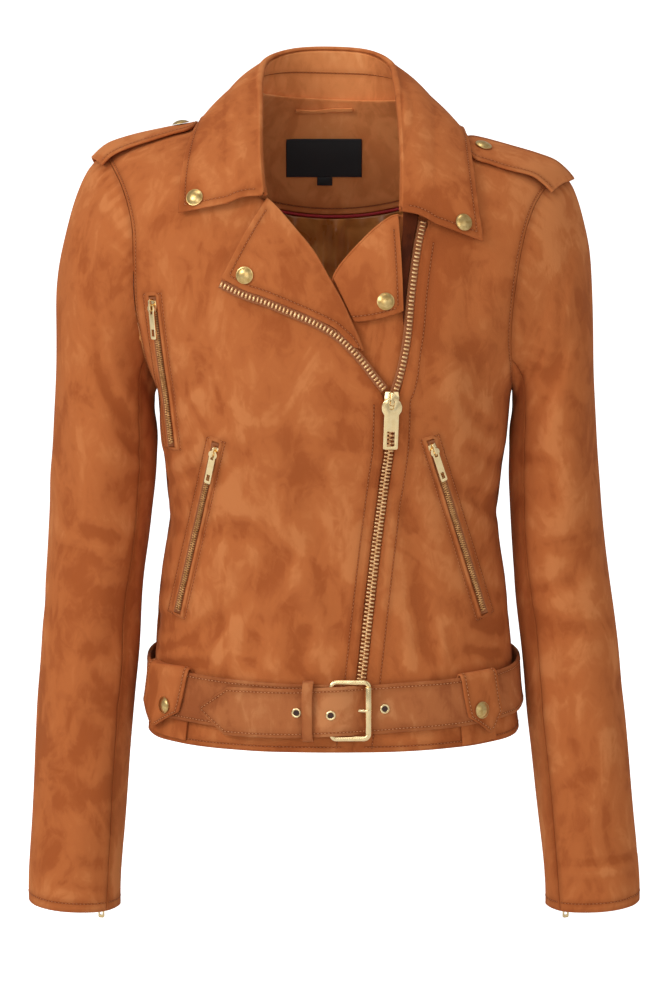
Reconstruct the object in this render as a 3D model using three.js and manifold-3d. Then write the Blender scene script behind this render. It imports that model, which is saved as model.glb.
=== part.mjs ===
// A short suede biker jacket, zipped to mid chest and filled out as it hangs on a wearer.
// Millimetres, +Z up, +X to the wearer's left, the front facing -Y. The origin lies on the middle plane, level
// with the neck ends of the shoulder seams, where the jacket is held up.
import * as THREE from "three";
import { mergeVertices } from "three/addons/utils/BufferGeometryUtils.js";
import Module from "manifold-3d";

const wasm = await Module();
wasm.setup();

// Driving dimensions
const SUEDE = 1.8; // wall of one suede panel with its backing
const FOLDED_SUEDE = 2.2; // collar, lapels and tabs, two layers pressed together
const LINING = 1.0;
const SEAM_GAP = 0.3;
const HEM_Z = -527;
const YOKE_Z = -122; // above this level the rows of a panel bend up to the shoulder line
const TIP = { x: 190, z: -54 }; // outer end of the shoulder seam
const ARMPIT_Z = -240;
const SHOULDER_ROUND = 62; // height over which the chest rolls back to the shoulder seam
const LEAN = 0.042; // the wearer's left shoulder hangs this much lower for each mm across
const BELT_WIDTH = 40;
const BELT_THICK = 3;
const CHAIN_WIDTH = 7.4; // closed teeth of the main zip
const STRAND_WIDTH = 4.4; // one open row of its teeth
const CHAIN_THICK = 2.2;
const EDGE_TO_ZIP = 4.3; // from the main zip's middle to a front's edge
const SMALL_CHAIN = 4.2; // closed teeth of the pocket and cuff zips
const SNAP_RADIUS = 7;

// Finishes
const finish = (color, roughness, metalness = 0) =>
  new THREE.MeshStandardMaterial({ color, roughness, metalness });
const SUEDE_FINISH = finish(0xb66c3d, 0.95);
const SATIN_FINISH = finish(0xa9692f, 0.45);
const PIPING_FINISH = finish(0xa8262e, 0.6);
const LABEL_FINISH = finish(0x16171b, 0.8);
const GOLD_FINISH = finish(0xd8b36c, 0.28, 1);

// The torso: level, half width, y of the centre front and back, y of the widest place, squareness of the ring
const TORSO = [
  { z: -540, width: 159, front: -112, back: 110, middle: 0, square: 2.3 },
  { z: -515, width: 155.5, front: -111, back: 107, middle: 0, square: 2.3 },
  { z: -490, width: 152, front: -109, back: 103, middle: 0, square: 2.3 },
  { z: -450, width: 149.5, front: -106, back: 98, middle: 0, square: 2.3 },
  { z: -406, width: 145.5, front: -103, back: 92, middle: 0, square: 2.3 },
  { z: -355, width: 138.5, front: -104, back: 88, middle: 0, square: 2.3 },
  { z: -309, width: 141, front: -112, back: 92, middle: 0, square: 2.35 },
  { z: -284, width: 144.5, front: -119, back: 97, middle: 0, square: 2.4 },
  { z: -240, width: 149.5, front: -126, back: 103, middle: 0, square: 2.4 },
  { z: -200, width: 164, front: -124, back: 107, middle: 1, square: 2.45 },
  { z: -160, width: 180, front: -118, back: 109, middle: 2, square: 2.5 },
  { z: -113, width: 191, front: -106, back: 108, middle: 4, square: 2.5 },
  { z: -75, width: 196, front: -92, back: 100, middle: 7, square: 2.5 },
  { z: -40, width: 198, front: -76, back: 90, middle: 10, square: 2.5 },
  { z: 0, width: 198, front: -58, back: 80, middle: 14, square: 2.5 },
];

// Height of the ridge from the neck out to the shoulder tip; inside the neck it only shapes the neck hole
const RIDGE = [
  { x: 0, z: 55 },
  { x: 20, z: 38 },
  { x: 40, z: 22 },
  { x: 60, z: 8 },
  { x: 72, z: 0 },
  { x: 84, z: -11 },
  { x: 97, z: -20 },
  { x: 110, z: -27 },
  { x: 130, z: -31.5 },
  { x: 155, z: -38 },
  { x: 177, z: -47 },
  { x: 190, z: -54 },
  { x: 202, z: -64 },
];

// Distance of the armhole seam from the middle plane on the right front, the left front and the back
const ARMHOLE = [
  { z: -260, right: 149.5, left: 149.5, back: 149.5 },
  { z: -240, right: 149.5, left: 149.5, back: 149.5 },
  { z: -222, right: 153, left: 147, back: 153 },
  { z: -200, right: 157, left: 144.5, back: 156 },
  { z: -165, right: 161, left: 145.5, back: 161 },
  { z: -132, right: 162, left: 149, back: 165 },
  { z: -110, right: 163, left: 153, back: 168 },
  { z: -92, right: 167, left: 158, back: 172 },
  { z: -75, right: 174, left: 166, back: 178 },
  { z: -60, right: 184, left: 179, back: 186 },
  { z: -54, right: 190, left: 190, back: 190 },
  { z: -40, right: 191, left: 191, back: 191 },
];

// The main zip's line on the front: closed below the slider, then the left front's own strand
const ZIP_LINE = [
  { z: -527, x: 15 },
  { z: -476, x: 21.5 },
  { z: -403, x: 29.6 },
  { z: -353, x: 35.2 },
  { z: -305, x: 41 },
  { z: -279, x: 44.2 },
  { z: -262, x: 45 },
  { z: -245, x: 45.4 },
  { z: -238, x: 45.8 },
  { z: -229, x: 49.6 },
  { z: -213, x: 54.4 },
  { z: -186, x: 59.3 },
  { z: -152, x: 62.5 },
  { z: -114, x: 67.7 },
  { z: -98, x: 71 },
  { z: -60, x: 77 },
];
const SLIDER_Z = -238;

// The right front's edge above the slider: the roll line up to the notch, then the neckline
const ROLL_LINE = [
  { z: -245, x: 41 },
  { z: -233, x: 38.6 },
  { z: -222, x: 33.6 },
  { z: -211, x: 28.6 },
  { z: -185, x: 17 },
  { z: -154, x: 4 },
  { z: -122, x: -14.7 },
  { z: -103, x: -31 },
  { z: -90, x: -43 },
  { z: -83, x: -55 },
  { z: -76, x: -62 },
  { z: -55, x: -67 },
  { z: -28, x: -70 },
  { z: -8, x: -72 },
  { z: 0, x: -72 },
];

// The left front's edge above the zip's end, hidden under the collar
const LEFT_NECKLINE = [
  { z: -98, x: 76 },
  { z: -80, x: 74 },
  { z: -55, x: 70 },
  { z: -28, x: 68 },
  { z: -8, x: 70 },
  { z: 0, x: 72 },
];

// Soft folds: a trough (deep) or ridge (negative) along a line from one place to another on the front or back
const FRONT_FOLDS = [
  { x1: -128, z1: -330, x2: -78, z2: -285, half: 12, deep: 2.6 },
  { x1: -138, z1: -352, x2: -60, z2: -345, half: 11, deep: 2.2 },
  { x1: -110, z1: -445, x2: -45, z2: -370, half: 14, deep: 2.4 },
  { x1: -150, z1: -440, x2: -95, z2: -425, half: 9, deep: 2.4 },
  { x1: -20, z1: -330, x2: 4, z2: -430, half: 13, deep: 1.8 },
  { x1: 60, z1: -330, x2: 75, z2: -440, half: 11, deep: 2.2 },
  { x1: 134, z1: -330, x2: 92, z2: -310, half: 10, deep: 2.4 },
  { x1: 134, z1: -430, x2: 100, z2: -340, half: 12, deep: 2.4 },
  { x1: 138, z1: -235, x2: 110, z2: -205, half: 14, deep: 2.6 },
  { x1: -148, z1: -245, x2: -112, z2: -225, half: 14, deep: 2.4 },
];
const BACK_FOLDS = [
  { x1: -130, z1: -345, x2: -50, z2: -330, half: 12, deep: 2.4 },
  { x1: 132, z1: -350, x2: 46, z2: -338, half: 12, deep: 2.4 },
  { x1: -110, z1: -400, x2: -30, z2: -372, half: 13, deep: 2.2 },
  { x1: 112, z1: -405, x2: 36, z2: -380, half: 13, deep: 2.0 },
  { x1: -140, z1: -235, x2: -105, z2: -170, half: 14, deep: 2.6 },
  { x1: 142, z1: -232, x2: 106, z2: -168, half: 14, deep: 2.6 },
];

// Sections of a sleeve: its outer and inner edge seen from the front, half depth and middle y.
// The first sections fan round the armpit; the first of all is replaced by the armhole itself.
const RIGHT_SLEEVE = [
  { outX: 190, outZ: -46, inX: 149.5, inZ: -240, deep: 64, midY: 1 },
  { outX: 204, outZ: -60, inX: 150.2, inZ: -244, deep: 64, midY: 1 },
  { outX: 216, outZ: -87, inX: 150, inZ: -249, deep: 63.5, midY: 1 },
  { outX: 224, outZ: -122, inX: 149.6, inZ: -255, deep: 62.5, midY: 0 },
  { outX: 229, outZ: -158, inX: 149, inZ: -263, deep: 61, midY: -1 },
  { outX: 231, outZ: -196, inX: 148.4, inZ: -273, deep: 59, midY: -2 },
  { outX: 232.4, outZ: -240, inX: 147.8, inZ: -290, deep: 57, midY: -2 },
  { outX: 235, outZ: -290, inX: 148.6, inZ: -318, deep: 55, midY: -2 },
  { outX: 239, outZ: -350, inX: 154, inZ: -363, deep: 52, midY: -1 },
  { outX: 242.6, outZ: -402, inX: 160.7, inZ: -411, deep: 49.5, midY: -1 },
  { outX: 246, outZ: -454, inX: 164.4, inZ: -462, deep: 47, midY: -5 },
  { outX: 249.8, outZ: -506, inX: 169.4, inZ: -514, deep: 44.5, midY: -10 },
  { outX: 252.4, outZ: -560, inX: 173.6, inZ: -567, deep: 42, midY: -17 },
  { outX: 255, outZ: -612, inX: 176.8, inZ: -618, deep: 39.8, midY: -24 },
  { outX: 257, outZ: -648, inX: 178.8, inZ: -654, deep: 38.6, midY: -29 },
  { outX: 258.2, outZ: -669.5, inX: 179.8, inZ: -675, deep: 38, midY: -32 },
];
const LEFT_SLEEVE = [
  { outX: 190, outZ: -62, inX: 149.5, inZ: -240, deep: 64, midY: 1 },
  { outX: 199, outZ: -74, inX: 150.2, inZ: -244, deep: 64, midY: 1 },
  { outX: 206.5, outZ: -95, inX: 150, inZ: -249, deep: 63.5, midY: 1 },
  { outX: 211.5, outZ: -122, inX: 149.6, inZ: -255, deep: 62.5, midY: 0 },
  { outX: 214, outZ: -158, inX: 149, inZ: -263, deep: 61, midY: -1 },
  { outX: 216.5, outZ: -196, inX: 148.2, inZ: -273, deep: 59, midY: -2 },
  { outX: 218, outZ: -240, inX: 147.4, inZ: -290, deep: 57, midY: -2 },
  { outX: 220.8, outZ: -290, inX: 146.4, inZ: -318, deep: 55, midY: -2 },
  { outX: 226.2, outZ: -350, inX: 149, inZ: -363, deep: 52, midY: -1 },
  { outX: 232.8, outZ: -402, inX: 152.8, inZ: -411, deep: 49.5, midY: -1 },
  { outX: 239.8, outZ: -454, inX: 159.4, inZ: -462, deep: 47, midY: -5 },
  { outX: 244.8, outZ: -506, inX: 163.8, inZ: -514, deep: 44.5, midY: -10 },
  { outX: 250, outZ: -560, inX: 169.8, inZ: -567, deep: 42, midY: -17 },
  { outX: 254.6, outZ: -612, inX: 175, inZ: -618, deep: 39.8, midY: -24 },
  { outX: 257.8, outZ: -648, inX: 177.8, inZ: -654, deep: 38.6, midY: -29 },
  { outX: 259.6, outZ: -669.5, inX: 179, inZ: -675, deep: 38, midY: -32 },
];

// Dents in the sleeves: section number, angle round the sleeve, reach along and round it, depth
const SLEEVE_FOLDS = [
  { at: 7.2, turn: 118, along: 0.5, round: 26, deep: 2.6 },
  { at: 8.6, turn: 60, along: 0.45, round: 34, deep: 2.2 },
  { at: 9.5, turn: 125, along: 0.4, round: 26, deep: 2.4 },
  { at: 5.2, turn: 120, along: 0.7, round: 22, deep: 2.4 },
  { at: 8.9, turn: -70, along: 0.45, round: 34, deep: 2.0 },
  { at: 11.4, turn: 100, along: 0.6, round: 22, deep: 1.8 },
];

// The collar, from its right front end round the back to its left front end: neck seam, roll line and outer edge.
// Seam and edge lie on the torso, on the side of the shoulder ridge that seamOn and edgeOn say.
const COLLAR = [
  { seamX: -61, seamZ: -78, seamOn: "front", roll: [-54.5, -99, -76],
    edgeX: -122.4, edgeZ: -91.7, edgeOn: "front" },
  { seamX: -67.5, seamZ: -53, seamOn: "front", roll: [-57.5, -78, -42],
    edgeX: -121.5, edgeZ: -68, edgeOn: "front" },
  { seamX: -71, seamZ: -24, seamOn: "front", roll: [-58.5, -40, -9],
    edgeX: -118, edgeZ: -45, edgeOn: "front" },
  { seamX: -72, seamZ: 3, seamOn: "front", roll: [-59.5, 6, 18],
    edgeX: -110, edgeZ: -27, edgeOn: "front" },
  { seamX: -62, seamZ: -0.5, seamOn: "back", roll: [-54, 42, 31],
    edgeX: -97, edgeZ: -30, edgeOn: "back" },
  { seamX: -38, seamZ: -4, seamOn: "back", roll: [-33, 66, 38],
    edgeX: -62, edgeZ: -34, edgeOn: "back" },
  { seamX: 0, seamZ: -7, seamOn: "back", roll: [-3, 74, 39.5],
    edgeX: 0, edgeZ: -36, edgeOn: "back" },
  { seamX: 38, seamZ: -7, seamOn: "back", roll: [28, 67, 37],
    edgeX: 62, edgeZ: -36, edgeOn: "back" },
  { seamX: 62, seamZ: -5, seamOn: "back", roll: [46, 42, 28.5],
    edgeX: 95, edgeZ: -36, edgeOn: "back" },
  { seamX: 72, seamZ: -3, seamOn: "front", roll: [51, 6, 13],
    edgeX: 107, edgeZ: -36, edgeOn: "front" },
  { seamX: 70, seamZ: -30, seamOn: "front", roll: [53, -40, -13],
    edgeX: 110.5, edgeZ: -54, edgeOn: "front" },
  { seamX: 69, seamZ: -60, seamOn: "front", roll: [54, -82, -48],
    edgeX: 114, edgeZ: -83, edgeOn: "front" },
  { seamX: 66, seamZ: -90, seamOn: "front", roll: [53, -105, -88],
    edgeX: 118.3, edgeZ: -113.7, edgeOn: "front" },
];
const COLLAR_LIFT = 7; // of the collar's edge over the torso

// The lapels: a point on the roll line and the point of the outer edge across from it
const RIGHT_LAPEL = [
  { rollX: -54, rollZ: -80, edgeX: -88.7, edgeZ: -142 },
  { rollX: -45, rollZ: -88, edgeX: -70.2, edgeZ: -151.4 },
  { rollX: -32, rollZ: -102.7, edgeX: -53.8, edgeZ: -156.8 },
  { rollX: -15.5, rollZ: -122.4, edgeX: -28.5, edgeZ: -166.8 },
  { rollX: -4, rollZ: -142, edgeX: -11.8, edgeZ: -174 },
  { rollX: 6.6, rollZ: -161, edgeX: 1, edgeZ: -180.6 },
  { rollX: 14, rollZ: -178, edgeX: 8, edgeZ: -187 },
  { rollX: 22, rollZ: -197, edgeX: 16, edgeZ: -195 },
];
const LEFT_LAPEL = [
  { rollX: 51.8, rollZ: -91, edgeX: 55.5, edgeZ: -167 },
  { rollX: 44, rollZ: -93.5, edgeX: 46, edgeZ: -170.5 },
  { rollX: 30, rollZ: -104, edgeX: 33, edgeZ: -173.5 },
  { rollX: 14, rollZ: -120, edgeX: 22.5, edgeZ: -175 },
  { rollX: 4, rollZ: -132, edgeX: 18, edgeZ: -175.2 },
  { rollX: -0.6, rollZ: -140, edgeX: 16.6, edgeZ: -175.3 },
];

// The open row of teeth along the right lapel's edge, down to the slider
const RIGHT_STRAND = [
  { x: -90, z: -146, out: 4.6 },
  { x: -71.3, z: -154.6, out: 4.6 },
  { x: -54.6, z: -160.1, out: 4.6 },
  { x: -29.7, z: -170, out: 4.6 },
  { x: -13.1, z: -177.1, out: 4.6 },
  { x: 3.9, z: -187.4, out: 4.2 },
  { x: 20, z: -203.1, out: 3.6 },
  { x: 32.5, z: -219, out: 3 },
  { x: 40.6, z: -229, out: 2.6 },
];

// The flap behind the main zip: its free edge
const UNDERLAP = [
  { z: -90, x: 52 },
  { z: -104, x: 30 },
  { z: -120, x: 14 },
  { z: -141, x: -2 },
  { z: -156, x: -9 },
  { z: -180, x: -2 },
  { z: -215, x: 10 },
  { z: -260, x: 14 },
  { z: -403, x: 0 },
  { z: -520, x: -14 },
];

// The belt, from the buckle round the back to its tip: turn round the body in degrees, height and outer face
const BELT = [
  { turn: 1.6, z: -491.4, out: 5 },
  { turn: -12, z: -490.4, out: 5 },
  { turn: -24, z: -489.3, out: 5.1 },
  { turn: -45, z: -487.5, out: 6.9 },
  { turn: -70, z: -486.5, out: 7.2 },
  { turn: -90, z: -484.5, out: 6.8 },
  { turn: -115, z: -481, out: 6.4 },
  { turn: -150, z: -478, out: 5.6 },
  { turn: -180, z: -478, out: 5.6 },
  { turn: -210, z: -478, out: 5.6 },
  { turn: -245, z: -481, out: 6.4 },
  { turn: -270, z: -484.5, out: 6.8 },
  { turn: -290, z: -487, out: 7.2 },
  { turn: -318, z: -489, out: 7 },
  { turn: -342, z: -490.4, out: 5 },
  { turn: -349, z: -491.2, out: 5.2 },
  { turn: -352.3, z: -491.4, out: 5.4 },
  { turn: -354, z: -491.4, out: 7 },
  { turn: -356, z: -491.4, out: 10.4 },
  { turn: -358, z: -491.5, out: 13.2 },
  { turn: -359.4, z: -491.7, out: 14.2 },
  { turn: -361, z: -492, out: 14.2 },
  { turn: -363, z: -492.6, out: 12.6 },
  { turn: -366, z: -493.2, out: 10.4 },
  { turn: -370, z: -493.8, out: 9.8 },
  { turn: -390.4, z: -494.4, out: 9.6 },
  { turn: -400.8, z: -494.6, out: 9.4 },
];
const BELT_STEP = 7; // degrees at most between two cross lines
const BELT_TIP_TURN = -390.4; // where its pointed end begins
const BELT_TIP_SHARE = 0.12; // of the half width that is left at the very tip

// The tabs that hold the belt: turn of their two edges, of the tip, and whether they point down
const TAB_THICK = 2;
const TABS = [
  { name: "belt_tab_right", from: -73, to: -47, tip: -64, slip: -3, snapX: -139.3, snapZ: -495.8 },
  { name: "belt_tab_left", from: 38.5, to: 55.5, tip: 51, slip: 2.2, snapX: 121.3, snapZ: -496.4 },
];

// Shoulder straps, lying along the shoulder: x, and how far before the ridge their back and front edges run
const EPAULETTE_RIGHT = [
  { x: 111.5, from: -2, to: 8 },
  { x: 118, from: -18, to: 26 },
  { x: 135, from: -18, to: 30 },
  { x: 160, from: -18, to: 34 },
  { x: 186, from: -20, to: 32 },
];
const EPAULETTE_LEFT = [
  { x: 106, from: 32, to: 44 },
  { x: 115, from: 14, to: 60 },
  { x: 135, from: 12, to: 61 },
  { x: 160, from: 10, to: 60 },
  { x: 184, from: 6, to: 55 },
];

// Pocket zips: their upper and lower end on the front
const POCKETS = [
  { name: "hip_zip_right", x1: -95, z1: -281, x2: -127.9, z2: -418, pull: 30 },
  { name: "hip_zip_left", x1: 79, z1: -278, x2: 123, z2: -418, pull: 30 },
  { name: "chest_zip", x1: -143.5, z1: -165, x2: -131.5, z2: -279, pull: 28 },
];

const v3 = (x, y, z) => new THREE.Vector3(x, y, z);
const { lerp, clamp, smoothstep, degToRad } = THREE.MathUtils;
const range = (count) => Array.from({ length: count + 1 }, (_, i) => i / count);

// A smooth value of one column of a table, at a place along its key column.
function look(table, key, at, column) {
  const rising = table[0][key] < table[table.length - 1][key];
  const order = rising ? 1 : -1;
  let i = 0;
  while (i < table.length - 2 && (at - table[i + 1][key]) * order > 0) i += 1;
  const low = table[i];
  const high = table[i + 1];
  const span = high[key] - low[key];
  const t = clamp((at - low[key]) / span, 0, 1);
  const slope = (j) => {
    const a = table[Math.max(j - 1, 0)];
    const b = table[Math.min(j + 1, table.length - 1)];
    return ((b[column] - a[column]) / (b[key] - a[key])) * span;
  };
  const t2 = t * t;
  const t3 = t2 * t;
  return (
    (2 * t3 - 3 * t2 + 1) * low[column] +
    (t3 - 2 * t2 + t) * slope(i) +
    (3 * t2 - 2 * t3) * high[column] +
    (t3 - t2) * slope(i + 1)
  );
}

// The same for a table whose rows are evenly spaced, read by row number.
function rowAt(table, at, column) {
  const pick = (j) => table[clamp(j, 0, table.length - 1)][column];
  const i = clamp(Math.floor(at), 0, table.length - 2);
  const t = at - i;
  const m0 = (pick(i + 1) - pick(i - 1)) / 2;
  const m1 = (pick(i + 2) - pick(i)) / 2;
  const t2 = t * t;
  const t3 = t2 * t;
  return (
    (2 * t3 - 3 * t2 + 1) * pick(i) +
    (t3 - 2 * t2 + t) * m0 +
    (3 * t2 - 2 * t3) * pick(i + 1) +
    (t3 - t2) * m1
  );
}

// Depth of all the folds of a table at a place seen from the front.
function foldDepth(folds, x, z) {
  let depth = 0;
  for (const f of folds) {
    const dx = f.x2 - f.x1;
    const dz = f.z2 - f.z1;
    const t = clamp(((x - f.x1) * dx + (z - f.z1) * dz) / (dx * dx + dz * dz), 0, 1);
    const away = Math.hypot(x - f.x1 - dx * t, z - f.z1 - dz * t) / f.half;
    depth += f.deep * Math.exp(-away * away);
  }
  return depth;
}

const ring = (z, column) => look(TORSO, "z", z, column);
const ridgeZ = (x) => look(RIDGE, "x", Math.abs(x), "z");
const lean = (x, z) => LEAN * x * smoothstep(z, ARMPIT_Z, -60);

// Share of the chest's depth that is left at a place near the shoulder ridge.
function dome(x, z) {
  const t = clamp((ridgeZ(x) - z) / SHOULDER_ROUND, 0, 1);
  return Math.sqrt(1 - (1 - t) ** 2);
}

// The torso's outer surface: a is the angle round the body from the centre front, towards the wearer's left.
function skin(a, z) {
  const power = 2 / ring(z, "square");
  const x = ring(z, "width") * Math.sign(Math.sin(a)) * Math.abs(Math.sin(a)) ** power;
  const isFront = Math.cos(a) >= 0;
  const middle = ring(z, "middle");
  const reach = ring(z, isFront ? "front" : "back") - middle;
  const y = middle + reach * Math.abs(Math.cos(a)) ** power * dome(x, z);
  const deep = foldDepth(isFront ? FRONT_FOLDS : BACK_FOLDS, x, z);
  return v3(x - deep * Math.sin(a), y + deep * Math.cos(a), z - lean(x, z));
}

// The angle at which a ring of the torso has a given x.
function angleOf(x, z) {
  const share = clamp(Math.abs(x) / ring(z, "width"), 0, 1);
  return Math.sign(x) * Math.asin(share ** (ring(z, "square") / 2));
}

// The outward normal of the torso, from two short steps over its surface.
function normalOf(a, z) {
  const step = 0.004;
  const across = skin(a + step, z).sub(skin(a - step, z));
  const down = skin(a, z - 1).sub(skin(a, z + 1));
  return down.cross(across).normalize();
}

const over = (a, z, out) => skin(a, z).addScaledVector(normalOf(a, z), out);
// A place on the front or back that is seen at x, z, moved out from the torso.
const onFront = (x, z, out = 0) => {
  const level = z + lean(x, z);
  return over(angleOf(x, level), level, out);
};
const onBack = (x, z, out = 0) => {
  const level = z + lean(x, z);
  return over(Math.PI - angleOf(x, level), level, out);
};

// The normal of a grid of points at one of them; rows run down and columns to the wearer's left on the front.
function gridNormal(grid, i, j, closed) {
  const rows = grid.length;
  const columns = grid[0].length;
  const wrap = (k) => (closed ? (k + columns) % columns : clamp(k, 0, columns - 1));
  const down = grid[Math.min(i + 1, rows - 1)][j].clone().sub(grid[Math.max(i - 1, 0)][j]);
  const across = grid[i][wrap(j + 1)].clone().sub(grid[i][wrap(j - 1)]);
  return down.cross(across).normalize();
}

// A wall of cloth: the grid is its outer face, and the inner face lies the wall's thickness behind it.
function sheet(grid, thickness, { closed = false, flip = false, steer = null } = {}) {
  const rows = grid.length;
  const columns = grid[0].length;
  const positions = [];
  const inner = grid.map((row, i) =>
    row.map((point, j) => {
      const normal = gridNormal(grid, i, j, closed).multiplyScalar(flip ? -1 : 1);
      if (steer) steer(normal, i, j);
      return point.clone().addScaledVector(normal.normalize(), -thickness);
    }),
  );
  for (const row of [...grid, ...inner]) for (const p of row) positions.push(p.x, p.y, p.z);
  const outerAt = (i, j) => i * columns + (j % columns);
  const innerAt = (i, j) => rows * columns + outerAt(i, j);
  const index = [];
  const quad = (a, b, c, d) => index.push(a, b, c, a, c, d);
  const lastColumn = closed ? columns : columns - 1;
  for (let i = 0; i < rows - 1; i += 1) {
    for (let j = 0; j < lastColumn; j += 1) {
      quad(outerAt(i, j), outerAt(i + 1, j), outerAt(i + 1, j + 1), outerAt(i, j + 1));
      quad(innerAt(i, j), innerAt(i, j + 1), innerAt(i + 1, j + 1), innerAt(i + 1, j));
    }
  }
  for (let j = 0; j < lastColumn; j += 1) {
    quad(outerAt(0, j), outerAt(0, j + 1), innerAt(0, j + 1), innerAt(0, j));
    const end = rows - 1;
    quad(outerAt(end, j + 1), outerAt(end, j), innerAt(end, j), innerAt(end, j + 1));
  }
  if (!closed) {
    for (let i = 0; i < rows - 1; i += 1) {
      quad(outerAt(i + 1, 0), outerAt(i, 0), innerAt(i, 0), innerAt(i + 1, 0));
      const end = columns - 1;
      quad(outerAt(i, end), outerAt(i + 1, end), innerAt(i + 1, end), innerAt(i, end));
    }
  }
  if (flip) index.reverse();
  const geometry = new THREE.BufferGeometry();
  geometry.setAttribute("position", new THREE.Float32BufferAttribute(positions, 3));
  geometry.setIndex(index);
  geometry.computeVertexNormals();
  return geometry;
}

// A closed three.js geometry as a solid for a boolean, and back.
function toSolid(geometry) {
  const bare = geometry.clone();
  bare.deleteAttribute("normal");
  bare.deleteAttribute("uv");
  const merged = mergeVertices(bare, 1e-4);
  return new wasm.Manifold(
    new wasm.Mesh({
      numProp: 3,
      vertProperties: merged.getAttribute("position").array,
      triVerts: new Uint32Array(merged.index.array),
    }),
  );
}
function fromSolid(solid) {
  const mesh = solid.getMesh();
  const geometry = new THREE.BufferGeometry();
  geometry.setAttribute("position", new THREE.Float32BufferAttribute(mesh.vertProperties, 3));
  geometry.setIndex(new THREE.BufferAttribute(mesh.triVerts, 1));
  geometry.computeVertexNormals();
  return geometry;
}
const joined = (...geometries) => fromSolid(geometries.map(toSolid).reduce((a, b) => a.add(b)));

const jacket = new THREE.Group();
function put(name, geometry, material, parent = jacket) {
  const mesh = new THREE.Mesh(geometry, material);
  mesh.name = name;
  parent.add(mesh);
  return mesh;
}

// A group whose X, Y and Z lie along across, up and out at a place on the garment.
function seat(point, out, up) {
  const z = out.clone().normalize();
  const x = up.clone().cross(z).normalize();
  const group = new THREE.Group();
  group.quaternion.setFromRotationMatrix(new THREE.Matrix4().makeBasis(x, z.clone().cross(x), z));
  group.position.copy(point);
  jacket.add(group);
  return group;
}

// Rows of a panel from the shoulder or neck down to the hem: either a share of the yoke or a level.
const yokeRows = (count) => range(count).map((t) => ({ share: 1 - Math.cos((t * Math.PI) / 2) }));
const lowerRows = (levels) => levels.map((z) => ({ z }));
const MEETING_Z = -512;
const MEETING_GAP = 0.3;
const ZIP_END_Z = -500;
const LEVELS = [-142, -165, -188, -208, -224, -235, ARMPIT_Z, -262, -284, -309, -332, -355, -380, -406, -430];
const ROWS = [...yokeRows(7), ...lowerRows([...LEVELS, -452, -476, ZIP_END_Z, MEETING_Z, HEM_Z])];
const ARMPIT_ROW = ROWS.findIndex((row) => row.z === ARMPIT_Z);

// A place on a panel: sides gives the angles of its edges at a level, and top its upper edge's height.
function panelPoint(row, c, sides, top) {
  let level = row.z ?? -60;
  let a = 0;
  for (let pass = 0; pass < 16; pass += 1) {
    const [from, to] = sides(level);
    a = lerp(from, to, c);
    if (row.z !== undefined) break;
    const x = skin(a, level).x;
    level = lerp(level, lerp(top(x), YOKE_Z, row.share), 0.7);
  }
  return { a, level };
}

// The angle of the armhole, or of the side seam below it.
function armholeAngle(level, column) {
  if (level < ARMPIT_Z) return Math.PI / 2;
  return angleOf(look(ARMHOLE, "z", level, column), level);
}

const zipX = (z) => look(ZIP_LINE, "z", z, "x");
// The fronts lie beside the zip's chain and meet below its lower end.
const edgeToZip = (z) => lerp(MEETING_GAP, EDGE_TO_ZIP, smoothstep(z, MEETING_Z, ZIP_END_Z));
function rightEdgeX(z) {
  if (z > SLIDER_Z) return look(ROLL_LINE, "z", z, "x");
  return zipX(z) - edgeToZip(z);
}
function leftEdgeX(z) {
  const zipEnd = LEFT_NECKLINE[0].z;
  if (z > zipEnd) return look(LEFT_NECKLINE, "z", z, "x");
  const open = smoothstep(z, SLIDER_Z, SLIDER_Z + 25);
  return zipX(z) + lerp(edgeToZip(z), STRAND_WIDTH / 2 + 0.8, open);
}

const seamTrim = (angle, z) => angle - (SEAM_GAP / 2 / ring(z, "width")) * 1.5;

// How a panel's cut edges lie: upright along shoulder and side seams, and as the sleeve's at the armhole.
function rimSteer(seamColumns, rims, isShoulder) {
  return (normal, i, j) => {
    if (i === 0 && isShoulder(j)) normal.y = 0;
    if (!seamColumns.includes(j)) return;
    if (i > ARMPIT_ROW) normal.y = 0;
    else normal.copy(rims[j][i]);
  };
}

function frontGrid(isRight) {
  const sides = (level) => {
    const edge = angleOf(isRight ? rightEdgeX(level) : leftEdgeX(level), level);
    const side = seamTrim(armholeAngle(level, isRight ? "right" : "left"), level);
    return isRight ? [-side, edge] : [edge, side];
  };
  const grid = ROWS.map((row) =>
    range(FRONT_COLUMNS).map((c) => {
      const { a, level } = panelPoint(row, c, sides, ridgeZ);
      return skin(a, level);
    }),
  );
  for (const point of grid[0]) point.y -= SEAM_GAP / 2;
  return grid;
}

// The back's columns crowd towards the neck at the top and spread evenly below.
const NECK_SHARES = [0, 0.037, 0.0875, 0.142, 0.187, 0.2268, 0.36, 0.52, 0.68, 0.84, 1];
const NECK_END = 72;
const NECK_BACK = [
  { x: 0, z: -7 },
  { x: 40, z: -5 },
  { x: 62, z: -2 },
  { x: NECK_END, z: 0 },
];
const backTop = (x) => (Math.abs(x) < NECK_END ? look(NECK_BACK, "x", Math.abs(x), "z") : ridgeZ(x));
function backGrid() {
  const sides = (level) => {
    const side = seamTrim(armholeAngle(level, "back"), level);
    return [Math.PI - side, Math.PI + side];
  };
  const half = NECK_SHARES.length - 1;
  const grid = ROWS.map((row) =>
    range(2 * half).map((even, j) => {
      const step = j - half;
      const crowded = 0.5 + (Math.sign(step) * NECK_SHARES[Math.abs(step)]) / 2;
      const c = lerp(crowded, even, row.share ?? 1);
      const { a, level } = panelPoint(row, c, sides, backTop);
      return skin(a, level);
    }),
  );
  for (const point of grid[0]) point.y += SEAM_GAP / 2;
  return grid;
}

const FRONT_COLUMNS = 11;
const rightFront = frontGrid(true);
const leftFront = frontGrid(false);
const back = backGrid();
const backEnd = back[0].length - 1;

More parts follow.
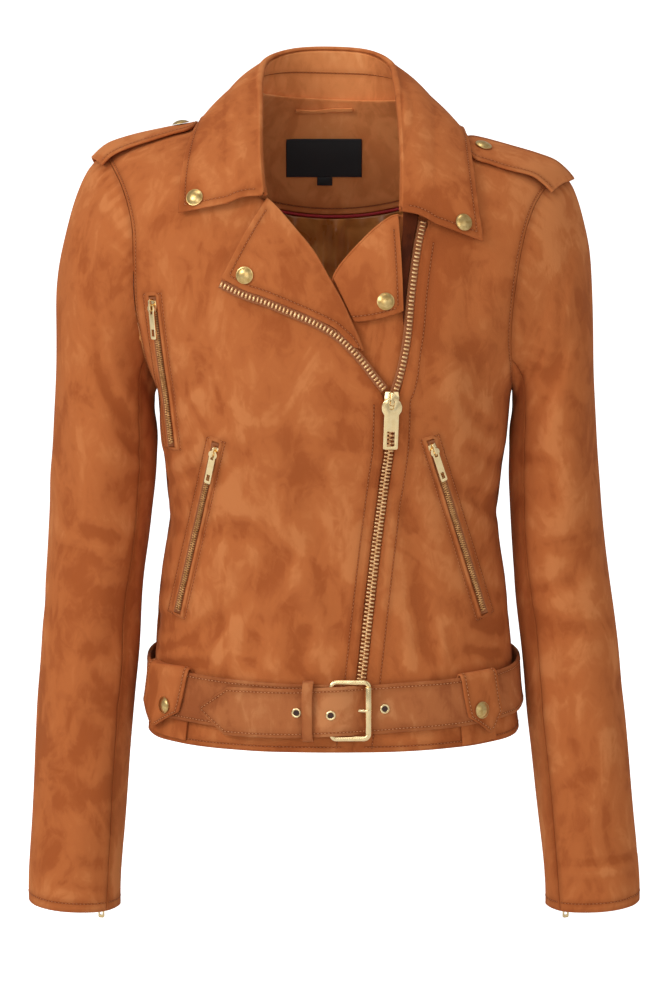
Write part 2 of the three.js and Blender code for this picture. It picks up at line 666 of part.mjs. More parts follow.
// One side's armhole, from the shoulder tip down the front to the armpit and up the back.
function armholeLoop(side) {
  const frontColumn = side < 0 ? rightFront.map((row) => row[0]) : leftFront.map((row) => row[FRONT_COLUMNS]);
  const backColumn = back.map((row) => row[side < 0 ? backEnd : 0]);
  const middle = (i) => frontColumn[i].clone().add(backColumn[i]).multiplyScalar(0.5);
  const down = range(ARMPIT_ROW).map((_, i) => (i % ARMPIT_ROW === 0 ? middle(i) : frontColumn[i].clone()));
  const up = range(ARMPIT_ROW)
    .map((_, i) => backColumn[ARMPIT_ROW - i].clone())
    .slice(1, -1);
  return [...down, ...up];
}

const SLEEVE_TABLES = { "-1": RIGHT_SLEEVE, 1: LEFT_SLEEVE };
const ARMHOLE_HOLD = [1, 0.6, 0.3, 0.12, 0.03]; // how much of the armhole's own shape the first sections keep

// A place on the plain sleeve: side -1 is the wearer's right; turn runs from the outer edge over the front.
function sleevePoint(side, at, turn, out = 0) {
  const table = SLEEVE_TABLES[side];
  const get = (column) => rowAt(table, at, column);
  const middleX = (get("outX") + get("inX")) / 2;
  const middleZ = (get("outZ") + get("inZ")) / 2;
  const halfX = (get("outX") - get("inX")) / 2;
  const halfZ = (get("outZ") - get("inZ")) / 2;
  const size = 1 + out / Math.hypot(halfX, halfZ);
  let dent = 0;
  for (const f of SLEEVE_FOLDS) {
    const alongIt = (at - f.at) / f.along;
    const roundIt = (((turn * 180) / Math.PI - f.turn + 540) % 360 - 180) / f.round;
    dent += f.deep * Math.exp(-alongIt * alongIt - roundIt * roundIt);
  }
  const shrink = 1 - dent / 45;
  return v3(
    side * (middleX + halfX * Math.cos(turn) * size * shrink),
    get("midY") - (get("deep") + out) * Math.sin(turn) * shrink,
    middleZ + halfZ * Math.cos(turn) * size * shrink,
  );
}

function sleeveGrid(side) {
  const loop = armholeLoop(side);
  const tip = loop[0];
  const toArmpit = loop[ARMPIT_ROW].clone().sub(tip);
  const turns = loop.map((point, j) => {
    const share = clamp(point.clone().sub(tip).dot(toArmpit) / toArmpit.lengthSq(), 0, 1);
    return Math.acos(1 - 2 * share) * (j > ARMPIT_ROW ? -1 : 1);
  });
  return SLEEVE_TABLES[side].map((_, i) =>
    loop.map((point, j) => {
      const plain = sleevePoint(side, i, turns[j]);
      const hold = ARMHOLE_HOLD[i] ?? 0;
      return plain.add(point.clone().sub(sleevePoint(side, 0, turns[j])).multiplyScalar(hold));
    }),
  );
}

const FRONT_SEAM_COLUMN = ARMPIT_ROW - 2;
const BACK_SEAM_COLUMN = ARMPIT_ROW + 4;

const sleeveCaps = {}; // each sleeve's grid, for the shoulder strap that runs over its cap

// Builds one sleeve and returns the directions of the armhole's cut edges, for the panels that meet there.
function buildSleeve(side) {
  const grid = sleeveGrid(side);
  const count = grid[0].length;
  const flip = side > 0;
  const facing = (i, j) => gridNormal(grid, i, j, true).multiplyScalar(flip ? -1 : 1);
  const normals = grid.map((row, i) => row.map((_, j) => facing(i, j)));
  const loop = grid[0].map((point) => point.clone());
  const rims = loop.map((point, j) => {
    const tangent = loop[(j + 1) % count].clone().sub(loop[(j + count - 1) % count]).normalize();
    const panel = panelNormal(side, j);
    const rim = panel.add(normals[0][j]);
    rim.addScaledVector(tangent, -rim.dot(tangent)).normalize();
    const across = rim.clone().cross(tangent).multiplyScalar(flip ? -1 : 1);
    if (across.dot(grid[1][j].clone().sub(point)) < 0) across.negate();
    grid[0][j].addScaledVector(across, SEAM_GAP);
    return rim;
  });
  normals[0] = rims;
  sleeveCaps[side] = grid;
  const pieces = {
    under: range(BACK_SEAM_COLUMN - FRONT_SEAM_COLUMN).map((_, k) => FRONT_SEAM_COLUMN + k),
    top: range(count - BACK_SEAM_COLUMN + FRONT_SEAM_COLUMN).map((_, k) => (BACK_SEAM_COLUMN + k) % count),
  };
  for (const [kind, columns] of Object.entries(pieces)) {
    const cut = grid.map((row) => columns.map((j) => row[j].clone()));
    const last = columns.length - 1;
    for (const row of cut) {
      const first = row[1].clone().sub(row[0]).setLength(SEAM_GAP / 2);
      const final = row[last - 1].clone().sub(row[last]).setLength(SEAM_GAP / 2);
      row[0].add(first);
      row[last].add(final);
    }
    const steer = (normal, i, k) => normal.copy(normals[i][columns[k]]);
    put(`sleeve_${kind}_${side < 0 ? "right" : "left"}`, sheet(cut, SUEDE, { flip, steer }), SUEDE_FINISH);
  }
  return rims;
}

// The torso's own normal at a column of the armhole loop.
function panelNormal(side, j) {
  const row = j <= ARMPIT_ROW ? j : 2 * ARMPIT_ROW - j;
  const grid = j <= ARMPIT_ROW ? (side < 0 ? rightFront : leftFront) : back;
  const column = grid === back ? (side < 0 ? backEnd : 0) : side < 0 ? 0 : FRONT_COLUMNS;
  return gridNormal(grid, row, column, false);
}

const rightRims = buildSleeve(-1);
const leftRims = buildSleeve(1);
const backRims = (rims) => range(ARMPIT_ROW).map((_, i) => rims[(2 * ARMPIT_ROW - i) % (2 * ARMPIT_ROW)]);

put(
  "front_right",
  sheet(rightFront, SUEDE, { steer: rimSteer([0], { 0: rightRims }, () => true) }),
  SUEDE_FINISH,
);
put(
  "front_left",
  sheet(leftFront, SUEDE, { steer: rimSteer([FRONT_COLUMNS], { [FRONT_COLUMNS]: leftRims }, () => true) }),
  SUEDE_FINISH,
);
const onShoulder = (j) => Math.abs(back[0][j].x) >= NECK_END - 1;
put(
  "back",
  sheet(back, SUEDE, {
    steer: rimSteer([0, backEnd], { 0: backRims(leftRims), [backEnd]: backRims(rightRims) }, onShoulder),
  }),
  SUEDE_FINISH,
);

// A wall whose grid may run either way: its outer face is turned to the side that away points to.
function ribbon(grid, thickness, away) {
  const i = Math.floor(grid.length / 2);
  const j = Math.floor(grid[0].length / 2);
  return sheet(grid, thickness, { flip: gridNormal(grid, i, j, false).dot(away) < 0 });
}

// A strip along a line of x, z and out on the front or back, with its two edges half a width from the line.
function stripGrid(path, width, place = onFront) {
  return path.map((point, i) => {
    const next = path[Math.min(i + 1, path.length - 1)];
    const last = path[Math.max(i - 1, 0)];
    const length = Math.hypot(next.x - last.x, next.z - last.z);
    const acrossX = (((next.z - last.z) / length) * width) / 2;
    const acrossZ = (((last.x - next.x) / length) * width) / 2;
    return [-1, 1].map((way) => place(point.x - way * acrossX, point.z - way * acrossZ, point.out));
  });
}
const FORWARD = v3(0, -1, 0);

// A point on a spline through a list of points, at a place along the list.
function splineAt(points, at) {
  const curve = new THREE.CatmullRomCurve3(points, false, "centripetal");
  return curve.getPoint(at / (points.length - 1));
}

// The collar: its stand rises from the neck seam to the roll line, and its leaf falls onto the shoulders
const COLLAR_STEPS = (COLLAR.length - 1) * 2;
const STAND_CLEAR = 1.1; // of the stand from the panels' edges
const LEAF_CLEAR = 3.4; // least height of the leaf's outer face over the torso at the roll line
const LEAF_ROLL = 4.4; // how far the leaf starts outside the stand
const place = { front: onFront, back: onBack };
const collarSeam = COLLAR.map((row) => {
  const side = Math.sign(row.seamX);
  if (row.seamOn === "back") {
    const level = backTop(row.seamX);
    const point = skin(Math.PI - angleOf(row.seamX, level), level);
    return point.add(v3(0, -STAND_CLEAR, STAND_CLEAR * 2));
  }
  const level = row.seamZ + lean(row.seamX, row.seamZ);
  const x = look(side < 0 ? ROLL_LINE : LEFT_NECKLINE, "z", level, "x");
  return skin(angleOf(x, level), level).add(v3(-side * STAND_CLEAR * 2, 0, STAND_CLEAR));
});
const collarRoll = COLLAR.map((row) => v3(...row.roll));
const collarEdge = COLLAR.map((row) => place[row.edgeOn](row.edgeX, row.edgeZ, COLLAR_LIFT));

// The torso cut at one x, from low on the back over the ridge to low on the chest.
const SECTION_LEVELS = [...range(10).map((t) => 1 - Math.cos((t * Math.PI) / 2)), 1.4, 1.8, 2.2];
function sectionAt(x) {
  const ridge = ridgeZ(x);
  const levels = SECTION_LEVELS.map((share) => ridge - share * SHOULDER_ROUND);
  const backDown = levels.map((level) => skin(Math.PI - angleOf(x, level), level));
  const frontDown = levels.map((level) => skin(angleOf(x, level), level));
  return [...backDown.reverse(), ...frontDown.slice(1)];
}

// Lifts a point of the collar clear of the torso under it.
function clearOfTorso(point, lift) {
  const section = sectionAt(point.x);
  let best = null;
  for (let i = 0; i < section.length - 1; i += 1) {
    const a = section[i];
    const dy = section[i + 1].y - a.y;
    const dz = section[i + 1].z - a.z;
    const t = clamp(((point.y - a.y) * dy + (point.z - a.z) * dz) / (dy * dy + dz * dz), 0, 1);
    const awayY = point.y - a.y - dy * t;
    const awayZ = point.z - a.z - dz * t;
    const distance = Math.hypot(awayY, awayZ);
    if (best && best.distance <= distance) continue;
    const outside = awayY * dz - awayZ * dy >= 0 ? 1 : -1;
    best = { distance, outside, y: a.y + dy * t, z: a.z + dz * t, awayY, awayZ };
  }
  if (best.outside * best.distance >= lift || best.distance < 0.01) return point;
  const scale = (lift * best.outside) / best.distance;
  point.y = best.y + best.awayY * scale;
  point.z = best.z + best.awayZ * scale;
  return point;
}
const standGrid = range(4).map((v) =>
  range(COLLAR_STEPS).map((u) => {
    const at = u * (COLLAR.length - 1);
    const bottom = splineAt(collarSeam, at);
    const top = splineAt(collarRoll, at);
    const out = v3(top.x, top.y - 12, 0).normalize();
    return bottom.lerp(top, v).addScaledVector(out, 0.6 * Math.sin(v * Math.PI));
  }),
);
put("collar_stand", ribbon(standGrid.map((row) => row.slice()), FOLDED_SUEDE, v3(0, 1, 0)), SUEDE_FINISH);

const leafGrid = range(7).map((v) =>
  range(COLLAR_STEPS).map((u) => {
    const at = u * (COLLAR.length - 1);
    const roll = splineAt(collarRoll, at);
    const edge = splineAt(collarEdge, at);
    const out = v3(roll.x, roll.y - 12, 0).normalize();
    const belly = 2.5 + 4.5 * Math.sin(u * Math.PI);
    const point = roll.clone().addScaledVector(out, LEAF_ROLL).lerp(edge, v);
    point.addScaledVector(out, belly * Math.sin(v * Math.PI));
    point.z += 2.4 * Math.sin(Math.PI * Math.min(v * 2.5, 1));
    return clearOfTorso(point, lerp(LEAF_CLEAR, COLLAR_LIFT, v));
  }),
);
put("collar_leaf", ribbon(leafGrid, FOLDED_SUEDE, v3(0, 1, 0)), SUEDE_FINISH);

// Lapels, folded out over the fronts
const lapelGrid = (table, height) =>
  range((table.length - 1) * 2).map((u) =>
    range(5).map((v) => {
      const at = u * (table.length - 1);
      const x = lerp(rowAt(table, at, "rollX"), rowAt(table, at, "edgeX"), v);
      const z = lerp(rowAt(table, at, "rollZ"), rowAt(table, at, "edgeZ"), v);
      return onFront(x, z, height(v, u));
    }),
  );
const rightLapelHeight = (v, u) => 2.8 + (1 - u) * 5 * Math.sin(v * Math.PI) + 1.6 * v * (1 - u);
const leftLapelHeight = (v, u) => -0.9 + (1 - u * 0.8) * (3.5 * Math.sin(v * Math.PI) + 3 * v);
const rightLapel = lapelGrid(RIGHT_LAPEL, rightLapelHeight);
const leftLapel = lapelGrid(LEFT_LAPEL, leftLapelHeight);
put("lapel_right", ribbon(rightLapel, FOLDED_SUEDE, FORWARD), SUEDE_FINISH);
put("lapel_left", ribbon(leftLapel, FOLDED_SUEDE, FORWARD), SUEDE_FINISH);

// The flap behind the main zip, sewn behind the left front
const UNDERLAP_OUT = -3.6;
const underlapGrid = range(20).map((v) => {
  const z = lerp(UNDERLAP[0].z, UNDERLAP[UNDERLAP.length - 1].z, v);
  const from = look(UNDERLAP, "z", z, "x");
  const to = leftEdgeX(z + lean(50, z)) + 9;
  return range(4).map((u) => onFront(lerp(from, to, u), z, UNDERLAP_OUT));
});
put("underlap", ribbon(underlapGrid, SUEDE, FORWARD), SUEDE_FINISH);

// A place beside the shoulder ridge: along is the distance down its front, and negative down the back.
function onShoulderAt(side, x, along, out) {
  const isFront = along >= 0;
  const at = side * x;
  const ridge = ridgeZ(x);
  let last = skin(isFront ? angleOf(at, ridge) : Math.PI - angleOf(at, ridge), ridge);
  let walked = 0;
  let level = ridge;
  for (let step = 1; step <= 60 && walked < Math.abs(along); step += 1) {
    level = ridge - SHOULDER_ROUND * (1 - Math.cos((step * Math.PI) / 120));
    const a = angleOf(at, level);
    const point = skin(isFront ? a : Math.PI - a, level);
    walked += point.distanceTo(last);
    last = point;
  }
  const a = angleOf(at, level);
  return over(isFront ? a : Math.PI - a, level, out).add(v3(0, 0, out * 0.42));
}
const EPAULETTE_OUT = 3;
const EPAULETTE_END_OUT = 6.4; // where it runs over the sleeve's cap
const EPAULETTE_CLEAR = 3;
const CAP_ROWS = [0.3, 0.62]; // how far over the cap its end runs, as a share of the sleeve's first section

// The place on a sleeve's cap that lies a share of a section beyond the armhole, next to a point of a strap
function overCap(side, point, share, out) {
  const [first, second] = sleeveCaps[side];
  const count = first.length;
  let best = null;
  for (let k = -5; k <= 5; k += 0.05) {
    const j = (Math.floor(k) + count) % count;
    const next = (j + 1) % count;
    const t = k - Math.floor(k);
    const start = first[j].clone().lerp(first[next], t);
    const distance = start.distanceTo(point);
    if (best && best.distance <= distance) continue;
    const end = second[j].clone().lerp(second[next], t);
    const along = first[next].clone().sub(first[j]);
    best = { distance, start, end, normal: end.clone().sub(start).cross(along).normalize() };
  }
  if (best.normal.z < 0) best.normal.negate();
  return best.start.lerp(best.end, share).addScaledVector(best.normal, out);
}
function buildEpaulette(name, side, table) {
  const last = table[table.length - 1];
  const reach = (along) => {
    const level = onShoulderAt(side, last.x - 6, along, 0).z + lean(side * last.x, TIP.z);
    const column = along < 0 ? "back" : side < 0 ? "right" : "left";
    return (look(ARMHOLE, "z", level, column) - EPAULETTE_CLEAR - table[0].x) / (last.x - table[0].x);
  };
  const grid = range((table.length - 1) * 2).map((u) =>
    range(4).map((v) => {
      const at = u * (table.length - 1);
      const along = lerp(rowAt(table, at, "from"), rowAt(table, at, "to"), v);
      const x = lerp(table[0].x, rowAt(table, at, "x"), Math.min(reach(along), 1));
      return onShoulderAt(side, x, along, lerp(EPAULETTE_OUT, EPAULETTE_END_OUT, smoothstep(u, 0.6, 1.1)));
    }),
  );
  const end = grid[grid.length - 1];
  for (const share of CAP_ROWS) {
    const reachOver = (v) => share * lerp(1, 0.45, v / (end.length - 1));
    grid.push(end.map((point, v) => overCap(side, point, reachOver(v), EPAULETTE_END_OUT)));
  }
  put(name, ribbon(grid, FOLDED_SUEDE, v3(0, 0, 1)), SUEDE_FINISH);
  return grid;
}
const rightEpaulette = buildEpaulette("epaulette_right", -1, EPAULETTE_RIGHT);
const leftEpaulette = buildEpaulette("epaulette_left", 1, EPAULETTE_LEFT);

// The belt
const beltTurns = BELT.flatMap((row, i) => {
  if (i === BELT.length - 1) return [row.turn];
  const steps = Math.ceil((row.turn - BELT[i + 1].turn) / BELT_STEP);
  return range(steps)
    .slice(0, -1)
    .map((t) => lerp(row.turn, BELT[i + 1].turn, t));
});
const beltGrid = [1, 0, -1].map((way) =>
  beltTurns.map((turn) => {
    const tip = clamp((BELT_TIP_TURN - turn) / (BELT_TIP_TURN - BELT[BELT.length - 1].turn), 0, 1);
    const half = (BELT_WIDTH / 2) * lerp(1, BELT_TIP_SHARE, tip);
    const z = look(BELT, "turn", turn, "z") + way * half;
    return over(degToRad(turn), z, look(BELT, "turn", turn, "out"));
  }),
);
put("belt", ribbon(beltGrid, BELT_THICK, v3(0, 1, 0)), SUEDE_FINISH);

// Tabs: each comes up behind the belt, folds over its upper edge and ends in a point before it.
// Rows by height over the belt's middle; rise is the height of the outer face over the belt's own
const TAB_BEHIND = [
  { high: -36.4, out: 0.8 },
  { high: -22, out: 0.8 },
  { high: 19, out: 0.8 },
  { high: 22.4, out: 2.2 },
  { high: 23.6, out: 5 },
];
const TAB_BEFORE = [
  { high: 22.6, rise: 1.6 },
  { high: 19.4, rise: 3.2 },
  { high: -13, rise: 3.2 },
  { high: -21, rise: 3.2, close: 0.45 },
  { high: -29, rise: 3.2, close: 0.88 },
];
const beltAt = (turn, column) => look(BELT, "turn", turn < 0 ? turn : turn - 360, column);
function buildTab({ name, from, to, tip, slip }) {
  const grid = [...TAB_BEHIND, ...TAB_BEFORE].map(({ high, out, rise, close = 0 }) =>
    range(4).map((u) => {
      const lowered = clamp((20 - high) / 33, 0, 1) * (rise === undefined ? 0.3 : 1);
      const turn = lerp(lerp(from, to, u) + slip * lowered, tip, close);
      return over(degToRad(turn), beltAt(turn, "z") + high, out ?? beltAt(turn, "out") + rise);
    }),
  );
  const middle = grid.length - 4;
  const flip = gridNormal(grid, middle, 2, false).dot(FORWARD) < 0;
  put(name, sheet(grid, TAB_THICK, { flip }), SUEDE_FINISH);
  return grid;
}
const tabGrids = TABS.map(buildTab);
const loopRows = [-449, -453, -456.5, -460, -478, -496, -499.5, -503, -507];
const loopOuts = [2.2, 5.4, 8.6, 8.8, 8.8, 8.8, 8.6, 5.4, 2.2];
const loopGrid = loopRows.map((z, i) =>
  range(2).map((u) => over(Math.PI + lerp(-0.09, 0.09, u), z, loopOuts[i])),
);
put("belt_loop_back", ribbon(loopGrid, SUEDE, v3(0, 1, 0)), SUEDE_FINISH);

// The place on a grid's outer face that is seen at x, z from the front, and the way it faces
function seenOn(grid, x, z) {
  let best = null;
  for (let i = 0; i < grid.length - 1; i += 1) {
    for (let j = 0; j < grid[0].length - 1; j += 1) {
      const corners = [grid[i][j], grid[i + 1][j], grid[i + 1][j + 1], grid[i][j + 1]];
      for (const [a, b, c] of [[corners[0], corners[1], corners[2]], [corners[0], corners[2], corners[3]]]) {
        const area = (b.x - a.x) * (c.z - a.z) - (c.x - a.x) * (b.z - a.z);
        const v = ((x - a.x) * (c.z - a.z) - (c.x - a.x) * (z - a.z)) / area;
        const w = ((b.x - a.x) * (z - a.z) - (x - a.x) * (b.z - a.z)) / area;
        if (v < 0 || w < 0 || v + w > 1) continue;
        const point = a.clone().addScaledVector(b.clone().sub(a), v).addScaledVector(c.clone().sub(a), w);
        if (best && best.point.y <= point.y) continue;
        const normal = b.clone().sub(a).cross(c.clone().sub(a)).normalize();
        best = { point, normal: normal.y > 0 ? normal.negate() : normal };
      }
    }
  }
  return best;
}

// Snap fasteners: a domed cap on the cloth
const CAP_PROFILE = [
  [0, 0],
  [SNAP_RADIUS, 0],
  [SNAP_RADIUS, 0.8],
  [SNAP_RADIUS - 1, 1.7],
  [SNAP_RADIUS * 0.5, 2.4],
  [0, 2.7],
].map(([x, y]) => new THREE.Vector2(x, y));
const SNAP_CLEAR = 0.6;
function putSnap(name, { point, normal }) {
  const group = seat(point.clone().addScaledVector(normal, SNAP_CLEAR), normal, v3(0, 0.1, 1));
  const cap = new THREE.LatheGeometry(CAP_PROFILE, 16).rotateX(Math.PI / 2);
  put(name, cap, GOLD_FINISH, group);
}
putSnap("snap_collar_right", seenOn(leafGrid, -110.8, -78.1));
putSnap("snap_collar_left", seenOn(leafGrid, 103.7, -97.5));
putSnap("snap_lapel_right", seenOn(rightLapel, -70.5, -138.5));
putSnap("snap_lapel_left", seenOn(leftLapel, 41.4, -159.1));
TABS.forEach((tab, i) => {
  putSnap(tab.name.replace("belt_tab", "snap_tab"), seenOn(tabGrids[i], tab.snapX, tab.snapZ));
});
const onGridMiddle = (grid, i, j) => {
  const normal = gridNormal(grid, i, j, false);
  return { point: grid[i][j], normal: normal.z < 0 ? normal.negate() : normal };
};
putSnap("snap_epaulette_right", onGridMiddle(rightEpaulette, 3, 2));
putSnap("snap_epaulette_left", onGridMiddle(leftEpaulette, 3, 2));

// A flat outline in millimetres, made solid along its own normal.
const outline = (points) => new THREE.Shape(points.map(([x, y]) => new THREE.Vector2(x, y)));
const solid = (shape, depth, curveSegments = 4) =>
  new THREE.ExtrudeGeometry(shape, { depth, bevelEnabled: false, curveSegments });
const box = (width, height) =>
  outline([
    [-width / 2, -height / 2],
    [width / 2, -height / 2],
    [width / 2, height / 2],
    [-width / 2, height / 2],
  ]);

// A zip's slider with its bail, and the tab that swings from the bail. Sizes of the two kinds of zip
const MAIN_SLIDER = {
  width: 12,
  length: 15,
  rise: 3.6,
  head: 8.4,
  plate: 12,
  bar: 1.1,
  thick: 1.6,
  bail: 2.4,
};
const SMALL_SLIDER = {
  width: 7.4,
  length: 9.4,
  rise: 2.4,
  head: 3.9,
  plate: 5.6,
  bar: 0.8,
  thick: 1.1,
  bail: 1.6,
};
function buildSlider(prefix, { point, out, up, length, kind, clear, tilt = 0 }) {
  const group = seat(point.clone().addScaledVector(out.clone().normalize(), clear), out, up);
  const w = kind.width / 2;
  const l = kind.length / 2;
  const shell = outline([
    [-w * 0.6, -l],
    [w * 0.6, -l],
    [w, l * 0.3],
    [w * 0.85, l],
    [-w * 0.85, l],
    [-w, l * 0.3],
  ]);
  const body = solid(shell, kind.rise);
  const axisZ = kind.rise + kind.bar + 1.1;
  const axisY = l * 0.25;
  const span = kind.bar * 2 + 3.4;
  const archTop = axisZ + kind.bar + 0.7;
  const arch = outline([
    [-span, -0.3],
    [-span, archTop - kind.rise],
    [-span + 1, archTop - kind.rise + 1.2],
    [span - 1, archTop - kind.rise + 1.2],
    [span, archTop - kind.rise],
    [span, -0.3],
    [span - 1.4, -0.3],
    [span - 1.4, archTop - kind.rise],
    [-span + 1.4, archTop - kind.rise],
    [-span + 1.4, -0.3],
  ]);
  const bail = solid(arch, kind.bail)
    .translate(0, 0, -kind.bail / 2)
    .rotateY(Math.PI / 2)
    .rotateX(Math.PI / 2)
    .translate(0, axisY, kind.rise);
  put(prefix + "_slider", joined(body, bail), GOLD_FINISH, group);

  const tab = new THREE.Group();
  tab.position.set(0, axisY, axisZ);
  tab.rotation.x = tilt;
  group.add(tab);
  const headY = -(kind.head - kind.bar - 0.3);
  const half = kind.plate / 2;
  const meet = Math.atan2(Math.sqrt(kind.head ** 2 - half ** 2), half);
  const shape = new THREE.Shape();
  shape.moveTo(-half + 1.5, -length);
  shape.lineTo(half - 1.5, -length);
  shape.quadraticCurveTo(half, -length, half, -length + 1.5);
  shape.absarc(0, headY, kind.head, -meet, Math.PI + meet, false);
  shape.lineTo(-half, -length + 1.5);
  shape.quadraticCurveTo(-half, -length, -half + 1.5, -length);
  const slotHalf = kind.bail / 2 + 0.5;
  const slotEnd = -kind.bar - span - 1.6;
  const slot = [
    [-slotHalf, slotEnd],
    [-slotHalf, -kind.bar],
    [slotHalf, -kind.bar],
    [slotHalf, slotEnd],
  ];
  shape.holes.push(outline(slot));
  const hole = half * 0.5;
  const holeTop = -length + 2.6 + kind.plate;
  const holeLow = -length + 2.6;
  const window = [
    [-hole, holeLow],
    [-hole, holeTop],
    [hole, holeTop],
    [hole, holeLow],
  ];
  shape.holes.push(outline(window));
  const plate = solid(shape, kind.thick, 5).translate(0, 0, -kind.thick / 2);
  put(prefix + "_pull", plate, GOLD_FINISH, tab);
}

// The main zip: the closed part below the slider and the two open rows above it
const CHAIN_OUT = 1.3;
const SLIDER_GAP = 8.2; // from the slider's middle to the ends of the chain
const closedPath = range(14).map((t) => {
  const z = lerp(SLIDER_Z - SLIDER_GAP, ZIP_END_Z - 1, t);
  return { x: zipX(z), z, out: CHAIN_OUT };
});
put("main_zip_closed", ribbon(stripGrid(closedPath, CHAIN_WIDTH), CHAIN_THICK, FORWARD), GOLD_FINISH);
const leftStrandPath = range(10).map((t) => {
  const z = lerp(-96, SLIDER_Z + SLIDER_GAP, t);
  return { x: zipX(z + lean(60, z)), z, out: CHAIN_OUT };
});
const putStrand = (name, path) =>
  put(name, ribbon(stripGrid(path, STRAND_WIDTH), CHAIN_THICK, FORWARD), GOLD_FINISH);
putStrand("main_zip_strand_left", leftStrandPath);
const rightStrandPath = range((RIGHT_STRAND.length - 1) * 2).map((t) => {
  const at = t * (RIGHT_STRAND.length - 1);
  const get = (column) => rowAt(RIGHT_STRAND, at, column);
  return { x: get("x"), z: get("z"), out: get("out") };
});
putStrand("main_zip_strand_right", rightStrandPath);
buildSlider("main_zip", {
  point: onFront(zipX(SLIDER_Z), SLIDER_Z),
  out: v3(0.12, -1, 0.02),
  up: v3(0.02, 0, 1),
  length: 41,
  kind: MAIN_SLIDER,
  clear: 0.6,
  tilt: degToRad(7),
});

// The pocket zips
const BAND_OUT = 2.9;
const BAND_THICK = 1.5;
for (const pocket of POCKETS) {
  const end = (t) => {
    return { x: lerp(pocket.x1, pocket.x2, t), z: lerp(pocket.z1, pocket.z2, t), out: BAND_OUT };
  };
  const start = (SMALL_SLIDER.length / 2 + 0.5) / Math.hypot(pocket.x2 - pocket.x1, pocket.z2 - pocket.z1);
  const path = range(8).map((t) => end(lerp(start, 1, t)));
  put(pocket.name + "_chain", ribbon(stripGrid(path, SMALL_CHAIN), BAND_THICK, FORWARD), GOLD_FINISH);
  const top = onFront(pocket.x1, pocket.z1);
  const below = onFront(end(start * 3).x, end(start * 3).z);
  const level = pocket.z1 + lean(pocket.x1, pocket.z1);
  buildSlider(pocket.name, {
    point: top,
    out: normalOf(angleOf(pocket.x1, level), level),
    up: top.clone().sub(below),
    length: pocket.pull,
    kind: SMALL_SLIDER,
    clear: 0.7,
  });
}

// The cuff zips, along the seam at the back of each sleeve, closed down to the cuff
const CUFF_ZIP = { from: 12.6, to: 14.5, turn: degToRad(-116), pull: 27, out: 1.9 };
for (const side of [-1, 1]) {
  const name = side < 0 ? "cuff_zip_right" : "cuff_zip_left";
  const half = SMALL_CHAIN / 2 / 40;
  const outAt = (at, out) => [-half, half].map((d) => sleevePoint(side, at, CUFF_ZIP.turn + d, out));
  const away = (at) => sleevePoint(side, at, CUFF_ZIP.turn, 5).sub(sleevePoint(side, at, CUFF_ZIP.turn, 0));
  const grid = range(8).map((t) => outAt(lerp(CUFF_ZIP.from, CUFF_ZIP.to, t), CUFF_ZIP.out));
  put(name + "_chain", ribbon(grid, BAND_THICK, away(14)), GOLD_FINISH);
  const at = 14.86;
  const up = sleevePoint(side, at - 0.3, CUFF_ZIP.turn).sub(sleevePoint(side, at, CUFF_ZIP.turn));
  buildSlider(name, {
    point: sleevePoint(side, at, CUFF_ZIP.turn),
    out: away(at),
    up,
    length: CUFF_ZIP.pull,
    kind: SMALL_SLIDER,
    clear: 0.7,
  });
}

// The buckle, a keeper beside it and the eyelets
const BUCKLE = { x: 13.2, z: -491.4, width: 34.4, height: 50, wire: 4.2, thick: 3.8, out: 6.4 };
const buckleLevel = BUCKLE.z;
const buckleOut = normalOf(angleOf(BUCKLE.x, buckleLevel), buckleLevel);
const buckleSeat = seat(onFront(BUCKLE.x, BUCKLE.z, BUCKLE.out), buckleOut, v3(0, 0, 1));
const rounded = (width, height, cut) => {
  const w = width / 2;
  const h = height / 2;
  return outline([
    [-w + cut, -h],
    [w - cut, -h],
    [w - cut * 0.3, -h + cut * 0.3],
    [w, -h + cut],
    [w, h - cut],
    [w - cut * 0.3, h - cut * 0.3],
    [w - cut, h],
    [-w + cut, h],
    [-w + cut * 0.3, h - cut * 0.3],
    [-w, h - cut],
    [-w, -h + cut],
    [-w + cut * 0.3, -h + cut * 0.3],
  ]);
};
const frameShape = rounded(BUCKLE.width, BUCKLE.height, 6);
frameShape.holes.push(rounded(BUCKLE.width - 2 * BUCKLE.wire, BUCKLE.height - 2 * BUCKLE.wire, 3));
put("buckle_frame", solid(frameShape, BUCKLE.thick), GOLD_FINISH, buckleSeat);
const prong = outline([
  [6.4, 2],
  [8.2, 2.4],
  [10.4, 3.7],
  [12.4, 4.3],
  [16.6, 4.3],
  [16.6, 6],
  [12, 6.1],
  [9, 4.9],
  [6.2, 3.6],
]);
put("buckle_prong", solid(prong, 2.2).translate(0, 0, -1.1).rotateX(Math.PI / 2), GOLD_FINISH, buckleSeat);

const KEEPER = { x: -20.6, z: -492.1, width: 8, inner: 11.6, height: 45.6, wall: 1.4 };
const keeperOut = normalOf(angleOf(KEEPER.x, KEEPER.z), KEEPER.z);
const keeperSeat = seat(onFront(KEEPER.x, KEEPER.z, 0.4), keeperOut, v3(0, 0, 1));
const keeperDeep = KEEPER.inner + 2 * KEEPER.wall - 0.5;
const keeperShape = box(keeperDeep, KEEPER.height + 2 * KEEPER.wall);
keeperShape.holes.push(box(keeperDeep - 2 * KEEPER.wall, KEEPER.height));
put(
  "belt_keeper",
  solid(keeperShape, KEEPER.width).translate(keeperDeep / 2, 0, -KEEPER.width / 2).rotateY(-Math.PI / 2),
  SUEDE_FINISH,
  keeperSeat,
);

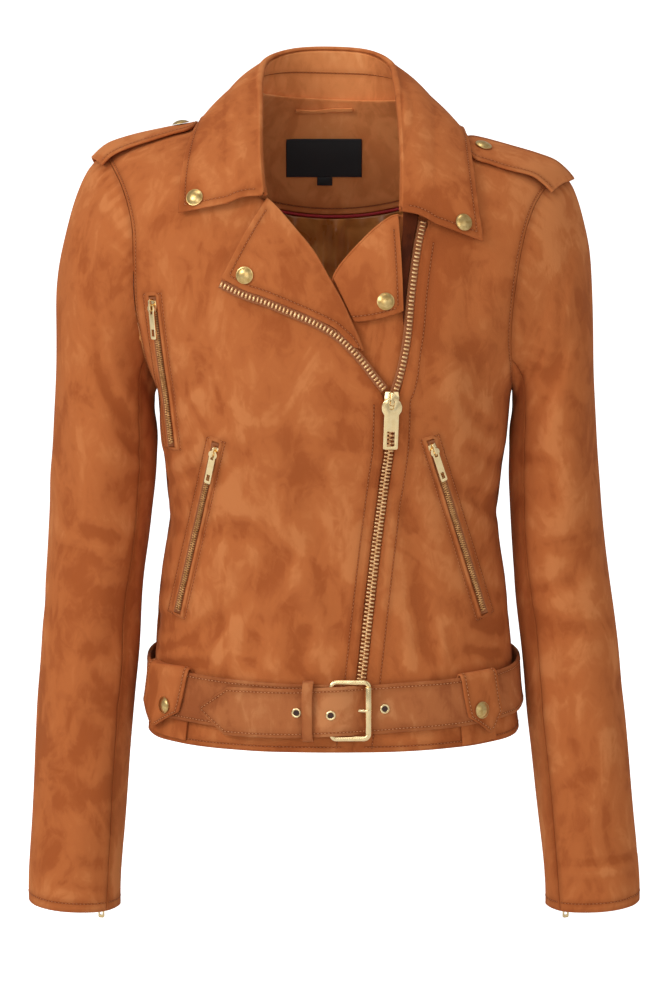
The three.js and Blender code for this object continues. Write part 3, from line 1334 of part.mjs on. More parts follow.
const EYELET_PROFILE = [
  [2.3, 0],
  [4.2, 0],
  [4, 0.8],
  [2.6, 0.9],
  [2.3, 0],
].map(([x, y]) => new THREE.Vector2(x, y));
const EYELETS = [
  { name: "eyelet_outer", x: -30, z: -492.4 },
  { name: "eyelet_middle", x: -2.3, z: -493.4 },
  { name: "eyelet_inner", x: 41.5, z: -490.4 },
];
for (const { name, x, z } of EYELETS) {
  const { point, normal } = seenOn(beltGrid, x, z);
  const group = seat(point.clone().addScaledVector(normal, 0.4), normal, v3(0, 0, 1));
  put(name, new THREE.LatheGeometry(EYELET_PROFILE, 14).rotateX(Math.PI / 2), GOLD_FINISH, group);
}

// Inside the back: a suede facing below the neck, a piping along its lower edge and the lining below that
const FACING_HALF = 92;
const FACING_DEEP = SUEDE + 1.6; // its face next to the back panel
const FACING = 1.4;
const pipingZ = (x) => -100 + 0.0022 * x * x;
const inside = (x, z, deep) => onBack(x, z, -deep);
const facingTop = (x) => (Math.abs(x) < NECK_END ? backTop(x) - 1.5 : ridgeZ(x) - 9);
const facingGrid = range(5).map((v) =>
  range(14).map((u) => {
    const x = lerp(-FACING_HALF, FACING_HALF, u);
    return inside(x, lerp(facingTop(x) - LEAN * x, pipingZ(x) + 0.3, v), FACING_DEEP);
  }),
);
put("facing_back", ribbon(facingGrid, FACING, v3(0, 1, 0)), SUEDE_FINISH);
const pipingPath = range(16).map((u) => {
  const x = lerp(-FACING_HALF, FACING_HALF, u);
  return { x, z: pipingZ(x) - 1.7, out: -(SUEDE + 1.2) };
});
put("piping", ribbon(stripGrid(pipingPath, 2.6, onBack), 2.4, v3(0, 1, 0)), PIPING_FINISH);
const liningGrid = range(12).map((v) => {
  const low = -496;
  return range(14).map((u) => {
    const side = lerp(-1, 1, u);
    const level = (x) => lerp(pipingZ(Math.min(Math.abs(x), 118)) - 3.6, low, v);
    let x = side * 120;
    let z = level(x);
    for (let pass = 0; pass < 6; pass += 1) {
      const reach = z > ARMPIT_Z ? look(ARMHOLE, "z", z, "back") - 13 : ring(z, "width") * 0.985 - 3;
      x = side * reach;
      z = level(x);
    }
    return inside(x, z, SUEDE + 2.4);
  });
});
put("lining_back", ribbon(liningGrid, LINING, v3(0, 1, 0)), SATIN_FINISH);

const LABEL_OUT = -(FACING_DEEP + FACING + 0.8);
const LABEL = { left: -40.7, right: 24.4, top: -34, low: -66.6 };
const SIZE_TAB = { left: -14, right: -1, top: -67, low: -74 };
const patch = ({ left, right, top, low }, columns) =>
  range(2).map((v) =>
    range(columns).map((u) => onBack(lerp(left, right, u), lerp(top, low, v), LABEL_OUT)),
  );
put("label", ribbon(patch(LABEL, 6), 0.8, v3(0, 1, 0)), LABEL_FINISH);
put("size_tab", ribbon(patch(SIZE_TAB, 2), 0.8, v3(0, 1, 0)), LABEL_FINISH);
const hangerPath = range(8).map((u) => ({
  x: lerp(-34.5, 18.3, u),
  z: -12 - 3 * Math.sin(u * Math.PI),
  out: LABEL_OUT - 1.6,
}));
put("hanger_loop", ribbon(stripGrid(hangerPath, 3, onBack), 1.8, v3(0, 1, 0)), SUEDE_FINISH);

export default jacket;
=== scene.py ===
"""Looks of a short suede biker jacket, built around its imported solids.

Points are worked out in millimetres in the row frame: +Z up, +X to the wearer's left, the front facing -Y.
Meshes are made in metres.
"""
import logging
import math
from collections.abc import Callable, Iterable, Sequence
from dataclasses import dataclass, field
from enum import Enum

import bpy
import numpy as np
from mathutils import Matrix, Vector


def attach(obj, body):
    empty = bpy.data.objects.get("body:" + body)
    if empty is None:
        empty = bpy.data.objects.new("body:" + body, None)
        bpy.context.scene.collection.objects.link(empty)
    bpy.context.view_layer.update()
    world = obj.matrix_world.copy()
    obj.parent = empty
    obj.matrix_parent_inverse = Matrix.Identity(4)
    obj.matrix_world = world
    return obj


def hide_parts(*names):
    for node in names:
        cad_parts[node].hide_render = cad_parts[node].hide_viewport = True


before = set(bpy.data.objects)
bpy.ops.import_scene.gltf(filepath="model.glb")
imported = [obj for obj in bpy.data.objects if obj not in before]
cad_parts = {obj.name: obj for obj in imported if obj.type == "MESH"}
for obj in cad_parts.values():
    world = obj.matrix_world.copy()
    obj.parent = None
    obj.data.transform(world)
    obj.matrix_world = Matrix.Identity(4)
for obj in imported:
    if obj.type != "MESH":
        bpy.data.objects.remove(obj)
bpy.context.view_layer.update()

logging.basicConfig(level=logging.INFO, format="%(message)s")
LOG = logging.getLogger("jacket")
MM = 0.001
BODY = "jacket"
FORWARD = np.array((0.0, -1.0, 0.0))
BACKWARD = np.array((0.0, 1.0, 0.0))
UPWARD = np.array((0.0, 0.0, 1.0))

# Main sizes, the same as in the solids
SUEDE = 1.8
FOLDED_SUEDE = 2.2
LINING = 1.0
SEAM_GAP = 0.3
HEM_Z = -527.0
YOKE_Z = -122.0
TIP_Z = -54.0
ARMPIT_Z = -240.0
SHOULDER_ROUND = 62.0
LEAN = 0.042
BELT_WIDTH = 40.0
BELT_THICK = 3.0
CHAIN_WIDTH = 7.4
STRAND_WIDTH = 4.4
EDGE_TO_ZIP = 4.3
SMALL_CHAIN = 4.2
SLIDER_Z = -238.0
ZIP_END_Z = -500.0
MEETING_Z = -512.0
MEETING_GAP = -0.5


def hermite(t: np.ndarray, low, high, slope_low, slope_high) -> np.ndarray:
    """A smooth step between two values.

    Args:
        t: Share of the way, from 0 to 1.
        low: Value at 0.
        high: Value at 1.
        slope_low: Slope at 0, over the whole step.
        slope_high: Slope at 1, over the whole step.

    Returns:
        The values at t.
    """
    t2, t3 = t * t, t * t * t
    return (2 * t3 - 3 * t2 + 1) * low + (t3 - 2 * t2 + t) * slope_low + (3 * t2 - 2 * t3) * high + (t3 - t2) * slope_high


def mix(a, b, t):
    """Returns the value that lies at share t between a and b."""
    return a + (b - a) * t


def smoothstep(x, low: float, high: float):
    """Returns 0 below low, 1 above high and a smooth rise in between."""
    t = np.clip((np.asarray(x, float) - low) / (high - low), 0, 1)
    return t * t * (3 - 2 * t)


def unit(vectors: np.ndarray) -> np.ndarray:
    """Returns the vectors at length 1."""
    return vectors / np.maximum(np.linalg.norm(vectors, axis=-1, keepdims=True), 1e-9)


class Table:
    """A table of sizes with named columns, read smoothly between its rows."""

    def __init__(self, columns: str, rows: Sequence[Sequence[float]]) -> None:
        """Keeps the columns by name.

        Args:
            columns: Names of the columns, with the key column first.
            rows: The rows, in the order of the key.
        """
        names = columns.split()
        values = np.array(rows, float)
        self.columns = {name: values[:, i] for i, name in enumerate(names)}
        self.key = values[:, 0]
        self.last = len(values) - 1

    def at(self, key, column: str) -> np.ndarray:
        """Reads a column at a place along the key column.

        Args:
            key: Places along the key column.
            column: Name of the column.

        Returns:
            The smooth values there.
        """
        order = 1.0 if self.key[0] < self.key[-1] else -1.0
        key = np.asarray(key, float)
        i = np.clip(np.searchsorted(self.key * order, key * order) - 1, 0, self.last - 1)
        span = self.key[i + 1] - self.key[i]
        t = np.clip((key - self.key[i]) / span, 0, 1)
        v = self.columns[column]
        before, after = np.maximum(i - 1, 0), np.minimum(i + 2, self.last)
        slope_low = (v[i + 1] - v[before]) / (self.key[i + 1] - self.key[before]) * span
        slope_high = (v[after] - v[i]) / (self.key[after] - self.key[i]) * span
        return hermite(t, v[i], v[i + 1], slope_low, slope_high)

    def row(self, at, column: str) -> np.ndarray:
        """Reads a column by row number.

        Args:
            at: Row numbers, with a fraction between two rows.
            column: Name of the column.

        Returns:
            The smooth values there.
        """
        at = np.asarray(at, float)
        v = self.columns[column]
        pick = lambda j: v[np.clip(j, 0, self.last)]
        i = np.clip(np.floor(at).astype(int), 0, self.last - 1)
        return hermite(at - i, pick(i), pick(i + 1), (pick(i + 1) - pick(i - 1)) / 2, (pick(i + 2) - pick(i)) / 2)


# The torso: level, half width, y of the centre front and back, y of the widest place, squareness of the ring
TORSO = Table("z width front back middle square", [
    (-540, 159, -112, 110, 0, 2.3), (-515, 155.5, -111, 107, 0, 2.3), (-490, 152, -109, 103, 0, 2.3),
    (-450, 149.5, -106, 98, 0, 2.3), (-406, 145.5, -103, 92, 0, 2.3), (-355, 138.5, -104, 88, 0, 2.3),
    (-309, 141, -112, 92, 0, 2.35), (-284, 144.5, -119, 97, 0, 2.4), (-240, 149.5, -126, 103, 0, 2.4),
    (-200, 164, -124, 107, 1, 2.45), (-160, 180, -118, 109, 2, 2.5), (-113, 191, -106, 108, 4, 2.5),
    (-75, 196, -92, 100, 7, 2.5), (-40, 198, -76, 90, 10, 2.5), (0, 198, -58, 80, 14, 2.5),
])
RIDGE = Table("x z", [
    (0, 55), (20, 38), (40, 22), (60, 8), (72, 0), (84, -11), (97, -20), (110, -27), (130, -31.5), (155, -38),
    (177, -47), (190, -54), (202, -64),
])
ARMHOLE = Table("z right left back", [
    (-260, 149.5, 149.5, 149.5), (-240, 149.5, 149.5, 149.5), (-222, 153, 147, 153), (-200, 157, 144.5, 156),
    (-165, 161, 145.5, 161), (-132, 162, 149, 165), (-110, 163, 153, 168), (-92, 167, 158, 172),
    (-75, 174, 166, 178), (-60, 184, 179, 186), (-54, 190, 190, 190), (-40, 191, 191, 191),
])
ZIP_LINE = Table("z x", [
    (-527, 15), (-476, 21.5), (-403, 29.6), (-353, 35.2), (-305, 41), (-279, 44.2), (-262, 45), (-245, 45.4),
    (-238, 45.8), (-229, 49.6), (-213, 54.4), (-186, 59.3), (-152, 62.5), (-114, 67.7), (-98, 71), (-60, 77),
])
ROLL_LINE = Table("z x", [
    (-245, 41), (-233, 38.6), (-222, 33.6), (-211, 28.6), (-185, 17), (-154, 4), (-122, -14.7), (-103, -31),
    (-90, -43), (-83, -55), (-76, -62), (-55, -67), (-28, -70), (-8, -72), (0, -72),
])
LEFT_NECKLINE = Table("z x", [(-98, 76), (-80, 74), (-55, 70), (-28, 68), (-8, 70), (0, 72)])
SLEEVES = {
    -1: Table("outX outZ inX inZ deep midY", [
        (190, -46, 149.5, -240, 64, 1), (204, -60, 150.2, -244, 64, 1), (216, -87, 150, -249, 63.5, 1),
        (224, -122, 149.6, -255, 62.5, 0), (229, -158, 149, -263, 61, -1), (231, -196, 148.4, -273, 59, -2),
        (232.4, -240, 147.8, -290, 57, -2), (235, -290, 148.6, -318, 55, -2), (239, -350, 154, -363, 52, -1),
        (242.6, -402, 160.7, -411, 49.5, -1), (246, -454, 164.4, -462, 47, -5), (249.8, -506, 169.4, -514, 44.5, -10),
        (252.4, -560, 173.6, -567, 42, -17), (255, -612, 176.8, -618, 39.8, -24), (257, -648, 178.8, -654, 38.6, -29),
        (258.2, -669.5, 179.8, -675, 38, -32)]),
    1: Table("outX outZ inX inZ deep midY", [
        (190, -62, 149.5, -240, 64, 1), (199, -74, 150.2, -244, 64, 1), (206.5, -95, 150, -249, 63.5, 1),
        (211.5, -122, 149.6, -255, 62.5, 0), (214, -158, 149, -263, 61, -1), (216.5, -196, 148.2, -273, 59, -2),
        (218, -240, 147.4, -290, 57, -2), (220.8, -290, 146.4, -318, 55, -2), (226.2, -350, 149, -363, 52, -1),
        (232.8, -402, 152.8, -411, 49.5, -1), (239.8, -454, 159.4, -462, 47, -5), (244.8, -506, 163.8, -514, 44.5, -10),
        (250, -560, 169.8, -567, 42, -17), (254.6, -612, 175, -618, 39.8, -24), (257.8, -648, 177.8, -654, 38.6, -29),
        (259.6, -669.5, 179, -675, 38, -32)]),
}
COLLAR = [
    # seam x and z, roll line x y z, edge x and z, and which side of the shoulder ridge seam and edge lie on
    (-61, -78, "front", (-54.5, -99, -76), -122.4, -91.7, "front"),
    (-67.5, -53, "front", (-57.5, -78, -42), -121.5, -68, "front"),
    (-71, -24, "front", (-58.5, -40, -9), -118, -45, "front"),
    (-72, 3, "front", (-59.5, 6, 18), -110, -27, "front"),
    (-62, -0.5, "back", (-54, 42, 31), -97, -30, "back"),
    (-38, -4, "back", (-33, 66, 38), -62, -34, "back"),
    (0, -7, "back", (-3, 74, 39.5), 0, -36, "back"),
    (38, -7, "back", (28, 67, 37), 62, -36, "back"),
    (62, -5, "back", (46, 42, 28.5), 95, -36, "back"),
    (72, -3, "front", (51, 6, 13), 107, -36, "front"),
    (70, -30, "front", (53, -40, -13), 110.5, -54, "front"),
    (69, -60, "front", (54, -82, -48), 114, -83, "front"),
    (66, -90, "front", (53, -105, -88), 118.3, -113.7, "front"),
]
RIGHT_LAPEL = Table("rollX rollZ edgeX edgeZ", [
    (-54, -80, -88.7, -142), (-45, -88, -70.2, -151.4), (-32, -102.7, -53.8, -156.8), (-15.5, -122.4, -28.5, -166.8),
    (-4, -142, -11.8, -174), (6.6, -161, 1, -180.6), (14, -178, 8, -187), (22, -197, 16, -195),
])
LEFT_LAPEL = Table("rollX rollZ edgeX edgeZ", [
    (51.8, -91, 55.5, -167), (44, -93.5, 46, -170.5), (30, -104, 33, -173.5), (14, -120, 22.5, -175),
    (4, -132, 18, -175.2), (-0.6, -140, 16.6, -175.3),
])
RIGHT_STRAND = Table("x z out", [
    (-90, -146, 4.6), (-71.3, -154.6, 4.6), (-54.6, -160.1, 4.6), (-29.7, -170, 4.6), (-13.1, -177.1, 4.6),
    (3.9, -187.4, 4.2), (20, -203.1, 3.6), (32.5, -219, 3), (40.6, -229, 2.6),
])
UNDERLAP = Table("z x", [
    (-90, 52), (-104, 30), (-120, 14), (-141, -2), (-156, -9), (-180, -2), (-215, 10), (-260, 14), (-403, 0),
    (-520, -14),
])
BELT = Table("turn z out", [
    (1.6, -491.4, 5), (-12, -490.4, 5), (-24, -489.3, 5.1), (-45, -487.5, 6.9), (-70, -486.5, 7.2),
    (-90, -484.5, 6.8), (-115, -481, 6.4), (-150, -478, 5.6), (-180, -478, 5.6), (-210, -478, 5.6),
    (-245, -481, 6.4), (-270, -484.5, 6.8), (-290, -487, 7.2), (-318, -489, 7), (-342, -490.4, 5), (-349, -491.2, 5.2), (-352.3, -491.4, 5.4), (-354, -491.4, 7),
    (-356, -491.4, 10.4), (-358, -491.5, 13.2), (-359.4, -491.7, 14.2), (-361, -492, 14.2), (-363, -492.6, 12.6),
    (-366, -493.2, 10.4), (-370, -493.8, 9.8), (-390.4, -494.4, 9.6), (-400.8, -494.6, 9.4),
])
EPAULETTES = {
    -1: Table("x from to", [(111.5, -2, 8), (118, -18, 26), (135, -18, 30), (160, -18, 34), (186, -20, 32)]),
    1: Table("x from to", [(106, 32, 44), (115, 14, 60), (135, 12, 61), (160, 10, 60), (184, 6, 55)]),
}
POCKETS = {
    "hip_zip_right": ((-95, -281), (-127.9, -418)),
    "hip_zip_left": ((79, -278), (123, -418)),
    "chest_zip": ((-143.5, -165), (-131.5, -279)),
}

# Folds of the solids: ends of the line, half width, depth
FRONT_FOLDS = [
    (-128, -330, -78, -285, 12, 2.6), (-138, -352, -60, -345, 11, 2.2), (-110, -445, -45, -370, 14, 2.4),
    (-150, -440, -95, -425, 9, 2.4), (-20, -330, 4, -430, 13, 1.8), (60, -330, 75, -440, 11, 2.2),
    (134, -330, 92, -310, 10, 2.4), (134, -430, 100, -340, 12, 2.4), (138, -235, 110, -205, 14, 2.6),
    (-148, -245, -112, -225, 14, 2.4),
]
BACK_FOLDS = [
    (-130, -345, -50, -330, 12, 2.4), (132, -350, 46, -338, 12, 2.4), (-110, -400, -30, -372, 13, 2.2),
    (112, -405, 36, -380, 13, 2.0), (-140, -235, -105, -170, 14, 2.6), (142, -232, 106, -168, 14, 2.6),
]
# Finer creases and soft ridges (a negative depth) that only show in the looks
FRONT_CREASES = [
    (-146, -455, -118, -440, 5, 1.5), (-148, -430, -122, -420, 5, 1.3), (-140, -465, -106, -458, 4.5, 1.2),
    (-146, -405, -124, -396, 6, 1.1), (-140, -316, -108, -296, 6, 1.4), (-144, -298, -120, -278, 6, 1.2),
    (-96, -452, -82, -424, 7, -1.3), (-70, -455, -62, -420, 7, 1.2), (-48, -456, -44, -428, 6, -1.1),
    (-28, -455, -20, -425, 7, 1.1), (-132, -268, -112, -246, 6, 1.1), (-120, -255, -100, -222, 8, -1.3),
    (136, -455, 112, -448, 5, 1.4), (140, -438, 118, -428, 5, 1.3), (138, -410, 120, -398, 6, 1.3),
    (136, -345, 116, -322, 6, 1.4), (140, -300, 112, -280, 7, 1.2), (128, -268, 104, -240, 7, 1.2),
    (84, -452, 80, -426, 7, 1.2), (62, -455, 60, -420, 7, -1.2), (100, -452, 94, -432, 6, 1.1),
    (-118, -140, -104, -190, 12, 1.0), (118, -130, 102, -190, 12, 1.1), (-60, -215, -88, -290, 16, -1.2),
    (92, -215, 104, -262, 14, -1.2), (-40, -235, -20, -300, 15, 1.0), (-75, -330, -30, -352, 10, -1.0),
    (10, -455, 4, -415, 7, 1.0), (40, -300, 62, -330, 10, 0.9),
]
BACK_CREASES = [
    (-138, -455, -104, -446, 5, 1.4), (-142, -432, -112, -420, 5, 1.3), (140, -450, 108, -442, 5, 1.3),
    (142, -428, 114, -414, 6, 1.3), (-90, -452, -84, -420, 7, 1.2), (-52, -452, -46, -416, 7, -1.2),
    (-10, -452, -6, -420, 8, 1.1), (34, -452, 38, -418, 7, 1.2), (78, -452, 72, -420, 7, -1.1),
    (-60, -345, -20, -352, 8, 1.1), (64, -350, 18, -356, 8, 1.0), (-120, -300, -88, -270, 8, 1.2),
    (122, -296, 90, -268, 8, 1.2), (-30, -120, -44, -200, 16, -1.1), (34, -118, 46, -196, 16, -1.0),
    (0, -160, 2, -280, 18, 1.1),
]
# Dents in the sleeves: row of the sleeve table, turn round it in degrees, reach along and round, depth, slant
SLEEVE_FOLDS = [
    (7.2, 118, 0.5, 26, 2.6, 0), (8.6, 60, 0.45, 34, 2.2, 0), (9.5, 125, 0.4, 26, 2.4, 0),
    (5.2, 120, 0.7, 22, 2.4, 0), (8.9, -70, 0.45, 34, 2.0, 0), (11.4, 100, 0.6, 22, 1.8, 0),
]
SLEEVE_CREASES = {
    -1: [
        (8.0, 96, 0.16, 30, 1.5, 30), (8.35, 70, 0.15, 34, 1.2, 60), (9.0, 118, 0.15, 26, 1.5, 30),
        (9.9, 100, 0.16, 26, 1.2, -40), (6.2, 128, 0.3, 20, 1.4, 40), (10.8, 128, 0.16, 20, 1.4, 50),
        (12.2, 110, 0.2, 24, 1.1, -50), (13.4, 120, 0.16, 22, 1.1, 40), (14.0, 96, 0.14, 24, 1.0, 60),
        (7.4, 20, 0.3, 34, -1.2, 0), (9.4, 20, 0.3, 30, 1.0, 60), (11.6, 40, 0.4, 26, 0.9, 40),
        (4.6, 86, 0.8, 18, 1.4, 16), (3.4, 60, 0.8, 16, -1.2, 20), (8.4, -100, 0.18, 34, 1.6, 40),
        (9.2, -80, 0.18, 36, 1.5, -30), (10.2, -110, 0.2, 30, 1.3, 40), (6.8, -120, 0.4, 22, 1.4, 0),
        (12.6, -80, 0.25, 26, 1.0, 30), (5.0, -90, 0.8, 18, 1.3, 0),
    ],
    1: [
        (8.2, 84, 0.18, 32, 1.6, -20), (8.9, 110, 0.16, 28, 1.5, 40), (9.6, 70, 0.16, 34, 1.2, -60),
        (10.5, 118, 0.2, 24, 1.4, 40), (6.6, 120, 0.3, 22, 1.5, -40), (13.4, 60, 0.09, 46, 1.5, 8),
        (13.62, 74, 0.1, 40, -1.1, 8), (12.0, 100, 0.24, 24, 1.1, 50), (7.5, 40, 0.3, 30, -1.2, 0),
        (10.6, 30, 0.35, 28, 1.0, -40), (4.4, 88, 0.8, 18, 1.5, -14), (3.2, 64, 0.8, 16, -1.2, 20),
        (8.4, -96, 0.18, 34, 1.5, 40), (9.3, -84, 0.18, 34, 1.5, -30), (10.4, -112, 0.2, 28, 1.3, 40),
        (6.8, -118, 0.4, 22, 1.4, 0), (12.8, -84, 0.25, 26, 1.0, -30), (5.0, -92, 0.8, 18, 1.3, 0),
    ],
}
# Slow waves round the body and the sleeves: waves round, level of one radian, phase, height
BODY_WAVES = [(5, 61, 0.4, 0.5), (8, -43, 1.9, 0.42), (13, 37, 3.3, 0.3), (17, -29, 5.0, 0.24), (23, 19, 2.2, 0.16)]
SLEEVE_WAVES = [(2, 1.1, 0.6, 0.5), (3, -0.8, 2.1, 0.45), (5, 0.55, 4.0, 0.34), (7, -0.4, 1.2, 0.24)]


def fold_depth(folds: Sequence[tuple], x: np.ndarray, z: np.ndarray) -> np.ndarray:
    """Adds up the depth of folds that lie along straight lines.

    Args:
        folds: Rows of line ends, half width and depth.
        x: Places across.
        z: Levels.

    Returns:
        The depth at each place.
    """
    depth = np.zeros(np.broadcast(x, z).shape)
    for x1, z1, x2, z2, half, deep in folds:
        dx, dz = x2 - x1, z2 - z1
        t = np.clip(((x - x1) * dx + (z - z1) * dz) / (dx * dx + dz * dz), 0, 1)
        away = ((x - x1 - dx * t) ** 2 + (z - z1 - dz * t) ** 2) / half**2
        depth = depth + deep * np.exp(-away)
    return depth


def waves(rows: Sequence[tuple], turn: np.ndarray, along: np.ndarray) -> np.ndarray:
    """Returns the sum of slow waves round and along a tube of cloth."""
    return sum(high * np.sin(count * turn + along / length + phase) for count, length, phase, high in rows)


class Torso:
    """The body of the jacket as one smooth surface, before it is cut into panels."""

    def ridge(self, x) -> np.ndarray:
        """Returns the height of the shoulder ridge."""
        return RIDGE.at(np.abs(x), "z")

    def lean(self, x, z) -> np.ndarray:
        """Returns how much lower the wearer's left side hangs."""
        return LEAN * x * smoothstep(z, ARMPIT_Z, -60)

    def dome(self, x, z) -> np.ndarray:
        """Returns the share of the chest's depth that is left near the ridge."""
        t = np.clip((self.ridge(x) - z) / SHOULDER_ROUND, 0, 1)
        return np.sqrt(1 - (1 - t) ** 2)

    def skin(self, a, z) -> np.ndarray:
        """A place on the outer surface.

        Args:
            a: Angle round the body from the centre front, towards the wearer's left.
            z: Level before the lean.

        Returns:
            The points.
        """
        a, z = np.broadcast_arrays(np.asarray(a, float), np.asarray(z, float))
        power = 2 / TORSO.at(z, "square")
        sine, cosine = np.sin(a), np.cos(a)
        x = TORSO.at(z, "width") * np.sign(sine) * np.abs(sine) ** power
        is_front = cosine >= 0
        middle = TORSO.at(z, "middle")
        reach = np.where(is_front, TORSO.at(z, "front"), TORSO.at(z, "back")) - middle
        y = middle + reach * np.abs(cosine) ** power * self.dome(x, z)
        calm = smoothstep(-z, 60, 150)
        fine = np.where(is_front, fold_depth(FRONT_CREASES, x, z), fold_depth(BACK_CREASES, x, z))
        deep = np.where(is_front, fold_depth(FRONT_FOLDS, x, z), fold_depth(BACK_FOLDS, x, z))
        deep = deep + fine * calm + waves(BODY_WAVES, a, z) * calm * 0.7
        return np.stack([x - deep * sine, y + deep * cosine, z - self.lean(x, z)], -1)

    def angle(self, x, z) -> np.ndarray:
        """Returns the angle at which the ring at level z has a given x."""
        share = np.clip(np.abs(x) / TORSO.at(z, "width"), 0, 1)
        return np.sign(x) * np.arcsin(share ** (TORSO.at(z, "square") / 2))

    def normal(self, a, z) -> np.ndarray:
        """Returns the outward normal."""
        step = 0.006
        across = self.skin(a + step, z) - self.skin(a - step, z)
        down = self.skin(a, z - 1) - self.skin(a, z + 1)
        return unit(np.cross(down, across))

    def over(self, a, z, out=0.0) -> np.ndarray:
        """Returns a place moved out from the surface."""
        out = np.asarray(out, float)
        return self.skin(a, z) + self.normal(a, z) * out[..., None]

    def on_front(self, x, z, out=0.0) -> np.ndarray:
        """Returns the place on the front that is seen at x and z, moved out."""
        x, z, out = np.broadcast_arrays(np.asarray(x, float), z, out)
        level = z + self.lean(x, z)
        return self.over(self.angle(x, level), level, out)

    def seen_front(self, x, z, out=0.0) -> np.ndarray:
        """Returns the place on the front whose own x is the one given, folds and all."""
        guess = np.asarray(x, float)
        for _ in range(5):
            guess = guess + x - self.on_front(guess, z, out)[..., 0]
        return self.on_front(guess, z, out)

    def on_back(self, x, z, out=0.0) -> np.ndarray:
        """Returns the place on the back that is seen at x and z, moved out."""
        x, z, out = np.broadcast_arrays(np.asarray(x, float), z, out)
        level = z + self.lean(x, z)
        return self.over(math.pi - self.angle(x, level), level, out)

    def front_normal(self, x, z) -> np.ndarray:
        """Returns the outward normal of the front at x and z."""
        level = z + self.lean(np.asarray(x, float), z)
        return self.normal(self.angle(x, level), level)


TORSO_FORM = Torso()


def sleeve_point(side: int, at, turn, out=0.0) -> np.ndarray:
    """A place on a sleeve.

    Args:
        side: -1 for the wearer's right sleeve, 1 for the left one.
        at: Row number of the sleeve's table.
        turn: Angle round the sleeve from its outer edge over the front.
        out: Distance outside the surface.

    Returns:
        The points.
    """
    at, turn, out = np.broadcast_arrays(np.asarray(at, float), turn, out)
    get = lambda column: SLEEVES[side].row(at, column)
    half_x, half_z = (get("outX") - get("inX")) / 2, (get("outZ") - get("inZ")) / 2
    size = 1 + out / np.hypot(half_x, half_z)
    degrees = np.degrees(turn)
    dent = np.zeros(at.shape)
    calm = smoothstep(at, 0.6, 3.0)
    for rows, share in ((SLEEVE_FOLDS, 1.0), (SLEEVE_CREASES[side], calm)):
        for row, middle, along, round_it, deep, slant in rows:
            offset = (degrees - middle - slant * (at - row) + 540) % 360 - 180
            dent = dent + share * deep * np.exp(-((at - row) / along) ** 2 - (offset / round_it) ** 2)
    dent = dent + waves(SLEEVE_WAVES, turn, at) * calm
    shrink = 1 - dent / 45
    return np.stack([
        side * ((get("outX") + get("inX")) / 2 + half_x * np.cos(turn) * size * shrink),
        get("midY") - (get("deep") + out) * np.sin(turn) * shrink,
        (get("outZ") + get("inZ")) / 2 + half_z * np.cos(turn) * size * shrink,
    ], -1)


def grid_normals(grid: np.ndarray, closed: bool = False) -> np.ndarray:
    """Returns the normal at each point of a grid; closed joins its last column to its first."""
    down = np.gradient(grid, axis=0)
    if closed:
        across = np.roll(grid, -1, axis=1) - np.roll(grid, 1, axis=1)
    else:
        across = np.gradient(grid, axis=1)
    return unit(np.cross(down, across))


def spline(points: np.ndarray, at: np.ndarray) -> np.ndarray:
    """A smooth curve through points, spaced by the root of their distances.

    Args:
        points: The points.
        at: Places along the list of points.

    Returns:
        The points of the curve.
    """
    points = np.asarray(points, float)
    whole = np.concatenate([[2 * points[0] - points[1]], points, [2 * points[-1] - points[-2]]])
    gaps = np.sqrt(np.linalg.norm(np.diff(whole, axis=0), axis=1))
    i = np.clip(np.floor(at).astype(int), 0, len(points) - 2)
    t = (at - i)[..., None]
    p0, p1, p2, p3 = (whole[i + k] for k in range(4))
    d0, d1, d2 = (gaps[i + k][..., None] for k in range(3))
    m1 = ((p1 - p0) / d0 - (p2 - p0) / (d0 + d1) + (p2 - p1) / d1) * d1
    m2 = ((p2 - p1) / d1 - (p3 - p1) / (d1 + d2) + (p3 - p2) / d2) * d1
    return hermite(t, p1, p2, m1, m2)


def line_length(points: np.ndarray) -> np.ndarray:
    """Returns the distance along a line of points at each of them."""
    steps = np.linalg.norm(np.diff(points, axis=0), axis=-1)
    return np.concatenate([np.zeros((1,) + steps.shape[1:]), np.cumsum(steps, axis=0)])


def resample(values: np.ndarray, where: np.ndarray, at: np.ndarray) -> np.ndarray:
    """Returns the rows of values at new places along where."""
    return np.stack([np.interp(at, where, values[:, k]) for k in range(values.shape[1])], -1)


class Side(Enum):
    """The four edges of a grid of cloth."""

    TOP = "top"
    BOTTOM = "bottom"
    LEFT = "left"
    RIGHT = "right"


@dataclass
class Line:
    """A line on cloth with the way the cloth faces along it, in millimetres."""

    points: np.ndarray
    normals: np.ndarray

    def cut(self, start: float = 0.0, end: float = 0.0) -> "Line":
        """Takes a length off each end.

        Args:
            start: Length taken off the start.
            end: Length taken off the end.

        Returns:
            The shorter line.
        """
        along = line_length(self.points)
        count = max(int((along[-1] - start - end) / 1.5), 2)
        at = np.linspace(start, along[-1] - end, count)
        return Line(resample(self.points, along, at), unit(resample(self.normals, along, at)))


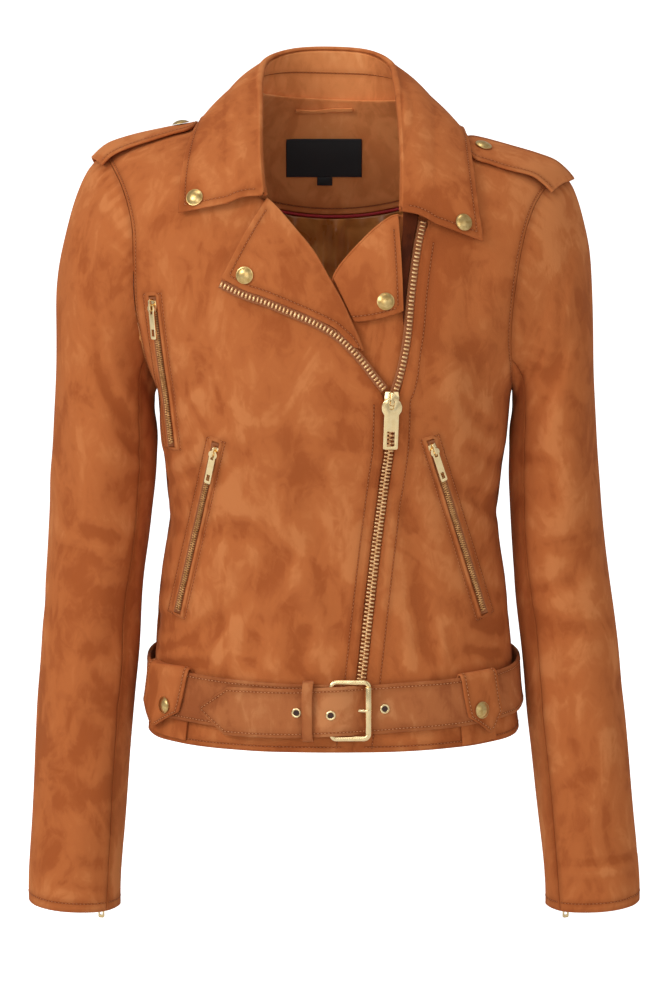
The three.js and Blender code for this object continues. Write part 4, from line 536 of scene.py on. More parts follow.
@dataclass
class Cloth:
    """One piece of cloth: a grid of points on its outer face, with its wall behind them."""

    grid: np.ndarray
    thickness: float
    away: np.ndarray | None = None
    flip: bool = False
    closed: bool = False
    round_edge: float = 0.62
    normals: np.ndarray = field(init=False)

    def __post_init__(self) -> None:
        """Turns the outer face to the side that away points to."""
        self.normals = grid_normals(self.grid, self.closed)
        if self.away is not None:
            i, j = self.grid.shape[0] // 2, self.grid.shape[1] // 2
            self.flip = float(self.normals[i, j] @ self.away) < 0
        if self.flip:
            self.normals = -self.normals

    def edge(self, side: Side, inset: float) -> Line:
        """A line at one distance from an edge.

        Args:
            side: The edge.
            inset: The distance from it over the cloth.

        Returns:
            The line, along the edge.
        """
        grid, normals = self.grid, self.normals
        if side in (Side.LEFT, Side.RIGHT):
            grid, normals = grid.transpose(1, 0, 2), normals.transpose(1, 0, 2)
        if side in (Side.BOTTOM, Side.RIGHT):
            grid, normals = grid[::-1], normals[::-1]
        reach = line_length(grid[: max(len(grid) * 2 // 3, 3)])
        points = np.array([resample(grid[: len(reach), j], reach[:, j], np.array([inset]))[0] for j in range(grid.shape[1])])
        facing = np.array([resample(normals[: len(reach), j], reach[:, j], np.array([inset]))[0] for j in range(grid.shape[1])])
        return Line(points, unit(facing))

    def seen_at(self, x: float, z: float) -> tuple[np.ndarray, np.ndarray]:
        """Returns the point of the outer face nearest to a place seen from the front, and its normal."""
        away = (self.grid[..., 0] - x) ** 2 + (self.grid[..., 2] - z) ** 2
        i, j = np.unravel_index(np.argmin(away), away.shape)
        return self.grid[i, j], self.normals[i, j]

    def cut_size(self) -> tuple[float, float, float]:
        """Returns the width, length and area of the flat cut, in metres and square metres."""
        across = np.linalg.norm(np.diff(self.grid, axis=1), axis=-1).sum(1).max()
        down = np.linalg.norm(np.diff(self.grid, axis=0), axis=-1).sum(0).max()
        a, b = self.grid[1:, 1:] - self.grid[:-1, :-1], self.grid[1:, :-1] - self.grid[:-1, 1:]
        area = np.linalg.norm(np.cross(a, b), axis=-1).sum() / 2
        return across * MM, down * MM, float(area) * MM * MM

    def build(self, name: str, outer: "Finish", inner: "Finish | None" = None, press_shade_lines: Sequence[Line] = ()) -> bpy.types.Object:
        """Makes the wall of cloth as a mesh with rounded edges.

        Args:
            name: Name of the piece.
            outer: Finish of the outer face and the edges.
            inner: Finish of the inner face, or None for the same.
            press_shade_lines: Lines along which the cloth is darkened: pressed nap, and painted shade along seams and
                stitch rows.

        Returns:
            The object.
        """
        rows, columns = self.grid.shape[:2]
        mids = [self.grid - self.normals * self.thickness * share for share in (0.0, 0.28, 0.72, 1.0)]
        faces_grid = []
        for layer in (mids[0], mids[3]):
            soft = layer.copy()
            for inside, edge in ((1, 0), (-2, -1)):
                soft[edge] += self._pull(layer[inside] - layer[edge])
                if not self.closed:
                    soft[:, edge] += self._pull(layer[:, inside] - layer[:, edge])
            faces_grid.append(soft)
        ring = self._border(rows, columns)
        flat = [faces_grid[0].reshape(-1, 3), faces_grid[1].reshape(-1, 3)]
        points = [*flat]
        starts, offset = [], 2 * rows * columns
        for layer in (mids[1], mids[2]):
            for loop in ring:
                points.append(layer.reshape(-1, 3)[loop])
                starts.append(offset)
                offset += len(loop)
        quads, inner_flags = self._faces(rows, columns, ring, starts)
        mesh = bpy.data.meshes.new(name)
        coordinates = np.concatenate(points) * MM
        mesh.vertices.add(len(coordinates))
        mesh.vertices.foreach_set("co", coordinates.astype(np.float32).ravel())
        mesh.loops.add(quads.size)
        mesh.loops.foreach_set("vertex_index", quads.astype(np.int32).ravel())
        mesh.polygons.add(len(quads))
        mesh.polygons.foreach_set("loop_start", np.arange(0, quads.size, 4, dtype=np.int32))
        mesh.polygons.foreach_set("material_index", inner_flags.astype(np.int32) if inner else np.zeros(len(quads), np.int32))
        mesh.update(calc_edges=True)
        mesh.validate()
        mesh.shade_smooth()
        self._cut_map(mesh, rows, columns, ring)
        self._pressed_shade(mesh, coordinates, press_shade_lines)
        # Mask of creases and ridges: creases are painted in shade, ridges painted lighter.
        wear_and_shade = self.wear_and_shade().ravel()
        borders = [wear_and_shade[loop] for loop in ring]
        whole = np.concatenate([wear_and_shade, wear_and_shade * 0, *borders, *borders]).astype(np.float32)
        mesh.attributes.new("wear_and_shade", "FLOAT", "POINT").data.foreach_set("value", whole)
        mesh.materials.append(outer.material())
        if inner:
            mesh.materials.append(inner.material())
        made = bpy.data.objects.new(name, mesh)
        bpy.context.scene.collection.objects.link(made)
        return made

    def wear_and_shade(self, passes: int = 14, depth: float = 0.45) -> np.ndarray:
        """Tells creases from ridges, for the painted shade in creases and the painted highlight on ridges.

        Args:
            passes: How often the form is smoothed before it is compared with itself.
            depth: Depth of a crease in millimetres that counts in full.

        Returns:
            From -1 on a ridge, which is painted lighter, to 1 in a deep crease, which is painted in shade, for each
            place of the grid.
        """
        soft = self.grid.copy()
        for _ in range(passes):
            soft[1:-1] = (soft[:-2] + 2 * soft[1:-1] + soft[2:]) / 4
            if self.closed:
                soft = (np.roll(soft, 1, 1) + 2 * soft + np.roll(soft, -1, 1)) / 4
            else:
                soft[:, 1:-1] = (soft[:, :-2] + 2 * soft[:, 1:-1] + soft[:, 2:]) / 4
        below = ((soft - self.grid) * self.normals).sum(-1)
        return np.clip((below - np.median(below)) / depth, -1, 1)

    def _pull(self, step: np.ndarray) -> np.ndarray:
        """Returns how far an edge point moves in to round the edge."""
        length = np.linalg.norm(step, axis=-1, keepdims=True)
        return step / np.maximum(length, 1e-9) * np.minimum(self.round_edge, 0.45 * length)

    def _border(self, rows: int, columns: int) -> list[np.ndarray]:
        """Returns the point numbers round the grid's rim, one list for each closed rim."""
        top = np.arange(columns)
        low = (rows - 1) * columns + np.arange(columns)
        if self.closed:
            return [top, low[::-1]]
        right = np.arange(1, rows) * columns + columns - 1
        left = np.arange(rows - 2, 0, -1) * columns
        return [np.concatenate([top, right, low[::-1][1:], left])]

    def _faces(self, rows: int, columns: int, ring: list[np.ndarray], starts: list[int]) -> tuple[np.ndarray, np.ndarray]:
        """Joins the two faces and the rounded rim.

        Args:
            rows: Rows of the grid.
            columns: Columns of the grid.
            ring: Point numbers round each rim.
            starts: First point number of each middle line of the rims.

        Returns:
            The quads, and whether each belongs to the inner face.
        """
        number = np.arange(rows * columns).reshape(rows, columns)
        if self.closed:
            number = np.concatenate([number, number[:, :1]], 1)
        a, b, c, d = number[:-1, :-1], number[1:, :-1], number[1:, 1:], number[:-1, 1:]
        outer = np.stack([a, b, c, d], -1).reshape(-1, 4)
        inner = np.stack([a, d, c, b], -1).reshape(-1, 4) + rows * columns
        rims = []
        for k, loop in enumerate(ring):
            lines = [loop, starts[k] + np.arange(len(loop)), starts[k + len(ring)] + np.arange(len(loop)), loop + rows * columns]
            for high, low in zip(lines[:-1], lines[1:]):
                rims.append(np.stack([high, np.roll(high, -1), np.roll(low, -1), low], -1))
        quads = np.concatenate([outer, inner, *rims])
        flags = np.zeros(len(quads), bool)
        flags[len(outer): len(outer) + len(inner)] = True
        return (quads[:, ::-1] if self.flip else quads), flags

    def _cut_map(self, mesh: bpy.types.Mesh, rows: int, columns: int, ring: list[np.ndarray]) -> None:
        """Gives the mesh a map of its flat cut, in metres."""
        across = np.concatenate([np.zeros((rows, 1)), np.cumsum(np.linalg.norm(np.diff(self.grid, axis=1), axis=-1), 1)], 1)
        down = line_length(self.grid)
        flat = np.stack([across - across.mean(1, keepdims=True), -down], -1).reshape(-1, 2) * MM
        borders = [flat[loop] for loop in ring]
        whole = np.concatenate([flat, flat, *borders, *borders]).astype(np.float32)
        corners = np.zeros(len(mesh.loops), np.int32)
        mesh.loops.foreach_get("vertex_index", corners)
        mesh.uv_layers.new(name="cut").data.foreach_set("uv", whole[corners].ravel())

    def _pressed_shade(self, mesh: bpy.types.Mesh, coordinates: np.ndarray, press_shade_lines: Sequence[Line]) -> None:
        """Marks how near each point is to a sewn line or a seam, where the colour is darkened as pressed nap and
        painted shade.
        """
        from mathutils.kdtree import KDTree

        values = np.zeros(len(coordinates), np.float32)
        if press_shade_lines:
            points = np.concatenate([line.points for line in press_shade_lines]) * MM
            tree = KDTree(len(points))
            for i, point in enumerate(points):
                tree.insert(point, i)
            tree.balance()
            away = np.array([tree.find(point)[2] for point in coordinates])
            values = np.exp(-((away / (3.2 * MM)) ** 2)).astype(np.float32)
        mesh.attributes.new("pressed_shade", "FLOAT", "POINT").data.foreach_set("value", values)


def settle(made: bpy.types.Object, nodes: Sequence[str], body: str = BODY) -> bpy.types.Object:
    """Puts a finished piece in the frame.

    Args:
        made: The piece.
        nodes: Names of the solids that it stands for.
        body: The body that it rides on.

    Returns:
        The piece.
    """
    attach(made, body)
    if nodes:
        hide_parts(*nodes)
    LOG.info("%s: %d faces", made.name, len(made.data.polygons))
    return made


def declare(made: bpy.types.Object, cloth: Cloth) -> None:
    """States a sheet's flat cut, which is the grid's own size; the frame takes none under a centimetre wide."""
    width, length, area = cloth.cut_size()
    LOG.info("  cut %.4f by %.4f m, %.5f square metres", width, length, area)
    min(width, length) >= 0.01


class Graph:
    """A node tree that is filled by short calls."""

    def __init__(self, tree: bpy.types.NodeTree) -> None:
        """Keeps the tree and empties it."""
        self.tree = tree
        tree.nodes.clear()

    def add(self, kind: str, inputs: dict | None = None, **settings) -> bpy.types.Node:
        """Adds a node.

        Args:
            kind: The node's type, without its ShaderNode prefix.
            inputs: Values or sockets by input name or number.
            settings: The node's own properties.

        Returns:
            The node.
        """
        node = self.tree.nodes.new(kind if kind.startswith("NodeGroup") else "ShaderNode" + kind)
        for name, value in settings.items():
            setattr(node, name, value)
        for name, value in (inputs or {}).items():
            socket = node.inputs[name]
            if isinstance(value, bpy.types.NodeSocket):
                self.tree.links.new(value, socket)
            else:
                socket.default_value = value
        return node

    def math(self, operation: str, a, b=0.0) -> bpy.types.NodeSocket:
        """Returns the result of a sum of two values."""
        return self.add("Math", {0: a, 1: b}, operation=operation).outputs[0]

    def blend(self, share, a, b, how: str = "MIX") -> bpy.types.NodeSocket:
        """Returns one colour blended over another."""
        node = self.add("Mix", {0: share, 6: a, 7: b}, data_type="RGBA", blend_type=how)
        return node.outputs[2]

    def spread(self, value, low: float, high: float, to_low: float = 0.0, to_high: float = 1.0) -> bpy.types.NodeSocket:
        """Returns a value taken smoothly from one range to another."""
        inputs = {"Value": value, 1: low, 2: high, 3: to_low, 4: to_high}
        return self.add("MapRange", inputs, interpolation_type="SMOOTHSTEP").outputs[0]

    def noise(self, place, scale: float, detail: float, rough: float = 0.5, warp: float = 0.0) -> bpy.types.NodeSocket:
        """Returns a cloudy value."""
        inputs = {"Vector": place, "Scale": scale, "Detail": detail, "Roughness": rough, "Distortion": warp}
        return self.add("TexNoise", inputs).outputs[0]


def rgb(red: float, green: float, blue: float) -> tuple[float, float, float, float]:
    """Returns a linear colour from screen values of 0 to 255."""
    line = lambda v: (v / 255) / 12.92 if v <= 10 else ((v / 255 + 0.055) / 1.055) ** 2.4
    return line(red), line(green), line(blue), 1.0


def group_of(name: str, inputs: dict[str, str], outputs: dict[str, str]) -> tuple[bpy.types.NodeTree, Graph, dict, bpy.types.Node]:
    """Starts a node group.

    Args:
        name: Name of the group.
        inputs: Kinds of its inputs by name.
        outputs: Kinds of its outputs by name.

    Returns:
        The group, its graph, its input sockets by name and its output node.
    """
    tree = bpy.data.node_groups.new(name, "ShaderNodeTree")
    for side, sockets in (("INPUT", inputs), ("OUTPUT", outputs)):
        for label, kind in sockets.items():
            tree.interface.new_socket(label, in_out=side, socket_type="NodeSocket" + kind)
    graph = Graph(tree)
    start = graph.add("NodeGroupInput")
    return tree, graph, {label: start.outputs[label] for label in inputs}, graph.add("NodeGroupOutput")


def nap_group() -> bpy.types.NodeTree:
    """Returns the group that gives suede its cloudy brushed colour and its fine fibres, with painted shade along seams,
    stitch rows and creases and painted highlight on ridges.
    """
    if "Brushed nap" in bpy.data.node_groups:
        return bpy.data.node_groups["Brushed nap"]
    colours = {"Base": "Color", "Light": "Color", "Dark": "Color", "Deep": "Color"}
    tree, g, given, end = group_of(
        "Brushed nap", {"Place": "Vector", **colours, "PressedShade": "Float", "FoldShading": "Float"},
        {"Color": "Color", "Roughness": "Float", "Height": "Float"})
    brushed = g.add("VectorMath", {0: given["Place"], 1: (1.0, 1.0, 0.62)}, operation="MULTIPLY").outputs[0]
    cloud = g.spread(g.noise(brushed, 7.0, 2.0, 0.5, 0.5), 0.36, 0.64)
    patch = g.spread(g.noise(brushed, 24.0, 3.0, 0.55, 1.3), 0.36, 0.64)
    clump = g.noise(brushed, 85.0, 3.0, 0.6, 0.8)
    fibre = g.noise(given["Place"], 1100.0, 2.0, 0.6)
    tone = g.math("ADD", g.math("MULTIPLY", cloud, 0.36), g.math("MULTIPLY", patch, 0.36))
    tone = g.math("ADD", tone, g.math("MULTIPLY", g.spread(clump, 0.34, 0.66), 0.2))
    tone = g.math("ADD", tone, g.math("MULTIPLY", fibre, 0.08))
    # Creases are darkened as painted shade and ridges lightened as painted highlight.
    tone = g.math("SUBTRACT", tone, g.math("MULTIPLY", given["FoldShading"], 0.24))
    low = g.spread(tone, 0.1, 0.5)
    high = g.spread(tone, 0.5, 0.9)
    colour = g.blend(high, g.blend(low, given["Dark"], given["Base"]), given["Light"])
    # Near seams and stitch rows the colour goes towards the deep colour: pressed nap and painted shade.
    colour = g.blend(g.math("MULTIPLY", given["PressedShade"], 0.32), colour, given["Deep"])
    g.tree.links.new(colour, end.inputs["Color"])
    g.tree.links.new(g.spread(clump, 0.3, 0.7, 0.86, 0.98), end.inputs["Roughness"])
    height = g.math("ADD", g.math("MULTIPLY", clump, 0.55), g.math("MULTIPLY", fibre, 0.3))
    height = g.math("ADD", height, g.math("MULTIPLY", g.noise(given["Place"], 330.0, 3.0, 0.6), 0.35))
    g.tree.links.new(height, end.inputs["Height"])
    return tree


def weave_group() -> bpy.types.NodeTree:
    """Returns the group that crosses two sets of fine threads on a flat cut."""
    if "Crossed threads" in bpy.data.node_groups:
        return bpy.data.node_groups["Crossed threads"]
    tree, g, given, end = group_of(
        "Crossed threads", {"Place": "Vector", "Across": "Float", "Along": "Float"}, {"Height": "Float", "Mask": "Float"})
    parts = g.add("SeparateXYZ", {0: given["Place"]})
    rows = g.math("SINE", g.math("MULTIPLY", parts.outputs[0], given["Across"]))
    lines = g.math("SINE", g.math("MULTIPLY", parts.outputs[1], given["Along"]))
    height = g.math("MULTIPLY", g.math("ADD", g.math("MULTIPLY", rows, lines), 1.0), 0.5)
    g.tree.links.new(height, end.inputs["Height"])
    g.tree.links.new(g.spread(height, 0.2, 0.8), end.inputs["Mask"])
    return tree


@dataclass(frozen=True)
class Finish:
    """A finish, made into a material once."""

    name: str

    def material(self) -> bpy.types.Material:
        """Returns the material, made on its first use."""
        found = bpy.data.materials.get(self.name)
        if found:
            return found
        made = bpy.data.materials.new(self.name)
        made.use_nodes = True
        graph = Graph(made.node_tree)
        shader = graph.add("BsdfPrincipled")
        self.fill(graph, shader)
        graph.add("OutputMaterial", {"Surface": shader.outputs[0]})
        return made

    def fill(self, g: Graph, shader: bpy.types.Node) -> None:
        """Sets the shader's sockets; each kind of finish has its own."""
        raise NotImplementedError

    @staticmethod
    def bump(g: Graph, shader: bpy.types.Node, height, strength: float, distance: float) -> None:
        """Joins a height to the shader's normal."""
        node = g.add("Bump", {"Strength": strength, "Distance": distance, "Height": height})
        g.tree.links.new(node.outputs[0], shader.inputs["Normal"])


@dataclass(frozen=True)
class Suede(Finish):
    """Napped suede with its cloudy brushed look."""

    base: tuple = rgb(186, 105, 56)
    light: tuple = rgb(202, 124, 72)
    dark: tuple = rgb(166, 87, 43)
    # deep: colour of the painted shade along seams and stitch rows, with pressed nap.
    deep: tuple = rgb(122, 56, 24)
    sheen: float = 0.1

    def fill(self, g: Graph, shader: bpy.types.Node) -> None:
        """Sets the nap, its sheen and its fibres, with the painted shade along seams and in creases and the painted
        highlight on ridges.
        """
        place = g.add("TexCoord").outputs["Object"]
        pressed_shade = g.add("Attribute", attribute_name="pressed_shade").outputs["Fac"]
        nap = g.add("Group", node_tree=nap_group())
        for name, value in (("Base", self.base), ("Light", self.light), ("Dark", self.dark), ("Deep", self.deep)):
            nap.inputs[name].default_value = value
        g.tree.links.new(place, nap.inputs["Place"])
        g.tree.links.new(pressed_shade, nap.inputs["PressedShade"])
        g.tree.links.new(g.add("Attribute", attribute_name="wear_and_shade").outputs["Fac"], nap.inputs["FoldShading"])
        g.tree.links.new(nap.outputs["Color"], shader.inputs["Base Color"])
        g.tree.links.new(nap.outputs["Roughness"], shader.inputs["Roughness"])
        self.bump(g, shader, nap.outputs["Height"], 0.55, 0.0006)
        shader.inputs["Specular IOR Level"].default_value = 0.12
        shader.inputs["Sheen Weight"].default_value = self.sheen
        shader.inputs["Sheen Roughness"].default_value = 0.5
        shader.inputs["Sheen Tint"].default_value = rgb(255, 176, 118)


@dataclass(frozen=True)
class Satin(Finish):
    """A smooth lining with fine threads and soft streaks of light."""

    base: tuple = rgb(178, 106, 44)
    light: tuple = rgb(216, 146, 74)

    def fill(self, g: Graph, shader: bpy.types.Node) -> None:
        """Sets the threads and the gloss."""
        cut = g.add("UVMap", uv_map="cut").outputs[0]
        place = g.add("TexCoord").outputs["Object"]
        threads = g.add("Group", {"Across": 9000.0, "Along": 7000.0, "Place": cut}, node_tree=weave_group())
        cloud = g.noise(place, 40.0, 3.0, 0.5, 0.5)
        g.tree.links.new(g.blend(g.spread(cloud, 0.35, 0.65), self.base, self.light), shader.inputs["Base Color"])
        g.tree.links.new(g.spread(cloud, 0.3, 0.7, 0.26, 0.36), shader.inputs["Roughness"])
        self.bump(g, shader, threads.outputs["Height"], 0.12, 0.0001)
        shader.inputs["Sheen Weight"].default_value = 0.2
        shader.inputs["Anisotropic"].default_value = 0.4


@dataclass(frozen=True)
class Woven(Finish):
    """A narrow woven cloth, such as a zip's tape, a piping or a label."""

    base: tuple = rgb(120, 62, 28)
    across: float = 5200.0
    along: float = 5200.0
    gloss: float = 0.7

    def fill(self, g: Graph, shader: bpy.types.Node) -> None:
        """Sets the crossed threads."""
        cut = g.add("UVMap", uv_map="cut").outputs[0]
        threads = g.add("Group", {"Across": self.across, "Along": self.along, "Place": cut}, node_tree=weave_group())
        dark = tuple(v * 0.55 for v in self.base[:3]) + (1.0,)
        g.tree.links.new(g.blend(threads.outputs["Mask"], dark, self.base), shader.inputs["Base Color"])
        g.tree.links.new(g.spread(threads.outputs["Mask"], 0, 1, self.gloss + 0.12, self.gloss), shader.inputs["Roughness"])
        self.bump(g, shader, threads.outputs["Height"], 0.5, 0.0002)


@dataclass(frozen=True)
class Metal(Finish):
    """Polished pale gold with faint rubbing."""

    base: tuple = rgb(252, 228, 176)
    wear_and_shade: tuple = rgb(246, 218, 162)
    rough: float = 0.14

    def fill(self, g: Graph, shader: bpy.types.Node) -> None:
        """Sets the colour of the metal and its rubbed places."""
        place = g.add("TexCoord").outputs["Object"]
        rub = g.noise(place, 260.0, 4.0, 0.6, 0.3)
        fine = g.noise(place, 2600.0, 2.0, 0.5)
        g.tree.links.new(g.blend(g.spread(rub, 0.35, 0.65), self.wear_and_shade, self.base), shader.inputs["Base Color"])
        g.tree.links.new(g.spread(rub, 0.3, 0.7, self.rough + 0.06, self.rough), shader.inputs["Roughness"])
        self.bump(g, shader, fine, 0.02, 0.0001)
        shader.inputs["Metallic"].default_value = 1.0


@dataclass(frozen=True)
class Thread(Finish):
    """Twisted sewing thread."""

    base: tuple = rgb(226, 156, 100)

    def fill(self, g: Graph, shader: bpy.types.Node) -> None:
        """Sets the twist."""
        place = g.add("TexCoord").outputs["Object"]
        twist = g.noise(place, 1800.0, 2.0, 0.6)
        dark = tuple(v * 0.6 for v in self.base[:3]) + (1.0,)
        g.tree.links.new(g.blend(g.spread(twist, 0.3, 0.6), dark, self.base), shader.inputs["Base Color"])
        g.tree.links.new(g.spread(twist, 0.3, 0.7, 0.5, 0.7), shader.inputs["Roughness"])
        self.bump(g, shader, twist, 0.4, 0.0002)


SUEDE_FINISH = Suede("napped suede")
BELT_FINISH = Suede("belt suede", rgb(177, 105, 61), rgb(198, 130, 82), rgb(154, 84, 46), rgb(116, 56, 26))
# A darker copy of the suede for the marks under stitches: pressed nap and painted shade of the needle holes.
PRESSED_SHADE_FINISH = Suede("pressed suede", rgb(132, 62, 27), rgb(146, 72, 33), rgb(116, 51, 21), rgb(100, 44, 18), 0.0)
# A dark copy of the suede that paints the lapel's shadow on the left front.
PAINTED_SHADOW_FINISH = Suede("painted shadow suede", rgb(84, 36, 15), rgb(100, 46, 20), rgb(66, 27, 11), rgb(50, 20, 8), 0.0)
# A lighter copy of the suede for the facing, the collar stand's inner face and the hanger loop: painted light on inner
# faces that lie in shade.
LIT_FACING_FINISH = Suede("lit facing suede", rgb(232, 148, 88), rgb(244, 166, 106), rgb(214, 130, 74), rgb(160, 82, 40))
SATIN_FINISH = Satin("lining satin")
PIPING_FINISH = Woven("red piping", rgb(206, 30, 42), 9000.0, 3600.0, 0.45)
LABEL_FINISH = Woven("black label", rgb(26, 28, 32), 9000.0, 9000.0, 0.5)
TAPE_FINISH = Woven("zip tape", rgb(176, 104, 58), 5600.0, 4200.0, 0.75)
GOLD_FINISH = Metal("pale gold")
CAP_FINISH = Metal("brushed gold", rgb(222, 192, 130), rgb(196, 160, 98), 0.3)
TEETH_FINISH = Metal("gold teeth", rgb(244, 202, 150), rgb(222, 172, 118), 0.36)
SMALL_TEETH_FINISH = Metal("small gold teeth", rgb(222, 174, 116), rgb(190, 138, 84), 0.34)
THREAD_FINISH = Thread("suede thread", rgb(200, 122, 68))
BELT_THREAD_FINISH = Thread("belt thread")
# A dark colour that paints the shade inside the eyelets' holes.
HOLE_SHADE_FINISH = Thread("painted hole shade", rgb(60, 29, 14))


def only(made: bpy.types.Object) -> None:
    """Selects one object alone and makes it active."""
    bpy.ops.object.select_all(action="DESELECT")
    made.select_set(True)
    bpy.context.view_layer.objects.active = made


def bevelled(made: bpy.types.Object, width: float, segments: int = 2, angle: float = 35.0) -> bpy.types.Object:
    """Rounds an object's sharp edges and shades it smooth.

    Args:
        made: The object.
        width: Width of the rounding in millimetres.
        segments: Faces across the rounding.
        angle: Least angle of an edge that is rounded, in degrees.

    Returns:
        The object.
    """
    only(made)
    bevel = made.modifiers.new("Rounding", "BEVEL")
    bevel.width, bevel.segments = width * MM, segments
    bevel.limit_method, bevel.angle_limit = "ANGLE", math.radians(angle)
    bpy.ops.object.modifier_apply(modifier=bevel.name)
    bpy.ops.object.shade_smooth_by_angle(angle=math.radians(46))
    return made


def from_node(node: str, name: str, finish: Finish, width: float) -> bpy.types.Object:
    """Makes a finer piece from a hard solid: its faces joined and its edges rounded.

    Args:
        node: Name of the solid.
        name: Name of the piece.
        finish: Its finish.
        width: Width of the rounding in millimetres.

    Returns:
        The piece.
    """
    made = bpy.data.objects.new(name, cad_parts[node].data.copy())
    bpy.context.scene.collection.objects.link(made)
    made.data.materials.clear()
    made.data.materials.append(finish.material())
    only(made)
    bpy.ops.object.mode_set(mode="EDIT")
    bpy.ops.mesh.select_all(action="SELECT")
    bpy.ops.mesh.remove_doubles(threshold=0.00002)
    bpy.ops.mesh.dissolve_limited(angle_limit=math.radians(2))
    bpy.ops.object.mode_set(mode="OBJECT")
    return bevelled(made, width)


def node_box(node: str) -> tuple[np.ndarray, np.ndarray]:
    """Returns the corners of a solid's box in millimetres."""
    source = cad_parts[node]
    corners = np.array([tuple(source.matrix_world @ v.co) for v in source.data.vertices]) / MM
    return corners.min(0), corners.max(0)


def turned(name: str, profile: Sequence[tuple[float, float]], finish: Finish, steps: int = 40) -> bpy.types.Object:
    """Spins an outline round the Z axis.

    Args:
        name: Name of the piece.
        profile: Radius and height of each point in millimetres.
        finish: Its finish.
        steps: Faces round it.

    Returns:
        The piece, at the origin.
    """
    mesh = bpy.data.meshes.new(name)
    points = [(radius * MM, 0.0, height * MM) for radius, height in profile]
    mesh.from_pydata(points, [(i, i + 1) for i in range(len(points) - 1)], [])
    made = bpy.data.objects.new(name, mesh)
    bpy.context.scene.collection.objects.link(made)
    only(made)
    bpy.ops.object.mode_set(mode="EDIT")
    bpy.ops.mesh.select_all(action="SELECT")
    bpy.ops.mesh.spin(steps=steps, angle=math.tau, center=(0, 0, 0), axis=(0, 0, 1))
    bpy.ops.mesh.select_all(action="SELECT")
    bpy.ops.mesh.remove_doubles(threshold=0.00001)
    bpy.ops.mesh.normals_make_consistent(inside=False)
    bpy.ops.object.mode_set(mode="OBJECT")
    mesh.materials.append(finish.material())
    bpy.ops.object.shade_smooth_by_angle(angle=math.radians(40))
    return made


@dataclass
class Seat:
    """Where a flat hard piece sits: its middle and the ways it faces, from its solid."""

    origin: np.ndarray
    across: np.ndarray
    up: np.ndarray
    out: np.ndarray

    @classmethod
    def of(cls, node: str, outward: np.ndarray = FORWARD) -> "Seat":
        """Reads the seat of a flat solid.

        Args:
            node: Name of the solid.
            outward: A direction on the side that it faces.

        Returns:
            The seat, with its origin on the solid's underside.
        """
        points = np.array([v.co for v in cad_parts[node].data.vertices]) / MM
        points = np.unique(np.round(points, 4), axis=0)
        low, high = points.min(0), points.max(0)
        middle = (low + high) / 2
        values, ways = np.linalg.eigh(np.cov((points - points.mean(0)).T))
        out = ways[:, 0] * (1 if ways[:, 0] @ outward > 0 else -1)
        up = unit(UPWARD - out * (out @ UPWARD))
        across = np.cross(up, out)
        spans = [(points @ way).min() + (points @ way).max() for way in (across, up)]
        middle = across * spans[0] / 2 + up * spans[1] / 2 + out * (points @ out).min()
        return cls(middle, across, up, out)

    def place(self, made: bpy.types.Object) -> bpy.types.Object:
        """Moves a piece that was made at the origin to the seat, in its mesh."""
        matrix = Matrix.Identity(4)
        for i, way in enumerate((self.across, self.up, self.out)):
            for k in range(3):
                matrix[k][i] = way[k]
        matrix.translation = Vector(self.origin * MM)
        made.data.transform(matrix)
        made.data.update()
        return made


@dataclass
class Unit:
    """One small shape that is copied many times into one mesh."""

    points: np.ndarray
    faces: list[tuple[int, ...]]

    @classmethod
    def taken(cls, made: bpy.types.Object) -> "Unit":
        """Takes the shape of an object and removes the object."""
        points = np.array([v.co for v in made.data.vertices]) / MM
        faces = [tuple(p.vertices) for p in made.data.polygons]
        bpy.data.objects.remove(made)
        return cls(points, faces)

    @classmethod
    def stitch(cls, length: float, width: float) -> "Unit":
        """Models one stitch: a short round thread that dips at its ends."""
        bpy.ops.object.select_all(action="DESELECT")
        bpy.ops.mesh.primitive_uv_sphere_add(segments=6, ring_count=4, radius=0.5 * MM)
        made = bpy.context.object
        bpy.ops.object.mode_set(mode="EDIT")
        bpy.ops.transform.rotate(value=math.pi / 2, orient_axis="Y", center_override=(0, 0, 0))
        bpy.ops.transform.resize(value=(length, width, width * 0.8), center_override=(0, 0, 0))
        bpy.ops.object.mode_set(mode="OBJECT")
        return cls.taken(made)

    @classmethod
    def tooth(cls, across: float, along: float, high: float) -> "Unit":
        """Models one metal tooth: a bar with a wider foot and rounded edges."""
        bpy.ops.object.select_all(action="DESELECT")
        bpy.ops.mesh.primitive_cube_add(size=MM)
        made = bpy.context.object
        bpy.ops.object.mode_set(mode="EDIT")
        bpy.ops.transform.resize(value=(across, along, high), center_override=(0, 0, 0))
        bpy.ops.mesh.bevel(offset=min(along, high) * 0.24 * MM, segments=1)
        bpy.ops.object.mode_set(mode="OBJECT")
        return cls.taken(made)

    def copies(self, name: str, origins: np.ndarray, ways: np.ndarray, finish: Finish) -> bpy.types.Object:
        """Joins many copies into one mesh.

        Args:
            name: Name of the piece.
            origins: Place of each copy.
            ways: The three directions of each copy.
            finish: Its finish.

        Returns:
            The piece.
        """
        points = origins[:, None, :] + np.einsum("pk,nkc->npc", self.points, ways)
        step = len(self.points)
        faces = [tuple(v + k * step for v in face) for k in range(len(origins)) for face in self.faces]
        mesh = bpy.data.meshes.new(name)
        mesh.from_pydata((points.reshape(-1, 3) * MM).tolist(), [], faces)
        mesh.shade_smooth()
        mesh.materials.append(finish.material())
        made = bpy.data.objects.new(name, mesh)
        bpy.context.scene.collection.objects.link(made)
        return made


